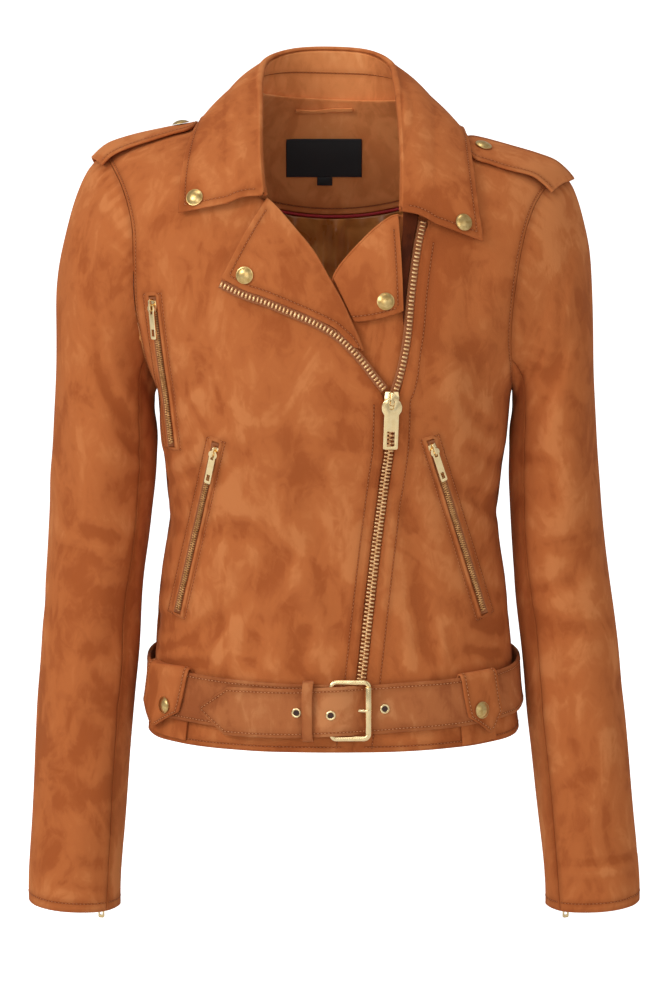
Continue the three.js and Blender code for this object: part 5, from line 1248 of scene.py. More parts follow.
def line_frames(line: Line, pitch: float, start: float = 0.0, end: float = 0.0) -> tuple[np.ndarray, np.ndarray]:
    """Spaces places along a line on cloth.

    Args:
        line: The line.
        pitch: Distance between two places.
        start: Length left free at the start.
        end: Length left free at the end.

    Returns:
        The places, and at each the ways along, across and out.
    """
    along = line_length(line.points)
    usable = along[-1] - start - end
    count = max(int(usable / pitch), 1)
    at = start + (np.arange(count) + 0.5) * usable / count
    points = resample(line.points, along, at)
    step = 0.4
    ahead = unit(resample(line.points, along, at + step) - resample(line.points, along, at - step))
    out = unit(resample(line.normals, along, at))
    across = unit(np.cross(out, ahead))
    return points, np.stack([ahead, across, np.cross(ahead, across)], 1)


def seen_line(x: np.ndarray, z: np.ndarray, out: float = 0.0) -> Line:
    """Returns a line on the front that looks straight from the front, over all folds."""
    place = TORSO_FORM.seen_front(x, z, out)
    return Line(place, unit(TORSO_FORM.seen_front(x, z, out + 4.0) - TORSO_FORM.seen_front(x, z, out - 1.0) + FORWARD * 3))


def seen_pocket(name: str) -> tuple[float, float, float, float, float]:
    """Returns the ends of a pocket's zip as they are seen, and its length."""
    (x1, z1), (x2, z2) = POCKETS[name]
    x1, x2 = (float(TORSO_FORM.on_front(x, z, 2.0)[..., 0]) for x, z in ((x1, z1), (x2, z2)))
    return x1, z1, x2, z2, math.hypot(x2 - x1, z2 - z1)


def front_line(x: Sequence[float] | np.ndarray, z: Sequence[float] | np.ndarray, out: float = 0.0) -> Line:
    """Returns a line on the front through places seen at x and z."""
    x, z = np.asarray(x, float), np.asarray(z, float)
    return Line(TORSO_FORM.on_front(x, z, out), TORSO_FORM.front_normal(x, z))


def polyline(corners: Sequence[tuple[float, float]], step: float = 1.5) -> tuple[np.ndarray, np.ndarray]:
    """Returns closely spaced places along straight lines between corners."""
    points = np.array(corners, float)
    along = line_length(points)
    at = np.linspace(0, along[-1], max(int(along[-1] / step), 2))
    return np.interp(at, along, points[:, 0]), np.interp(at, along, points[:, 1])


@dataclass
class Sewing:
    """Rows of stitches, gathered by piece and made into one mesh each."""

    pitch: float = 3.0
    length: float = 2.1
    width: float = 0.62
    rows: dict[str, list[Line]] = field(default_factory=dict)

    def sew(self, piece: str, *lines: Line) -> list[Line]:
        """Adds rows of stitches to a piece's mesh.

        Args:
            piece: Name of the mesh that they go in.
            lines: The lines that they follow.

        Returns:
            The lines.
        """
        self.rows.setdefault(piece, []).extend(lines)
        return list(lines)

    def build(self) -> None:
        """Makes every mesh of stitches."""
        stitch = Unit.stitch(self.length, self.width)
        for piece, lines in self.rows.items():
            frames = [line_frames(line, self.pitch) for line in lines]
            origins = np.concatenate([f[0] for f in frames])
            ways = np.concatenate([f[1] for f in frames])
            origins = origins + ways[:, 2] * 0.12
            settle(stitch.copies("stitches_" + piece, origins, ways, BELT_THREAD_FINISH if "belt" in piece else THREAD_FINISH), [])
            self.build_groove_shade(piece, origins - ways[:, 2] * 0.04, ways)

    def build_groove_shade(self, piece: str, origins: np.ndarray, ways: np.ndarray) -> None:
        """Makes flat dark marks under the stitches: the pressed nap's darker tone, with painted shade of the needle
        holes and the groove.

        Args:
            piece: Name of the mesh of stitches.
            origins: Middle of each stitch.
            ways: Directions along, across and out of the cloth at each stitch.
        """
        rim = np.array([(-1.5, 0), (-1.2, 0.6), (1.2, 0.6), (1.5, 0), (1.2, -0.6), (-1.2, -0.6)])
        points = origins[:, None] + rim[:, :1] * ways[:, None, 0] + rim[:, 1:] * ways[:, None, 1]
        mesh = bpy.data.meshes.new("groove_shade_" + piece)
        faces = np.arange(len(points) * 6).reshape(-1, 6)
        mesh.from_pydata((points.reshape(-1, 3) * MM).tolist(), [], faces.tolist())
        mesh.materials.append(PRESSED_SHADE_FINISH.material())
        made = bpy.data.objects.new("groove_shade_" + piece, mesh)
        bpy.context.scene.collection.objects.link(made)
        settle(made, [])


SEWING = Sewing()


@dataclass
class Body:
    """The two fronts, the back and the flap behind the main zip."""

    yoke_rows: int = 44
    level_step: float = 2.6
    front_columns: int = 66
    back_columns: int = 124
    hem_inset: float = 4.6
    armhole_inset: float = 3.2
    left_row: float = 13.2
    right_row: float = 15.6

    def __post_init__(self) -> None:
        """Lays out the rows of the panels."""
        turns = np.arange(self.yoke_rows) / self.yoke_rows
        levels = np.arange(YOKE_Z, HEM_Z, -self.level_step)
        levels = levels * 1.0
        below = levels[levels > ARMPIT_Z]
        under = np.linspace(ARMPIT_Z, HEM_Z, int((ARMPIT_Z - HEM_Z) / self.level_step) + 1)
        self.shares = np.concatenate([1 - np.cos(turns * math.pi / 2), np.ones(len(below) + len(under))])
        self.levels = np.concatenate([np.full(self.yoke_rows, np.nan), below, under])
        self.armpit_row = self.yoke_rows + len(below)

    def panel(self, shares_across: np.ndarray, sides: Callable, top: Callable, crowd: np.ndarray | None = None) -> np.ndarray:
        """Works out the points of a panel.

        Args:
            shares_across: Place of each column between the panel's sides.
            sides: The angles of the two sides at a level.
            top: Height of the upper edge at x.
            crowd: Place of each column at the upper edge, where it differs.

        Returns:
            The grid of points.
        """
        share = self.shares[:, None]
        crowd = shares_across if crowd is None else crowd
        c = mix(crowd[None, :], shares_across[None, :], share)
        is_yoke = np.isnan(self.levels)[:, None]
        level = np.where(is_yoke, -60.0, self.levels[:, None]) + 0 * c
        for _ in range(16):
            low, high = sides(level)
            a = mix(low, high, c)
            x = TORSO_FORM.skin(a, level)[..., 0]
            level = np.where(is_yoke, mix(level, mix(top(x), YOKE_Z, share), 0.7), level)
        return TORSO_FORM.skin(a, level)

    def armhole(self, level: np.ndarray, column: str) -> np.ndarray:
        """Returns the angle of the armhole, or of the side seam below it, less half the seam's gap."""
        angle = np.where(level < ARMPIT_Z, math.pi / 2, TORSO_FORM.angle(ARMHOLE.at(level, column), level))
        return angle - SEAM_GAP * 0.75 / TORSO.at(level, "width")

    @staticmethod
    def edge_to_zip(z: np.ndarray) -> np.ndarray:
        """Returns how far the fronts lie from the zip's line; they meet below its lower end."""
        return mix(MEETING_GAP, EDGE_TO_ZIP, smoothstep(z, MEETING_Z, ZIP_END_Z))

    @staticmethod
    def right_edge(z: np.ndarray) -> np.ndarray:
        """Returns the x of the right front's edge: the zip's side, then the roll line."""
        return mix(ZIP_LINE.at(z, "x") - Body.edge_to_zip(z), ROLL_LINE.at(z, "x"), smoothstep(z, SLIDER_Z - 3, SLIDER_Z + 3))

    @staticmethod
    def left_edge(z: np.ndarray) -> np.ndarray:
        """Returns the x of the left front's edge."""
        opened = smoothstep(z, SLIDER_Z, SLIDER_Z + 25)
        beside = ZIP_LINE.at(z, "x") + mix(Body.edge_to_zip(z), STRAND_WIDTH / 2 + 0.8, opened)
        return mix(beside, LEFT_NECKLINE.at(z, "x"), smoothstep(z, -102, -96))

    @staticmethod
    def back_top(x: np.ndarray) -> np.ndarray:
        """Returns the height of the back's upper edge."""
        neck = Table("x z", [(0, -7), (40, -5), (62, -2), (72, 0)])
        return np.where(np.abs(x) < 72, neck.at(np.abs(x), "z"), TORSO_FORM.ridge(x))

    def front_grid(self, is_right: bool) -> np.ndarray:
        """Returns the points of one front."""
        def sides(level: np.ndarray) -> tuple[np.ndarray, np.ndarray]:
            """Returns the angles of the two sides."""
            edge = TORSO_FORM.angle(self.right_edge(level) if is_right else self.left_edge(level), level)
            side = self.armhole(level, "right" if is_right else "left")
            return (-side, edge) if is_right else (edge, side)

        grid = self.panel(np.linspace(0, 1, self.front_columns), sides, TORSO_FORM.ridge)
        grid[0, :, 1] -= SEAM_GAP / 2
        return grid

    def back_grid(self) -> np.ndarray:
        """Returns the points of the back."""
        def sides(level: np.ndarray) -> tuple[np.ndarray, np.ndarray]:
            """Returns the angles of the two sides."""
            side = self.armhole(level, "back")
            return math.pi - side, math.pi + side

        even = np.linspace(0, 1, self.back_columns)
        places = np.array([0, 0.037, 0.0875, 0.142, 0.187, 0.2268, 0.36, 0.52, 0.68, 0.84, 1])
        offset = (even - 0.5) * 2
        crowd = 0.5 + np.sign(offset) * np.interp(np.abs(offset), np.linspace(0, 1, len(places)), places) / 2
        grid = self.panel(even, sides, self.back_top, crowd)
        grid[0, :, 1] += SEAM_GAP / 2
        return grid

    def pocket_border(self, name: str, away: float) -> Line:
        """Returns the sewn rectangle round a pocket's zip."""
        x1, z1, x2, z2, length = seen_pocket(name)
        ux, uz = (x2 - x1) / length, (z2 - z1) / length
        top, low = -9.5, length + 5.5
        corner = lambda along, side: (x1 + ux * along - uz * side, z1 + uz * along + ux * side)
        corners = [corner(top, -away), corner(low, -away), corner(low, away), corner(top, away), corner(top, -away)]
        return seen_line(*polyline(corners))

    def build(self) -> None:
        """Makes the panels, with their rows of stitches."""
        self.right = Cloth(self.front_grid(True), SUEDE)
        self.left = Cloth(self.front_grid(False), SUEDE)
        self.back = Cloth(self.back_grid(), SUEDE)
        z = np.arange(HEM_Z + 3, SLIDER_Z - 2, 1.5)
        beside_right = front_line(ZIP_LINE.at(z, "x") - self.left_row, z)
        up = np.arange(HEM_Z + 3, -112, 1.5)
        beside_left = front_line(ZIP_LINE.at(up, "x") + self.right_row - smoothstep(up, SLIDER_Z, SLIDER_Z + 40) * 3.5, up)
        pockets = {name: self.pocket_border(name, 7.6) for name in POCKETS}
        right_rows = SEWING.sew(
            "front_right", beside_right, self.right.edge(Side.BOTTOM, self.hem_inset).cut(2, 10),
            self.right.edge(Side.LEFT, self.armhole_inset).cut(3, HEM_REST), pockets["hip_zip_right"], pockets["chest_zip"])
        left_rows = SEWING.sew(
            "front_left", beside_left, self.left.edge(Side.BOTTOM, self.hem_inset).cut(10, 2),
            self.left.edge(Side.RIGHT, self.armhole_inset).cut(3, HEM_REST), pockets["hip_zip_left"])
        back_rows = SEWING.sew(
            "back", self.back.edge(Side.BOTTOM, self.hem_inset).cut(2, 2),
            self.back.edge(Side.LEFT, self.armhole_inset).cut(3, HEM_REST),
            self.back.edge(Side.RIGHT, self.armhole_inset).cut(3, HEM_REST))
        for name, cloth, rows, node in (
            ("panel_front_right", self.right, right_rows, "front_right"),
            ("panel_front_left", self.left, left_rows, "front_left"),
            ("panel_back", self.back, back_rows, "back"),
        ):
            # The panel's own edges are darkened too, as painted shade between the parts.
            seams = [cloth.edge(side, 0.5) for side in (Side.LEFT, Side.RIGHT, Side.BOTTOM)]
            made = settle(cloth.build(name, SUEDE_FINISH, None, [*rows, *seams]), [node])
            declare(made, cloth)
        self.build_underlap()
        self.build_painted_shadow()

    def build_painted_shadow(self) -> None:
        """Makes a thin dark strip on the left front beside the lapel, where its turned-in edge lies; its dark colour is
        the lapel's painted shadow.
        """
        z = np.linspace(-84, -178, 60)[:, None]
        share = (z + 84) / -94
        zip_x = ZIP_LINE.at(z + TORSO_FORM.lean(60, z), "x")
        x = mix(zip_x - mix(18, 4.8, share), zip_x - 4.6, np.linspace(0, 1, 10)[None, :])
        cloth = Cloth(TORSO_FORM.on_front(x, z, 0.9), 0.7, away=FORWARD, round_edge=0.3)
        made = settle(cloth.build("front_left_painted_shadow", PAINTED_SHADOW_FINISH), [])
        declare(made, cloth)

    def build_underlap(self) -> None:
        """Makes the flap that lies behind the main zip."""
        z = np.linspace(-90, -520, 180)[:, None]
        low = UNDERLAP.at(z, "x")
        high = self.left_edge(z + TORSO_FORM.lean(50, z)) + 9
        u = np.linspace(0, 1, 34)[None, :]
        cloth = Cloth(TORSO_FORM.on_front(mix(low, high, u), z + 0 * u, -3.6), SUEDE, away=FORWARD)
        row = SEWING.sew("underlap", cloth.edge(Side.LEFT, 5).cut(4, 120))
        made = settle(cloth.build("flap_behind_zip", SUEDE_FINISH, SATIN_FINISH, row), ["underlap"])
        declare(made, cloth)


HEM_REST = 292.0  # of a panel's side that lies below the armpit, where no row of stitches shows


@dataclass
class Sleeves:
    """The two sleeves, each cut in a top and an under piece."""

    body: Body
    row_step: float = 0.092
    cuff_inset: float = 7.4
    front_seam: float = 2 / 22
    back_seam: float = 4 / 22
    pucker: float = 0.42

    def loop(self, side: int) -> np.ndarray:
        """Returns the armhole from the shoulder tip down the front to the armpit and up the back."""
        last = self.body.armpit_row
        front = self.body.right.grid[:, 0] if side < 0 else self.body.left.grid[:, -1]
        back = self.body.back.grid[:, -1 if side < 0 else 0]
        down = front[: last + 1].copy()
        down[0] = (front[0] + back[0]) / 2
        down[last] = (front[last] + back[last]) / 2
        return np.concatenate([down, back[1:last][::-1]])

    def grid(self, side: int) -> tuple[np.ndarray, np.ndarray]:
        """Works out one sleeve.

        Args:
            side: -1 for the wearer's right, 1 for the left.

        Returns:
            The grid of points and the turn of each column.
        """
        loop, last = self.loop(side), self.body.armpit_row
        tip, reach = loop[0], loop[last] - loop[0]
        share = np.clip((loop - tip) @ reach / (reach @ reach), 0, 1)
        turns = np.arccos(1 - 2 * share) * np.where(np.arange(len(loop)) > last, -1, 1)
        at = np.concatenate([[0, 0.03, 0.06], np.arange(0.1, 15, self.row_step), [15.0]])[:, None]
        plain = sleeve_point(side, at, turns[None, :])
        hold = np.interp(at, [0, 1, 2, 3, 4, 5], [1, 0.6, 0.3, 0.12, 0.03, 0])[..., None]
        grid = plain + (loop - sleeve_point(side, 0.0, turns))[None] * hold
        along = line_length(np.concatenate([loop, loop[:1]]))[:-1]
        gather = np.sin(along * math.tau / 11.5) * self.pucker * np.cos(np.clip(turns / 2, -1.57, 1.57)) ** 2
        fade = np.exp(-((at - 0.35) / 0.42) ** 2)
        normals = grid_normals(grid, closed=True) * (-1 if side > 0 else 1)
        grid = grid + normals * (gather[None, :] * fade)[..., None]
        grid[0] += unit(grid[3] - grid[0]) * SEAM_GAP
        return grid, turns

    def section(self, side: int, loop: np.ndarray, at: float) -> np.ndarray:
        """Returns the sleeve's section at one row for places on its armhole."""
        last = self.loop(side)[self.body.armpit_row]
        tip = self.loop(side)[0]
        reach = last - tip
        share = np.clip((loop - tip) @ reach / (reach @ reach), 0, 1)
        turns = np.arccos(1 - 2 * share) * np.where(loop[:, 1] > np.interp(loop[:, 2], [last[2], tip[2]], [last[1], tip[1]]), -1, 1)
        hold = np.interp(at, [0, 1, 2, 3, 4, 5], [1, 0.6, 0.3, 0.12, 0.03, 0])
        return sleeve_point(side, at, turns) + (loop - sleeve_point(side, 0.0, turns)) * hold

    def build(self) -> None:
        """Makes both sleeves."""
        for side, word in ((-1, "right"), (1, "left")):
            grid, turns = self.grid(side)
            count, last = len(turns), self.body.armpit_row
            degrees = np.degrees(turns)
            front = int(np.argmin(np.abs(degrees[:last] - self.seam_degrees()[0])))
            back = last + int(np.argmin(np.abs(degrees[last + 1:] + self.seam_degrees()[1]))) + 1
            whole = Cloth(grid, SUEDE, closed=True, flip=side > 0)
            pieces = {
                "under": np.arange(front, back + 1),
                "top": np.arange(back, count + front + 1) % count,
            }
            for kind, columns in pieces.items():
                cut = grid[:, columns].copy()
                cut[:, 0] += unit(cut[:, 1] - cut[:, 0]) * SEAM_GAP / 2
                cut[:, -1] += unit(cut[:, -2] - cut[:, -1]) * SEAM_GAP / 2
                cloth = Cloth(cut, SUEDE, flip=side > 0)
                cloth.normals = whole.normals[:, columns]
                name = f"sleeve_{kind}_{word}"
                rows = SEWING.sew(f"sleeve_{word}", cloth.edge(Side.BOTTOM, self.cuff_inset).cut(1.5, 1.5))
                # The sleeve pieces' edges are darkened too, as painted shade between the parts.
                seams = [cloth.edge(edge, 0.5) for edge in Side]
                made = settle(cloth.build("cloth_" + name, SUEDE_FINISH, SATIN_FINISH, [*rows, *seams]), [name])
                declare(made, cloth)

    @staticmethod
    def seam_degrees() -> tuple[float, float]:
        """Returns the turns of the front and back seams of a sleeve, in degrees."""
        return 137.0, 113.0


@dataclass
class Collar:
    """The collar: a stand round the neck and a leaf that rolls over it onto the shoulders."""

    stand_clear: float = 1.1
    leaf_clear: float = 3.4
    leaf_roll: float = 4.4
    lift: float = 7.0
    columns: int = 190
    leaf_rows: int = 44

    def stations(self) -> tuple[np.ndarray, np.ndarray, np.ndarray]:
        """Returns the points of the neck seam, the roll line and the outer edge."""
        seam, roll, edge = [], [], []
        for seam_x, seam_z, seam_on, roll_at, edge_x, edge_z, edge_on in COLLAR:
            side = math.copysign(1, seam_x) if seam_x else 0.0
            if seam_on == "back":
                level = Body.back_top(np.array(float(seam_x)))
                point = TORSO_FORM.skin(math.pi - TORSO_FORM.angle(seam_x, level), level)
                seam.append(point + np.array((0, -self.stand_clear, 2 * self.stand_clear)))
            else:
                level = seam_z + TORSO_FORM.lean(seam_x, seam_z)
                x = (ROLL_LINE if side < 0 else LEFT_NECKLINE).at(level, "x")
                point = TORSO_FORM.skin(TORSO_FORM.angle(x, level), level)
                seam.append(point + np.array((-side * self.stand_clear * 2, 0, self.stand_clear)))
            roll.append(np.array(roll_at, float))
            place = TORSO_FORM.on_front if edge_on == "front" else TORSO_FORM.on_back
            edge.append(place(edge_x, edge_z, self.lift))
        return np.array(seam), np.array(roll), np.array(edge)

    def clear_of_torso(self, points: np.ndarray, lift: np.ndarray) -> np.ndarray:
        """Lifts points clear of the torso under them.

        Args:
            points: The points.
            lift: The least distance of each.

        Returns:
            The points, moved where they were too near.
        """
        x = points[..., 0]
        shares = np.concatenate([1 - np.cos(np.linspace(0, 1, 18) * math.pi / 2), [1.2, 1.4, 1.6, 1.8, 2.2]])
        ridge = TORSO_FORM.ridge(x)
        levels = ridge[..., None] - shares * SHOULDER_ROUND
        angles = TORSO_FORM.angle(x[..., None], levels)
        down = TORSO_FORM.skin(angles, levels)
        behind = TORSO_FORM.skin(math.pi - angles, levels)
        section = np.concatenate([behind[..., ::-1, :], down[..., 1:, :]], -2)[..., 1:]
        a, b = section[..., :-1, :], section[..., 1:, :]
        step = b - a
        here = points[..., None, 1:]
        t = np.clip(((here - a) * step).sum(-1) / np.maximum((step**2).sum(-1), 1e-9), 0, 1)
        near = a + step * t[..., None]
        away = here - near
        distance = np.linalg.norm(away, axis=-1)
        best = distance.argmin(-1)[..., None]
        pick = lambda values: np.take_along_axis(values, best, -1)[..., 0]
        cross = away[..., 0] * step[..., 1] - away[..., 1] * step[..., 0]
        outside = np.where(pick(cross) >= 0, 1.0, -1.0)
        nearest = np.stack([pick(near[..., 0]), pick(near[..., 1])], -1)
        gap = np.maximum(pick(distance), 0.01)
        moved = points.copy()
        shift = np.stack([pick(away[..., 0]), pick(away[..., 1])], -1) * (lift * outside / gap)[..., None]
        too_near = outside * gap < lift
        moved[..., 1:] = np.where(too_near[..., None], nearest + shift, points[..., 1:])
        return moved

    def build(self) -> None:
        """Makes the stand and the leaf."""
        seam, roll, edge = self.stations()
        at = np.linspace(0, len(COLLAR) - 1, self.columns)
        low, top, rim = spline(seam, at), spline(roll, at), spline(edge, at)
        out = unit(np.stack([top[:, 0], top[:, 1] - 12, np.zeros(len(at))], -1))
        v = np.linspace(0, 1, 22)[:, None, None]
        stand = mix(low[None], top[None], v) + out[None] * 0.6 * np.sin(v * math.pi)
        stand_cloth = Cloth(stand, FOLDED_SUEDE, away=BACKWARD)
        inner_row = Line(
            mix(low, top, 0.56) - out * (FOLDED_SUEDE + 0.05 - 0.6 * math.sin(0.56 * math.pi)), -out)
        rows = SEWING.sew("collar", inner_row.cut(6, 6))
        made = settle(stand_cloth.build("collar_stand_cloth", SUEDE_FINISH, LIT_FACING_FINISH, rows), ["collar_stand"])
        declare(made, stand_cloth)

        u = np.linspace(0, 1, self.columns)[None, :, None]
        v = np.linspace(0, 1, self.leaf_rows)[:, None, None]
        leaf = mix(top[None] + out[None] * self.leaf_roll, rim[None], v)
        leaf = leaf + out[None] * (2.5 + 4.5 * np.sin(u * math.pi)) * np.sin(v * math.pi)
        leaf[..., 2] += (2.4 * np.sin(math.pi * np.minimum(v * 2.5, 1)))[..., 0]
        lift = mix(self.leaf_clear, self.lift, v[..., 0]) + 0 * u[..., 0]
        leaf = self.clear_of_torso(leaf, lift)
        centre, radius = (self.leaf_roll - FOLDED_SUEDE) / 2, (self.leaf_roll + FOLDED_SUEDE) / 2
        turn = np.linspace(math.pi, 0.12, 12)[:, None, None]
        fold = top[None] + out[None] * (centre + radius * np.cos(turn))
        fold = fold + UPWARD * radius * np.sin(turn)
        grid = np.concatenate([fold, leaf[1:]])
        grid = self.relaxed(grid, 10, 5)
        self.leaf = Cloth(grid, FOLDED_SUEDE, away=None)
        if self.leaf.normals[-6, self.columns // 2] @ BACKWARD < 0:
            self.leaf.flip = True
            self.leaf.normals = -self.leaf.normals
        rows = SEWING.sew(
            "collar", self.leaf.edge(Side.BOTTOM, 5.6).cut(5, 5), self.leaf.edge(Side.LEFT, 5.6).cut(14, 5),
            self.leaf.edge(Side.RIGHT, 5.6).cut(14, 5))
        made = settle(self.leaf.build("collar_leaf_cloth", SUEDE_FINISH, None, rows), ["collar_leaf"])
        declare(made, self.leaf)

    @staticmethod
    def relaxed(grid: np.ndarray, row: int, reach: int) -> np.ndarray:
        """Smooths a grid down its columns near one row."""
        grid = grid.copy()
        for _ in range(4):
            for i in range(row - reach, row + reach):
                grid[i] = (grid[i - 1] + 2 * grid[i] + grid[i + 1]) / 4
        return grid


@dataclass
class Lapels:
    """The lapels, rolled over the fronts."""

    roll_back: float = 1.9

    def grid(self, table: Table, height: Callable, columns: int) -> np.ndarray:
        """Works out a lapel with its rolled edge.

        Args:
            table: Its roll line and outer edge.
            height: Height of its face over the front, from the share across and along.
            columns: Number of steps along the roll line.

        Returns:
            The grid, with a row for each step along it.
        """
        at = np.linspace(0, table.last, columns)[:, None]
        u = at / table.last
        v = np.linspace(0, 1, 34)[None, :]
        x = mix(table.row(at, "rollX"), table.row(at, "edgeX"), v)
        z = mix(table.row(at, "rollZ"), table.row(at, "edgeZ"), v)
        face = TORSO_FORM.on_front(x, z, height(v, u) + 0 * x)
        start = TORSO_FORM.on_front(x[:, :1], z[:, :1], 0)
        normal = TORSO_FORM.front_normal(x[:, :1], z[:, :1])
        beyond = unit(face[:, :1] - face[:, 2:3])
        beyond = unit(beyond - normal * (beyond * normal).sum(-1, keepdims=True))
        high = height(0 * u, u)[..., None]
        radius = (high + self.roll_back) / 2
        turn = np.linspace(-math.pi / 2, math.pi / 2, 11)[None, :-1, None]
        fold = start + normal * ((high - self.roll_back) / 2 + radius * np.sin(turn)) + beyond * radius * np.cos(turn)
        return np.concatenate([fold, face], 1)

    def build(self) -> None:
        """Makes both lapels."""
        right = lambda v, u: 2.8 + (1 - u) * 5 * np.sin(v * math.pi) + 1.6 * v * (1 - u)
        left = lambda v, u: -0.5 + (1 - u * 0.8) * (3.5 * np.sin(v * math.pi) + 3 * v)
        self.right = Cloth(self.grid(RIGHT_LAPEL, right, 110), FOLDED_SUEDE, away=FORWARD)
        self.left = Cloth(self.grid(LEFT_LAPEL, left, 80), FOLDED_SUEDE, away=FORWARD)
        for word, cloth, edges in (
            ("right", self.right, [(Side.RIGHT, 5.2, 6, 0), (Side.TOP, 5.2, 14, 6)]),
            ("left", self.left, [(Side.RIGHT, 4.6, 6, 0), (Side.TOP, 4.6, 14, 6)]),
        ):
            rows = SEWING.sew("lapels", *[cloth.edge(side, inset).cut(start, end) for side, inset, start, end in edges])
            made = settle(cloth.build(f"lapel_{word}_cloth", SUEDE_FINISH, None, rows), [f"lapel_{word}"])
            declare(made, cloth)


@dataclass
class Epaulettes:
    """The straps that lie along the shoulders and run out over the sleeves' caps."""

    sleeves: Sleeves
    out: float = 3.0
    end_out: float = 6.4
    clear: float = 3.0
    over_cap: float = 0.62

    def on_shoulder(self, side: int, x: np.ndarray, along: np.ndarray, out: np.ndarray | float) -> np.ndarray:
        """A place beside the shoulder ridge.

        Args:
            side: -1 for the wearer's right, 1 for the left.
            x: Distance from the middle plane.
            along: Distance down the front of the ridge, negative down the back.
            out: Height over the cloth.

        Returns:
            The points.
        """
        x, along, out = np.broadcast_arrays(x, along, out)
        shares = 1 - np.cos(np.linspace(0, 1, 121) * math.pi / 2)
        levels = TORSO_FORM.ridge(x)[..., None] - SHOULDER_ROUND * shares
        angles = TORSO_FORM.angle(side * x[..., None], levels)
        angles = np.where(along[..., None] >= 0, angles, math.pi - angles)
        walk = np.linalg.norm(np.diff(TORSO_FORM.skin(angles, levels), axis=-2), axis=-1)
        walk = np.concatenate([np.zeros(walk.shape[:-1] + (1,)), np.cumsum(walk, -1)], -1)
        steps = np.arange(121)
        place = np.array([np.interp(abs(d), w, steps) for d, w in zip(along.ravel(), walk.reshape(-1, 121))])
        level = TORSO_FORM.ridge(x) - SHOULDER_ROUND * (1 - np.cos(place.reshape(x.shape) / 120 * math.pi / 2))
        level = np.minimum(level, TORSO_FORM.ridge(x) - 0.02)
        angle = TORSO_FORM.angle(side * x, level)
        angle = np.where(along >= 0, angle, math.pi - angle)
        return TORSO_FORM.over(angle, level, out) + UPWARD * (out * 0.42)[..., None]

    def on_cap(self, side: int, start: np.ndarray) -> np.ndarray:
        """Works out the strap's end over the sleeve's cap.

        Args:
            side: -1 for the wearer's right, 1 for the left.
            start: The strap's last line of points before the armhole.

        Returns:
            Lines of points, from the armhole outwards.
        """
        loop = self.sleeves.loop(side)
        count = 26
        near = np.concatenate([loop[-count:], loop[: count + 1]])
        near = resample(near, np.arange(len(near)), np.linspace(0, len(near) - 1, 800))
        first = self.sleeves.section(side, near, 0.0)
        second = self.sleeves.section(side, near, 1.0)
        pick = np.linalg.norm(near[:, None] - start[None], axis=-1).argmin(0)
        along = np.gradient(near, axis=0)
        normal = unit(np.cross(second - first, along))
        normal = np.where(normal[:, 2:] < 0, -normal, normal)
        share = self.over_cap * mix(1, 0.45, np.linspace(0, 1, len(start)))
        lines = [mix(first[pick], second[pick], (share * t)[:, None]) + normal[pick] * self.end_out for t in np.linspace(0.2, 1, 9)]
        return np.array(lines)

    def build(self) -> None:
        """Makes both straps."""
        for side, word in ((-1, "right"), (1, "left")):
            table = EPAULETTES[side]
            first, last = table.key[0], table.key[-1]
            at = np.linspace(0, table.last, 46)[:, None]
            v = np.linspace(0, 1, 30)[None, :]
            along = mix(table.row(at, "from"), table.row(at, "to"), v)
            level = self.on_shoulder(side, last - 6 + 0 * along, along, 0.0)[..., 2] + TORSO_FORM.lean(side * last, TIP_Z)
            front = ARMHOLE.at(level, "right" if side < 0 else "left")
            edge = np.where(along < 0, ARMHOLE.at(level, "back"), front)
            reach = np.minimum((edge - self.clear - first) / (last - first), 1)
            x = mix(first, table.row(at, "x") + 0 * v, reach)
            out = mix(self.out, self.end_out, smoothstep(at / table.last, 0.6, 1.1))
            grid = self.on_shoulder(side, x, along, out)
            grid = np.concatenate([grid, self.on_cap(side, grid[-1])])
            for _ in range(8):
                grid[1:-1] = (grid[:-2] + 2 * grid[1:-1] + grid[2:]) / 4
                grid[:, 1:-1] = (grid[:, :-2] + 2 * grid[:, 1:-1] + grid[:, 2:]) / 4
            cloth = Cloth(grid, FOLDED_SUEDE, away=UPWARD)
            rows = SEWING.sew("epaulettes", cloth.edge(Side.LEFT, 4).cut(6, 3), cloth.edge(Side.RIGHT, 4).cut(6, 3),
                              cloth.edge(Side.TOP, 4).cut(3, 3))
            made = settle(cloth.build(f"strap_shoulder_{word}", SUEDE_FINISH, None, rows), [f"epaulette_{word}"])
            declare(made, cloth)


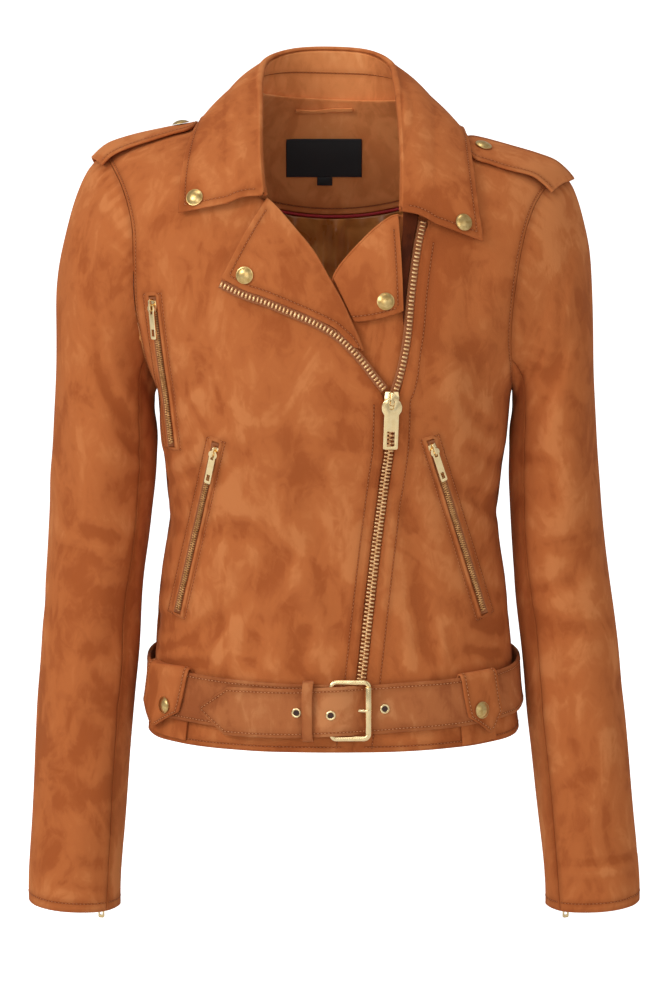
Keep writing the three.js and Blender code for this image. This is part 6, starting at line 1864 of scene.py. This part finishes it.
@dataclass
class Belt:
    """The belt round the waist, its tabs, the loop at the back and the keeper."""

    turn_step: float = 0.8
    tip_turn: float = -390.4
    tip_share: float = 0.12
    edge_inset: float = 3.2
    tab_rise: float = 3.2

    def turns(self) -> np.ndarray:
        """Returns the angles of the belt's cross lines, in degrees."""
        return np.linspace(BELT.key[0], BELT.key[-1], int((BELT.key[0] - BELT.key[-1]) / self.turn_step))

    def belt_point(self, turn: np.ndarray, way: np.ndarray, inset: float = 0.0) -> np.ndarray:
        """A place on the belt's outer face.

        Args:
            turn: Angle round the body in degrees.
            way: Place across, from -1 at the lower edge to 1 at the upper one.
            inset: Distance kept from both edges.

        Returns:
            The points.
        """
        tip = np.clip((self.tip_turn - turn) / (self.tip_turn - BELT.key[-1]), 0, 1)
        half = BELT_WIDTH / 2 * mix(1, self.tip_share, tip) - inset
        return TORSO_FORM.over(np.radians(turn), BELT.at(turn, "z") + way * half, BELT.at(turn, "out"))

    def tab_grid(self, low: float, high: float, tip: float, slip: float) -> np.ndarray:
        """Works out a tab that comes up behind the belt, folds over it and ends in a point.

        Args:
            low: Angle of its one side in degrees.
            high: Angle of its other side in degrees.
            tip: Angle of its point in degrees.
            slip: How far its lower part is turned to the side, in degrees.

        Returns:
            The grid of points.
        """
        behind = [(-36.4, 0.8), (-22, 0.8), (0, 0.8), (15, 0.8), (19, 0.95), (22.4, 2.2), (23.6, 5.0)]
        before = [(22.6, 8.8), (19.4, 10.3), (14, 10.4), (0, 10.4), (-13, 10.4), (-21, 10.3), (-29, 9.9)]
        path = np.array(behind + before, float)
        run = line_length(path)
        at = np.linspace(0, run[-1], 100)
        corner = run[len(behind) + 4]
        at = np.sort(np.concatenate([at, [corner]]))[:, None]
        high_at, out_at = (np.interp(at, run, path[:, k]) for k in range(2))
        for _ in range(3):
            out_at[1:-1] = (out_at[:-2] + 2 * out_at[1:-1] + out_at[2:]) / 4
            high_at[1:-1] = (high_at[:-2] + 2 * high_at[1:-1] + high_at[2:]) / 4
        is_before = at > run[len(behind) - 1] + 1
        u = np.linspace(0, 1, 30)[None, :]
        close = np.interp(at, [corner, run[-1]], [0, 0.9])
        lowered = np.clip((20 - high_at) / 33, 0, 1) * np.where(is_before, 1, 0.3)
        turn = mix(mix(low, high, u) + slip * lowered, tip, close)
        around = np.where(turn < 0, turn, turn - 360)
        spread = BELT.at(around, "out") - 7.2
        out = out_at + np.where(is_before, spread, 0.0)
        return TORSO_FORM.over(np.radians(turn), BELT.at(around, "z") + high_at, out)

    def build(self) -> None:
        """Makes the belt and what holds it."""
        turns = self.turns()
        grid = self.belt_point(turns[None, :], np.linspace(1, -1, 15)[:, None])
        self.cloth = Cloth(grid, BELT_THICK, away=BACKWARD, round_edge=0.9)
        self.cloth.flip = bool(self.cloth.normals[7, len(turns) // 2] @ BACKWARD < 0) != self.cloth.flip
        rows = SEWING.sew("belt", self.cloth.edge(Side.TOP, self.edge_inset).cut(2, 2),
                          self.cloth.edge(Side.BOTTOM, self.edge_inset).cut(2, 2))
        made = settle(self.cloth.build("belt_cloth", BELT_FINISH, None, rows), ["belt"])
        declare(made, self.cloth)
        self.tabs = {}
        for name, sizes in (("belt_tab_right", (-73, -47, -64, -3)), ("belt_tab_left", (38.5, 55.5, 51, 2.2))):
            cloth = Cloth(self.tab_grid(*sizes), 2.0, away=None)
            if cloth.normals[78, 15] @ FORWARD < 0:
                cloth.flip, cloth.normals = True, -cloth.normals
            self.tabs[name] = cloth
            rows = SEWING.sew("belt_tabs", cloth.edge(Side.LEFT, 3.4).cut(62, 3), cloth.edge(Side.RIGHT, 3.4).cut(62, 3))
            made = settle(cloth.build(name + "_cloth", SUEDE_FINISH, None, rows), [name])
            declare(made, cloth)
        self.build_loop()
        self.build_keeper()

    def build_keeper(self) -> None:
        """Makes the rounded loop that keeps the strap's end down."""
        low, high = node_box("belt_keeper")
        middle, half = (low + high) / 2, (high - low) / 2
        turn = np.linspace(0, math.tau, 97)[:-1][None, :]
        share = np.linspace(-1, 1, 9)[:, None]
        bulge = 1 - 0.06 * share**2
        power = 2 / 4.5
        shape = lambda wave: np.sign(wave) * np.abs(wave) ** power
        grid = np.stack([
            middle[0] + half[0] * share + 0.5 * np.cos(2 * turn),
            middle[1] + half[1] * shape(np.sin(turn)) * bulge,
            middle[2] + half[2] * shape(np.cos(turn)) * (1.0 + 0 * share),
        ], -1)
        cloth = Cloth(grid, 1.5, closed=True, away=None, round_edge=0.6)
        if cloth.normals[4, 0] @ (grid[4, 0] - middle) < 0:
            cloth.flip, cloth.normals = True, -cloth.normals
        made = settle(cloth.build("belt_keeper_cloth", BELT_FINISH), ["belt_keeper"])
        declare(made, cloth)

    def build_loop(self) -> None:
        """Makes the loop that holds the belt at the back."""
        path = Table("z out", [(-449, 2.2), (-453, 5.4), (-456.5, 8.6), (-460, 8.8), (-478, 8.8), (-496, 8.8),
                               (-499.5, 8.6), (-503, 5.4), (-507, 2.2)])
        z = np.linspace(-449, -507, 60)[:, None]
        u = np.linspace(0, 1, 12)[None, :]
        cloth = Cloth(TORSO_FORM.over(math.pi + mix(-0.09, 0.09, u), z + 0 * u, path.at(z, "out") + 0 * u), SUEDE, away=BACKWARD)
        rows = SEWING.sew("belt_loop", cloth.edge(Side.LEFT, 2.6).cut(7, 7), cloth.edge(Side.RIGHT, 2.6).cut(7, 7))
        made = settle(cloth.build("loop_back_cloth", SUEDE_FINISH, None, rows), ["belt_loop_back"])
        declare(made, cloth)


def strip(points: np.ndarray, normals: np.ndarray, width: float, columns: int = 3) -> np.ndarray:
    """Lays a strip along a line on cloth.

    Args:
        points: Points of its middle line.
        normals: The way the cloth faces at each.
        width: Width of the strip.
        columns: Points across it.

    Returns:
        The grid, with a row for each point.
    """
    ahead = unit(np.gradient(points, axis=0))
    across = unit(np.cross(normals, ahead))
    share = np.linspace(-0.5, 0.5, columns)[None, :, None]
    return points[:, None] + across[:, None] * share * width


@dataclass
class Zips:
    """The main zip, the pocket zips and the cuff zips, with their tapes, teeth, sliders and pulls."""

    chain_out: float = 1.3
    band_out: float = 2.9
    slider_gap: float = 8.2
    main_pitch: float = 3.2
    small_pitch: float = 2.0
    cuff_turn: float = math.radians(-116)

    def teeth(self, name: str, node: str, line: Line, width: float, pitch: float, rows: int) -> None:
        """Makes the metal teeth of one zip.

        Args:
            name: Name of the piece.
            node: Name of its solid.
            line: Its middle line.
            width: Width of the teeth's band.
            pitch: Distance between two teeth of one row.
            rows: 2 for a closed zip, 1 for one open row.
        """
        share = 0.6 if rows == 2 else 1.0
        unit_tooth = Unit.tooth(width * share, pitch * 0.56, 1.7 if width > 5 or rows == 1 else 1.3)
        origins, ways = line_frames(line, pitch / rows)
        across = ways[:, 1]
        turned_ways = np.stack([across, ways[:, 0], np.cross(across, ways[:, 0])], 1)
        if turned_ways[0, 2] @ ways[0, 2] < 0:
            turned_ways[:, 2] *= -1
            turned_ways[:, 0] *= -1
        if rows == 2:
            sides = np.where(np.arange(len(origins)) % 2 == 0, 1.0, -1.0)
            origins = origins + across * (sides * width * (1 - share) / 2)[:, None]
        settle(unit_tooth.copies(name, origins, turned_ways, TEETH_FINISH if width > 5 or rows == 1 else SMALL_TEETH_FINISH), [node])

    def tape(self, name: str, line: Line, width: float, deep: float, finish: Finish | None = None) -> None:
        """Makes a woven tape that lies under a zip's teeth."""
        grid = strip(line.points - line.normals * deep, line.normals, width, 9)
        cloth = Cloth(grid, 0.6, away=None, round_edge=0.2)
        middle = len(grid) // 2
        if cloth.normals[middle, 4] @ line.normals[middle] < 0:
            cloth.flip, cloth.normals = True, -cloth.normals
        made = settle(cloth.build(name, finish or TAPE_FINISH), [])
        declare(made, cloth)

    def build_main(self) -> None:
        """Makes the main zip."""
        z = np.linspace(SLIDER_Z - self.slider_gap, ZIP_END_Z - 1, 200)
        closed = front_line(ZIP_LINE.at(z, "x"), z, self.chain_out - 1.1)
        self.teeth("teeth_closed", "main_zip_closed", closed, CHAIN_WIDTH, self.main_pitch, 2)
        z = np.linspace(-96, SLIDER_Z + self.slider_gap, 130)
        x = ZIP_LINE.at(z + TORSO_FORM.lean(60, z), "x")
        self.teeth("teeth_left", "main_zip_strand_left", front_line(x, z, self.chain_out - 1.0), STRAND_WIDTH, self.main_pitch, 1)
        at = np.linspace(0, RIGHT_STRAND.last, 150)
        x, z, out = (RIGHT_STRAND.row(at, name) for name in ("x", "z", "out"))
        right = Line(TORSO_FORM.on_front(x, z, out - 1.0), TORSO_FORM.front_normal(x, z))
        self.teeth("teeth_right", "main_zip_strand_right", right, STRAND_WIDTH, self.main_pitch, 1)
        for name, line, side in (("tape_right", right, 1), ("tape_left", front_line(*self.left_tape()), 1)):
            self.tape(name, line, 7.0, 0.7)

    def left_tape(self) -> tuple[np.ndarray, np.ndarray, float]:
        """Returns the x, z and height of the line of the tape beside the open left row."""
        z = np.linspace(-96, SLIDER_Z + 4, 130)
        return ZIP_LINE.at(z + TORSO_FORM.lean(60, z), "x") - 0.4, z, 0.0

    def build_pocket(self, name: str) -> None:
        """Makes one pocket's welt, tape and teeth."""
        x1, z1, x2, z2, length = seen_pocket(name)
        t = np.linspace(5.2 / length, 1, 160)
        line = seen_line(mix(x1, x2, t), mix(z1, z2, t), self.band_out - 0.6)
        self.teeth("teeth_" + name, name + "_chain", line, SMALL_CHAIN, self.small_pitch, 2)
        t = np.linspace(-7 / length, 1 + 2.5 / length, 160)
        self.tape("tape_" + name, seen_line(mix(x1, x2, t), mix(z1, z2, t), 1.7), 6.4, 0)
        self.build_welt(name, x1, z1, x2, z2, length)

    def build_welt(self, name: str, x1: float, z1: float, x2: float, z2: float, length: float) -> None:
        """Makes the folded frame of suede round a pocket's zip."""
        ux, uz = (x2 - x1) / length, (z2 - z1) / length
        around = np.linspace(0, 1, 261)[:-1]
        half, low, high = 2.9, -8.0, length + 3.5
        corners = np.array([(low, -half), (high, -half), (high, half), (low, half), (low, -half)], float)
        run = line_length(corners)
        along = np.interp(around * run[-1], run, corners[:, 0])
        side = np.interp(around * run[-1], run, corners[:, 1])
        rows = []
        for away, out in ((0.0, 0.7), (0.0, 1.4), (0.35, 1.75), (0.9, 1.7), (1.5, 1.4), (2.1, 0.95), (2.7, 0.45), (3.1, 0.1)):
            a = along + np.where(along < low + 0.01, -away, np.where(along > high - 0.01, away, 0))
            s = side + np.sign(side) * np.where(np.abs(side) > half - 0.01, away, 0)
            rows.append(TORSO_FORM.seen_front(x1 + ux * a - uz * s, z1 + uz * a + ux * s, out))
        cloth = Cloth(np.array(rows), 0.5, closed=True, round_edge=0.1)
        middle = cloth.normals[3, 60]
        if middle @ FORWARD < 0:
            cloth.flip, cloth.normals = True, -cloth.normals
        made = settle(cloth.build("welt_" + name, SUEDE_FINISH, None, [Body().pocket_border(name, 7.6)]), [])
        declare(made, cloth)

    def build_cuff(self, side: int, word: str) -> None:
        """Makes one cuff's zip."""
        at = np.linspace(12.6, 14.5, 90)
        place = lambda out: sleeve_point(side, at, self.cuff_turn, out)
        normals = unit(place(5.0) - place(0.0))
        self.teeth(f"teeth_cuff_{word}", f"cuff_zip_{word}_chain", Line(place(1.2), normals), SMALL_CHAIN, self.small_pitch, 2)
        self.tape(f"tape_cuff_{word}", Line(place(0.75), normals), 9.0, 0)

    def build(self) -> None:
        """Makes all zips."""
        self.build_main()
        for name in POCKETS:
            self.build_pocket(name)
        for side, word in ((-1, "right"), (1, "left")):
            self.build_cuff(side, word)
        for name in ("main_zip", *POCKETS, "cuff_zip_right", "cuff_zip_left"):
            width = 0.5 if name == "main_zip" else 0.3
            settle(from_node(name + "_slider", "slider_" + name, GOLD_FINISH, width), [name + "_slider"])
            pull = from_node(name + "_pull", "pull_" + name, GOLD_FINISH, width * 0.8)
            settle(pull, [name + "_pull"], name + "_pull_tab")


@dataclass
class Hardware:
    """The snap caps, the buckle and the eyelets."""

    cap: tuple = ((0, 2.7), (1.6, 2.62), (3.0, 2.38), (4.3, 1.98), (5.3, 1.5), (6.0, 1.05), (6.35, 0.8), (6.9, 0.74), (7.0, 0.45),
                  (6.95, 0.05), (0, 0.05))
    eyelet: tuple = ((2.3, 0.05), (2.3, 0.5), (2.55, 0.85), (3.1, 0.98), (3.7, 0.86), (4.1, 0.5), (4.2, 0.05), (2.3, 0.05))
    snaps: tuple = ("collar_right", "collar_left", "lapel_right", "lapel_left", "tab_right", "tab_left",
                    "epaulette_right", "epaulette_left")

    def build(self) -> None:
        """Makes every piece of hardware."""
        for word in self.snaps:
            node = "snap_" + word
            outward = UPWARD if "epaulette" in word else FORWARD
            made = Seat.of(node, outward).place(turned("cap_" + word, self.cap, CAP_FINISH))
            settle(made, [node])
        for word in ("outer", "middle", "inner"):
            made = Seat.of("eyelet_" + word).place(turned("ring_" + word, self.eyelet, GOLD_FINISH, 28))
            settle(made, ["eyelet_" + word])
            # A dark disc in each eyelet paints the shade inside its hole.
            hole = Seat.of("eyelet_" + word).place(turned("hole_shade_" + word, ((0, 0.42), (2.45, 0.42), (2.45, 0.1), (0, 0.1)), HOLE_SHADE_FINISH, 24))
            settle(hole, [])
        settle(self.buckle(), ["buckle_frame"])
        settle(self.roller(), [])
        settle(from_node("buckle_prong", "prong_buckle", GOLD_FINISH, 0.5), ["buckle_prong"])

    def buckle(self) -> bpy.types.Object:
        """Models the buckle's rounded frame from a plane: corners cut, inset, extruded and rounded."""
        bpy.ops.object.select_all(action="DESELECT")
        bpy.ops.mesh.primitive_plane_add(size=MM)
        made = bpy.context.object
        made.name = "frame_buckle"
        bpy.ops.object.mode_set(mode="EDIT")
        bpy.ops.transform.resize(value=(34.4, 50, 1), center_override=(0, 0, 0))
        bpy.ops.mesh.bevel(offset=6 * MM, segments=6, affect="VERTICES")
        bpy.ops.mesh.select_all(action="SELECT")
        bpy.ops.mesh.inset(thickness=4.2 * MM, depth=0)
        bpy.ops.mesh.delete(type="FACE")
        bpy.ops.mesh.select_all(action="SELECT")
        bpy.ops.mesh.extrude_region_move(TRANSFORM_OT_translate={"value": (0, 0, 3.8 * MM)})
        bpy.ops.mesh.select_all(action="SELECT")
        bpy.ops.mesh.normals_make_consistent(inside=False)
        bpy.ops.object.mode_set(mode="OBJECT")
        made.data.materials.append(GOLD_FINISH.material())
        bevelled(made, 1.3, 4, 50)
        return Seat.of("buckle_frame").place(made)


    def roller(self) -> bpy.types.Object:
        """Models the roller on the buckle's outer bar from a cylinder."""
        low, high = node_box("buckle_frame")
        bpy.ops.object.select_all(action="DESELECT")
        bpy.ops.mesh.primitive_cylinder_add(vertices=40, radius=2.9 * MM, depth=(high[2] - low[2] - 11) * MM)
        made = bpy.context.object
        made.name = "roller_buckle"
        bpy.ops.object.mode_set(mode="EDIT")
        place = (high[0] - 2.6, (low[1] + high[1]) / 2 - 0.6, (low[2] + high[2]) / 2)
        bpy.ops.transform.translate(value=tuple(v * MM for v in place))
        bpy.ops.object.mode_set(mode="OBJECT")
        made.data.materials.append(GOLD_FINISH.material())
        return bevelled(made, 0.5, 3, 50)


@dataclass
class Inside:
    """What shows inside the back: facing, piping, lining, bare label and size tab, hanger loop."""

    half: float = 92.0
    facing: float = 1.4
    lining_low: float = -496.0

    @property
    def facing_deep(self) -> float:
        """Depth of the facing's outer face under the back panel's."""
        return SUEDE + 1.6

    @staticmethod
    def piping_z(x: np.ndarray) -> np.ndarray:
        """Returns the level of the piping."""
        return -100 + 0.0022 * x * x

    def gathers(self, x: np.ndarray, z: np.ndarray) -> np.ndarray:
        """Returns how far the lining's gathers stand in from its form, in their own uneven sizes."""
        below = np.clip(self.piping_z(x) - z, 0, None)
        near = np.exp(-below / 90)
        ripple = (0.9 * np.sin(x / 3.1 + 0.4 * np.sin(x / 17)) + 0.7 * np.sin(x / 5.3 + 1.3) + 0.5 * np.sin(x / 8.9 + 2.2)) * near
        long = 1.1 * np.sin(x / 15 + z / 160) + 0.7 * np.sin(x / 27 - z / 210 + 1.7)
        pleat = 2.6 * np.exp(-((x - 1) / 5.5) ** 2) - 1.4 * np.exp(-((x - 10) / 4.5) ** 2) - 1.4 * np.exp(-((x + 9) / 4.5) ** 2)
        return (ripple * 1.7 + long * 1.3 + pleat * 1.5) * smoothstep(below, 0, 14)

    def build(self) -> None:
        """Makes the pieces from the outside in."""
        u = np.linspace(-1, 1, 110)[None, :]
        x = u * self.half
        v = np.linspace(0, 1, 50)[:, None]
        top = np.where(np.abs(x) < 72, Body.back_top(x) + 6.2, TORSO_FORM.ridge(x) - 9)
        z = mix(top - LEAN * x, self.piping_z(x) + 0.3, v)
        facing = Cloth(TORSO_FORM.on_back(x + 0 * z, z, -self.facing_deep), self.facing, away=BACKWARD)
        line_x = np.linspace(-self.half + 4, self.half - 4, 150)
        row = self.inner_line(line_x, self.piping_z(line_x) + 5.5, self.facing_deep + self.facing + 0.05)
        rows = SEWING.sew("facing", row)
        declare(settle(facing.build("facing_cloth", LIT_FACING_FINISH, None, rows), ["facing_back"]), facing)
        self.build_piping()
        self.build_lining()
        self.build_labels()

    @staticmethod
    def inner_line(x: np.ndarray, z: np.ndarray, deep: float) -> Line:
        """Returns a line on the inside of the back, facing forward."""
        points = TORSO_FORM.on_back(x, z, -deep)
        outside = TORSO_FORM.on_back(x, z, 0.0)
        return Line(points, unit(points - outside))

    def build_piping(self) -> None:
        """Makes the piping: a round cord in a narrow red cover."""
        x = np.linspace(-self.half, self.half, 220)
        line = self.inner_line(x, self.piping_z(x) - 1.7, SUEDE + 1.2 + 1.4)
        ahead = unit(np.gradient(line.points, axis=0))
        across = unit(np.cross(line.normals, ahead))
        turn = np.linspace(0, math.tau, 13)[:-1]
        ring = np.cos(turn)[:, None, None] * across[None] * 1.3 + np.sin(turn)[:, None, None] * line.normals[None] * 1.15
        grid = (line.points[None] + ring).transpose(1, 0, 2)
        cloth = Cloth(grid, 0.5, closed=True, round_edge=0.1)
        outwards = grid[100, 3] - line.points[100]
        if cloth.normals[100, 3] @ outwards < 0:
            cloth.flip, cloth.normals = True, -cloth.normals
        made = settle(cloth.build("piping_cord", PIPING_FINISH), ["piping"])
        declare(made, cloth)

    def build_lining(self) -> None:
        """Makes the lining of the back, gathered under the piping."""
        side = np.linspace(-1, 1, 360)[None, :]
        v = np.linspace(0, 1, 150)[:, None] ** 1.15
        level = lambda x: mix(self.piping_z(np.minimum(np.abs(x), 118)) - 3.6, self.lining_low, v)
        x = side * 120
        z = level(x)
        for _ in range(8):
            reach = np.where(z > ARMPIT_Z, ARMHOLE.at(z, "back") - 13, TORSO.at(z, "width") * 0.985 - 3)
            x = side * reach
            z = level(x)
        grid = TORSO_FORM.on_back(x, z, -(SUEDE + 3.4) - self.gathers(x, z))
        cloth = Cloth(grid, 0.5, away=BACKWARD, round_edge=0.15)
        made = settle(cloth.build("lining_cloth", SATIN_FINISH), ["lining_back"])
        declare(made, cloth)

    def build_labels(self) -> None:
        """Makes the bare label, the bare size tab and the hanger loop."""
        deep = self.facing_deep + self.facing + 0.8
        for name, node, (left, right, top, low), columns in (
            ("label_cloth", "label", (-40.7, 24.4, -34, -66.6), 60),
            ("size_tab_cloth", "size_tab", (-14, -1, -66.8, -74), 16),
        ):
            x = np.linspace(left, right, columns)[None, :]
            z = np.linspace(top, low, max(int((top - low) / 1.1), 6))[:, None]
            belly = 0.5 * np.sin((x - left) / (right - left) * math.pi) * np.sin((top - z) / (top - low) * math.pi)
            cloth = Cloth(TORSO_FORM.on_back(x + 0 * z, z + 0 * x, -deep - belly), 0.7, away=BACKWARD, round_edge=0.2)
            made = settle(cloth.build(name, LABEL_FINISH), [node])
            declare(made, cloth)
        x = np.linspace(-34.5, 18.3, 90)
        bow = np.sin((x + 34.5) / 52.8 * math.pi)
        line = self.inner_line(x, -7 - 2.4 * bow, deep + 1.6)
        grid = strip(line.points, line.normals, 3.0, 7)
        cloth = Cloth(grid, 1.8, away=BACKWARD, round_edge=0.7)
        made = settle(cloth.build("hanger_loop_cord", LIT_FACING_FINISH), ["hanger_loop"])
        declare(made, cloth)


@dataclass
class Studio:
    """The pale backdrop, the lights and the camera of the photo."""

    floor_z: float = -0.7262
    camera_distance: float = 2.600
    aim: tuple = (0.0, 0.0, -0.335)
    elevation: float = math.radians(8)
    lens: float = 111.4

    def build(self) -> None:
        """Makes the backdrop, the lights and the camera."""
        self.backdrop()
        bpy.context.scene.view_settings.view_transform = "Standard"
        self.light("key", (-1.9, -1.8, 1.2), 1.2, 32)
        self.light("fill", (1.7, -2.4, 0.5), 1.6, 5)
        self.light("over", (-0.2, -0.3, 2.1), 1.2, 11)
        self.light("front", (-0.3, -2.8, 0.3), 1.2, 10)
        world = bpy.data.worlds.new("Studio")
        bpy.context.scene.world = world
        world.use_nodes = True
        world.node_tree.nodes["Background"].inputs["Color"].default_value = (1.0, 0.99, 0.97, 1.0)
        world.node_tree.nodes["Background"].inputs["Strength"].default_value = 0.42
        self.camera()

    def backdrop(self) -> None:
        """Makes the floor that curves up behind the jacket."""
        turn = np.linspace(0, math.pi / 2, 24)
        radius, behind, front, high = 1.2, 4.2, 6.0, 4.6
        y = np.concatenate([[-front], behind + radius * np.sin(turn), [behind + radius]])
        z = np.concatenate([[0], radius * (1 - np.cos(turn)), [high]])
        points = [(x, yy, self.floor_z + zz) for yy, zz in zip(y, z) for x in (-6.0, 6.0)]
        faces = [(2 * i, 2 * i + 1, 2 * i + 3, 2 * i + 2) for i in range(len(y) - 1)]
        mesh = bpy.data.meshes.new("backdrop")
        mesh.from_pydata(points, [], faces)
        mesh.shade_smooth()
        material = bpy.data.materials.new("white paper")
        material.use_nodes = True
        graph = Graph(material.node_tree)
        shader = graph.add("BsdfPrincipled", {"Base Color": (0.93, 0.93, 0.93, 1.0), "Roughness": 0.95})
        shader.inputs["Specular IOR Level"].default_value = 0.05
        shader.inputs["Emission Color"].default_value = (1.0, 1.0, 1.0, 1.0)
        seen = graph.math("MULTIPLY", graph.add("LightPath").outputs["Is Camera Ray"], 0.85)
        graph.tree.links.new(seen, shader.inputs["Emission Strength"])
        graph.add("OutputMaterial", {"Surface": shader.outputs[0]})
        mesh.materials.append(material)
        made = bpy.data.objects.new("backdrop", mesh)
        bpy.context.scene.collection.objects.link(made)

    def light(self, name: str, place: tuple[float, float, float], size: float, power: float) -> None:
        """Adds a soft square light that points at the jacket.

        Args:
            name: Name of the light.
            place: Where it stands, in metres.
            size: Side of the square, in metres.
            power: Its power in watts.
        """
        lamp = bpy.data.lights.new(name, "AREA")
        lamp.size, lamp.energy = size, power
        made = bpy.data.objects.new(name, lamp)
        made.location = place
        aim = Vector(self.aim) - Vector(place)
        made.rotation_euler = aim.to_track_quat("-Z", "Y").to_euler()
        bpy.context.scene.collection.objects.link(made)

    def camera(self) -> None:
        """Adds the camera at the photo's angle."""
        lens = bpy.data.cameras.new("photo")
        lens.lens, lens.sensor_width = self.lens, 36.0
        lens.sensor_fit = "AUTO"
        made = bpy.data.objects.new("photo", lens)
        reach = self.camera_distance
        aim = Vector(self.aim)
        made.location = aim + Vector((0.0, -math.cos(self.elevation), math.sin(self.elevation))) * reach
        made.rotation_euler = (aim - made.location).to_track_quat("-Z", "Y").to_euler()
        bpy.context.scene.collection.objects.link(made)
        bpy.context.scene.camera = made


def main() -> None:
    """Builds the jacket piece by piece, then the studio."""
    body = Body()
    sleeves = Sleeves(body)
    for built in (body, sleeves, Collar(), Lapels(), Epaulettes(sleeves), Belt(), Zips(), Hardware(), Inside(), SEWING, Studio()):
        LOG.info("building %s", type(built).__name__)
        built.build()


if __name__ == "__main__":
    main()
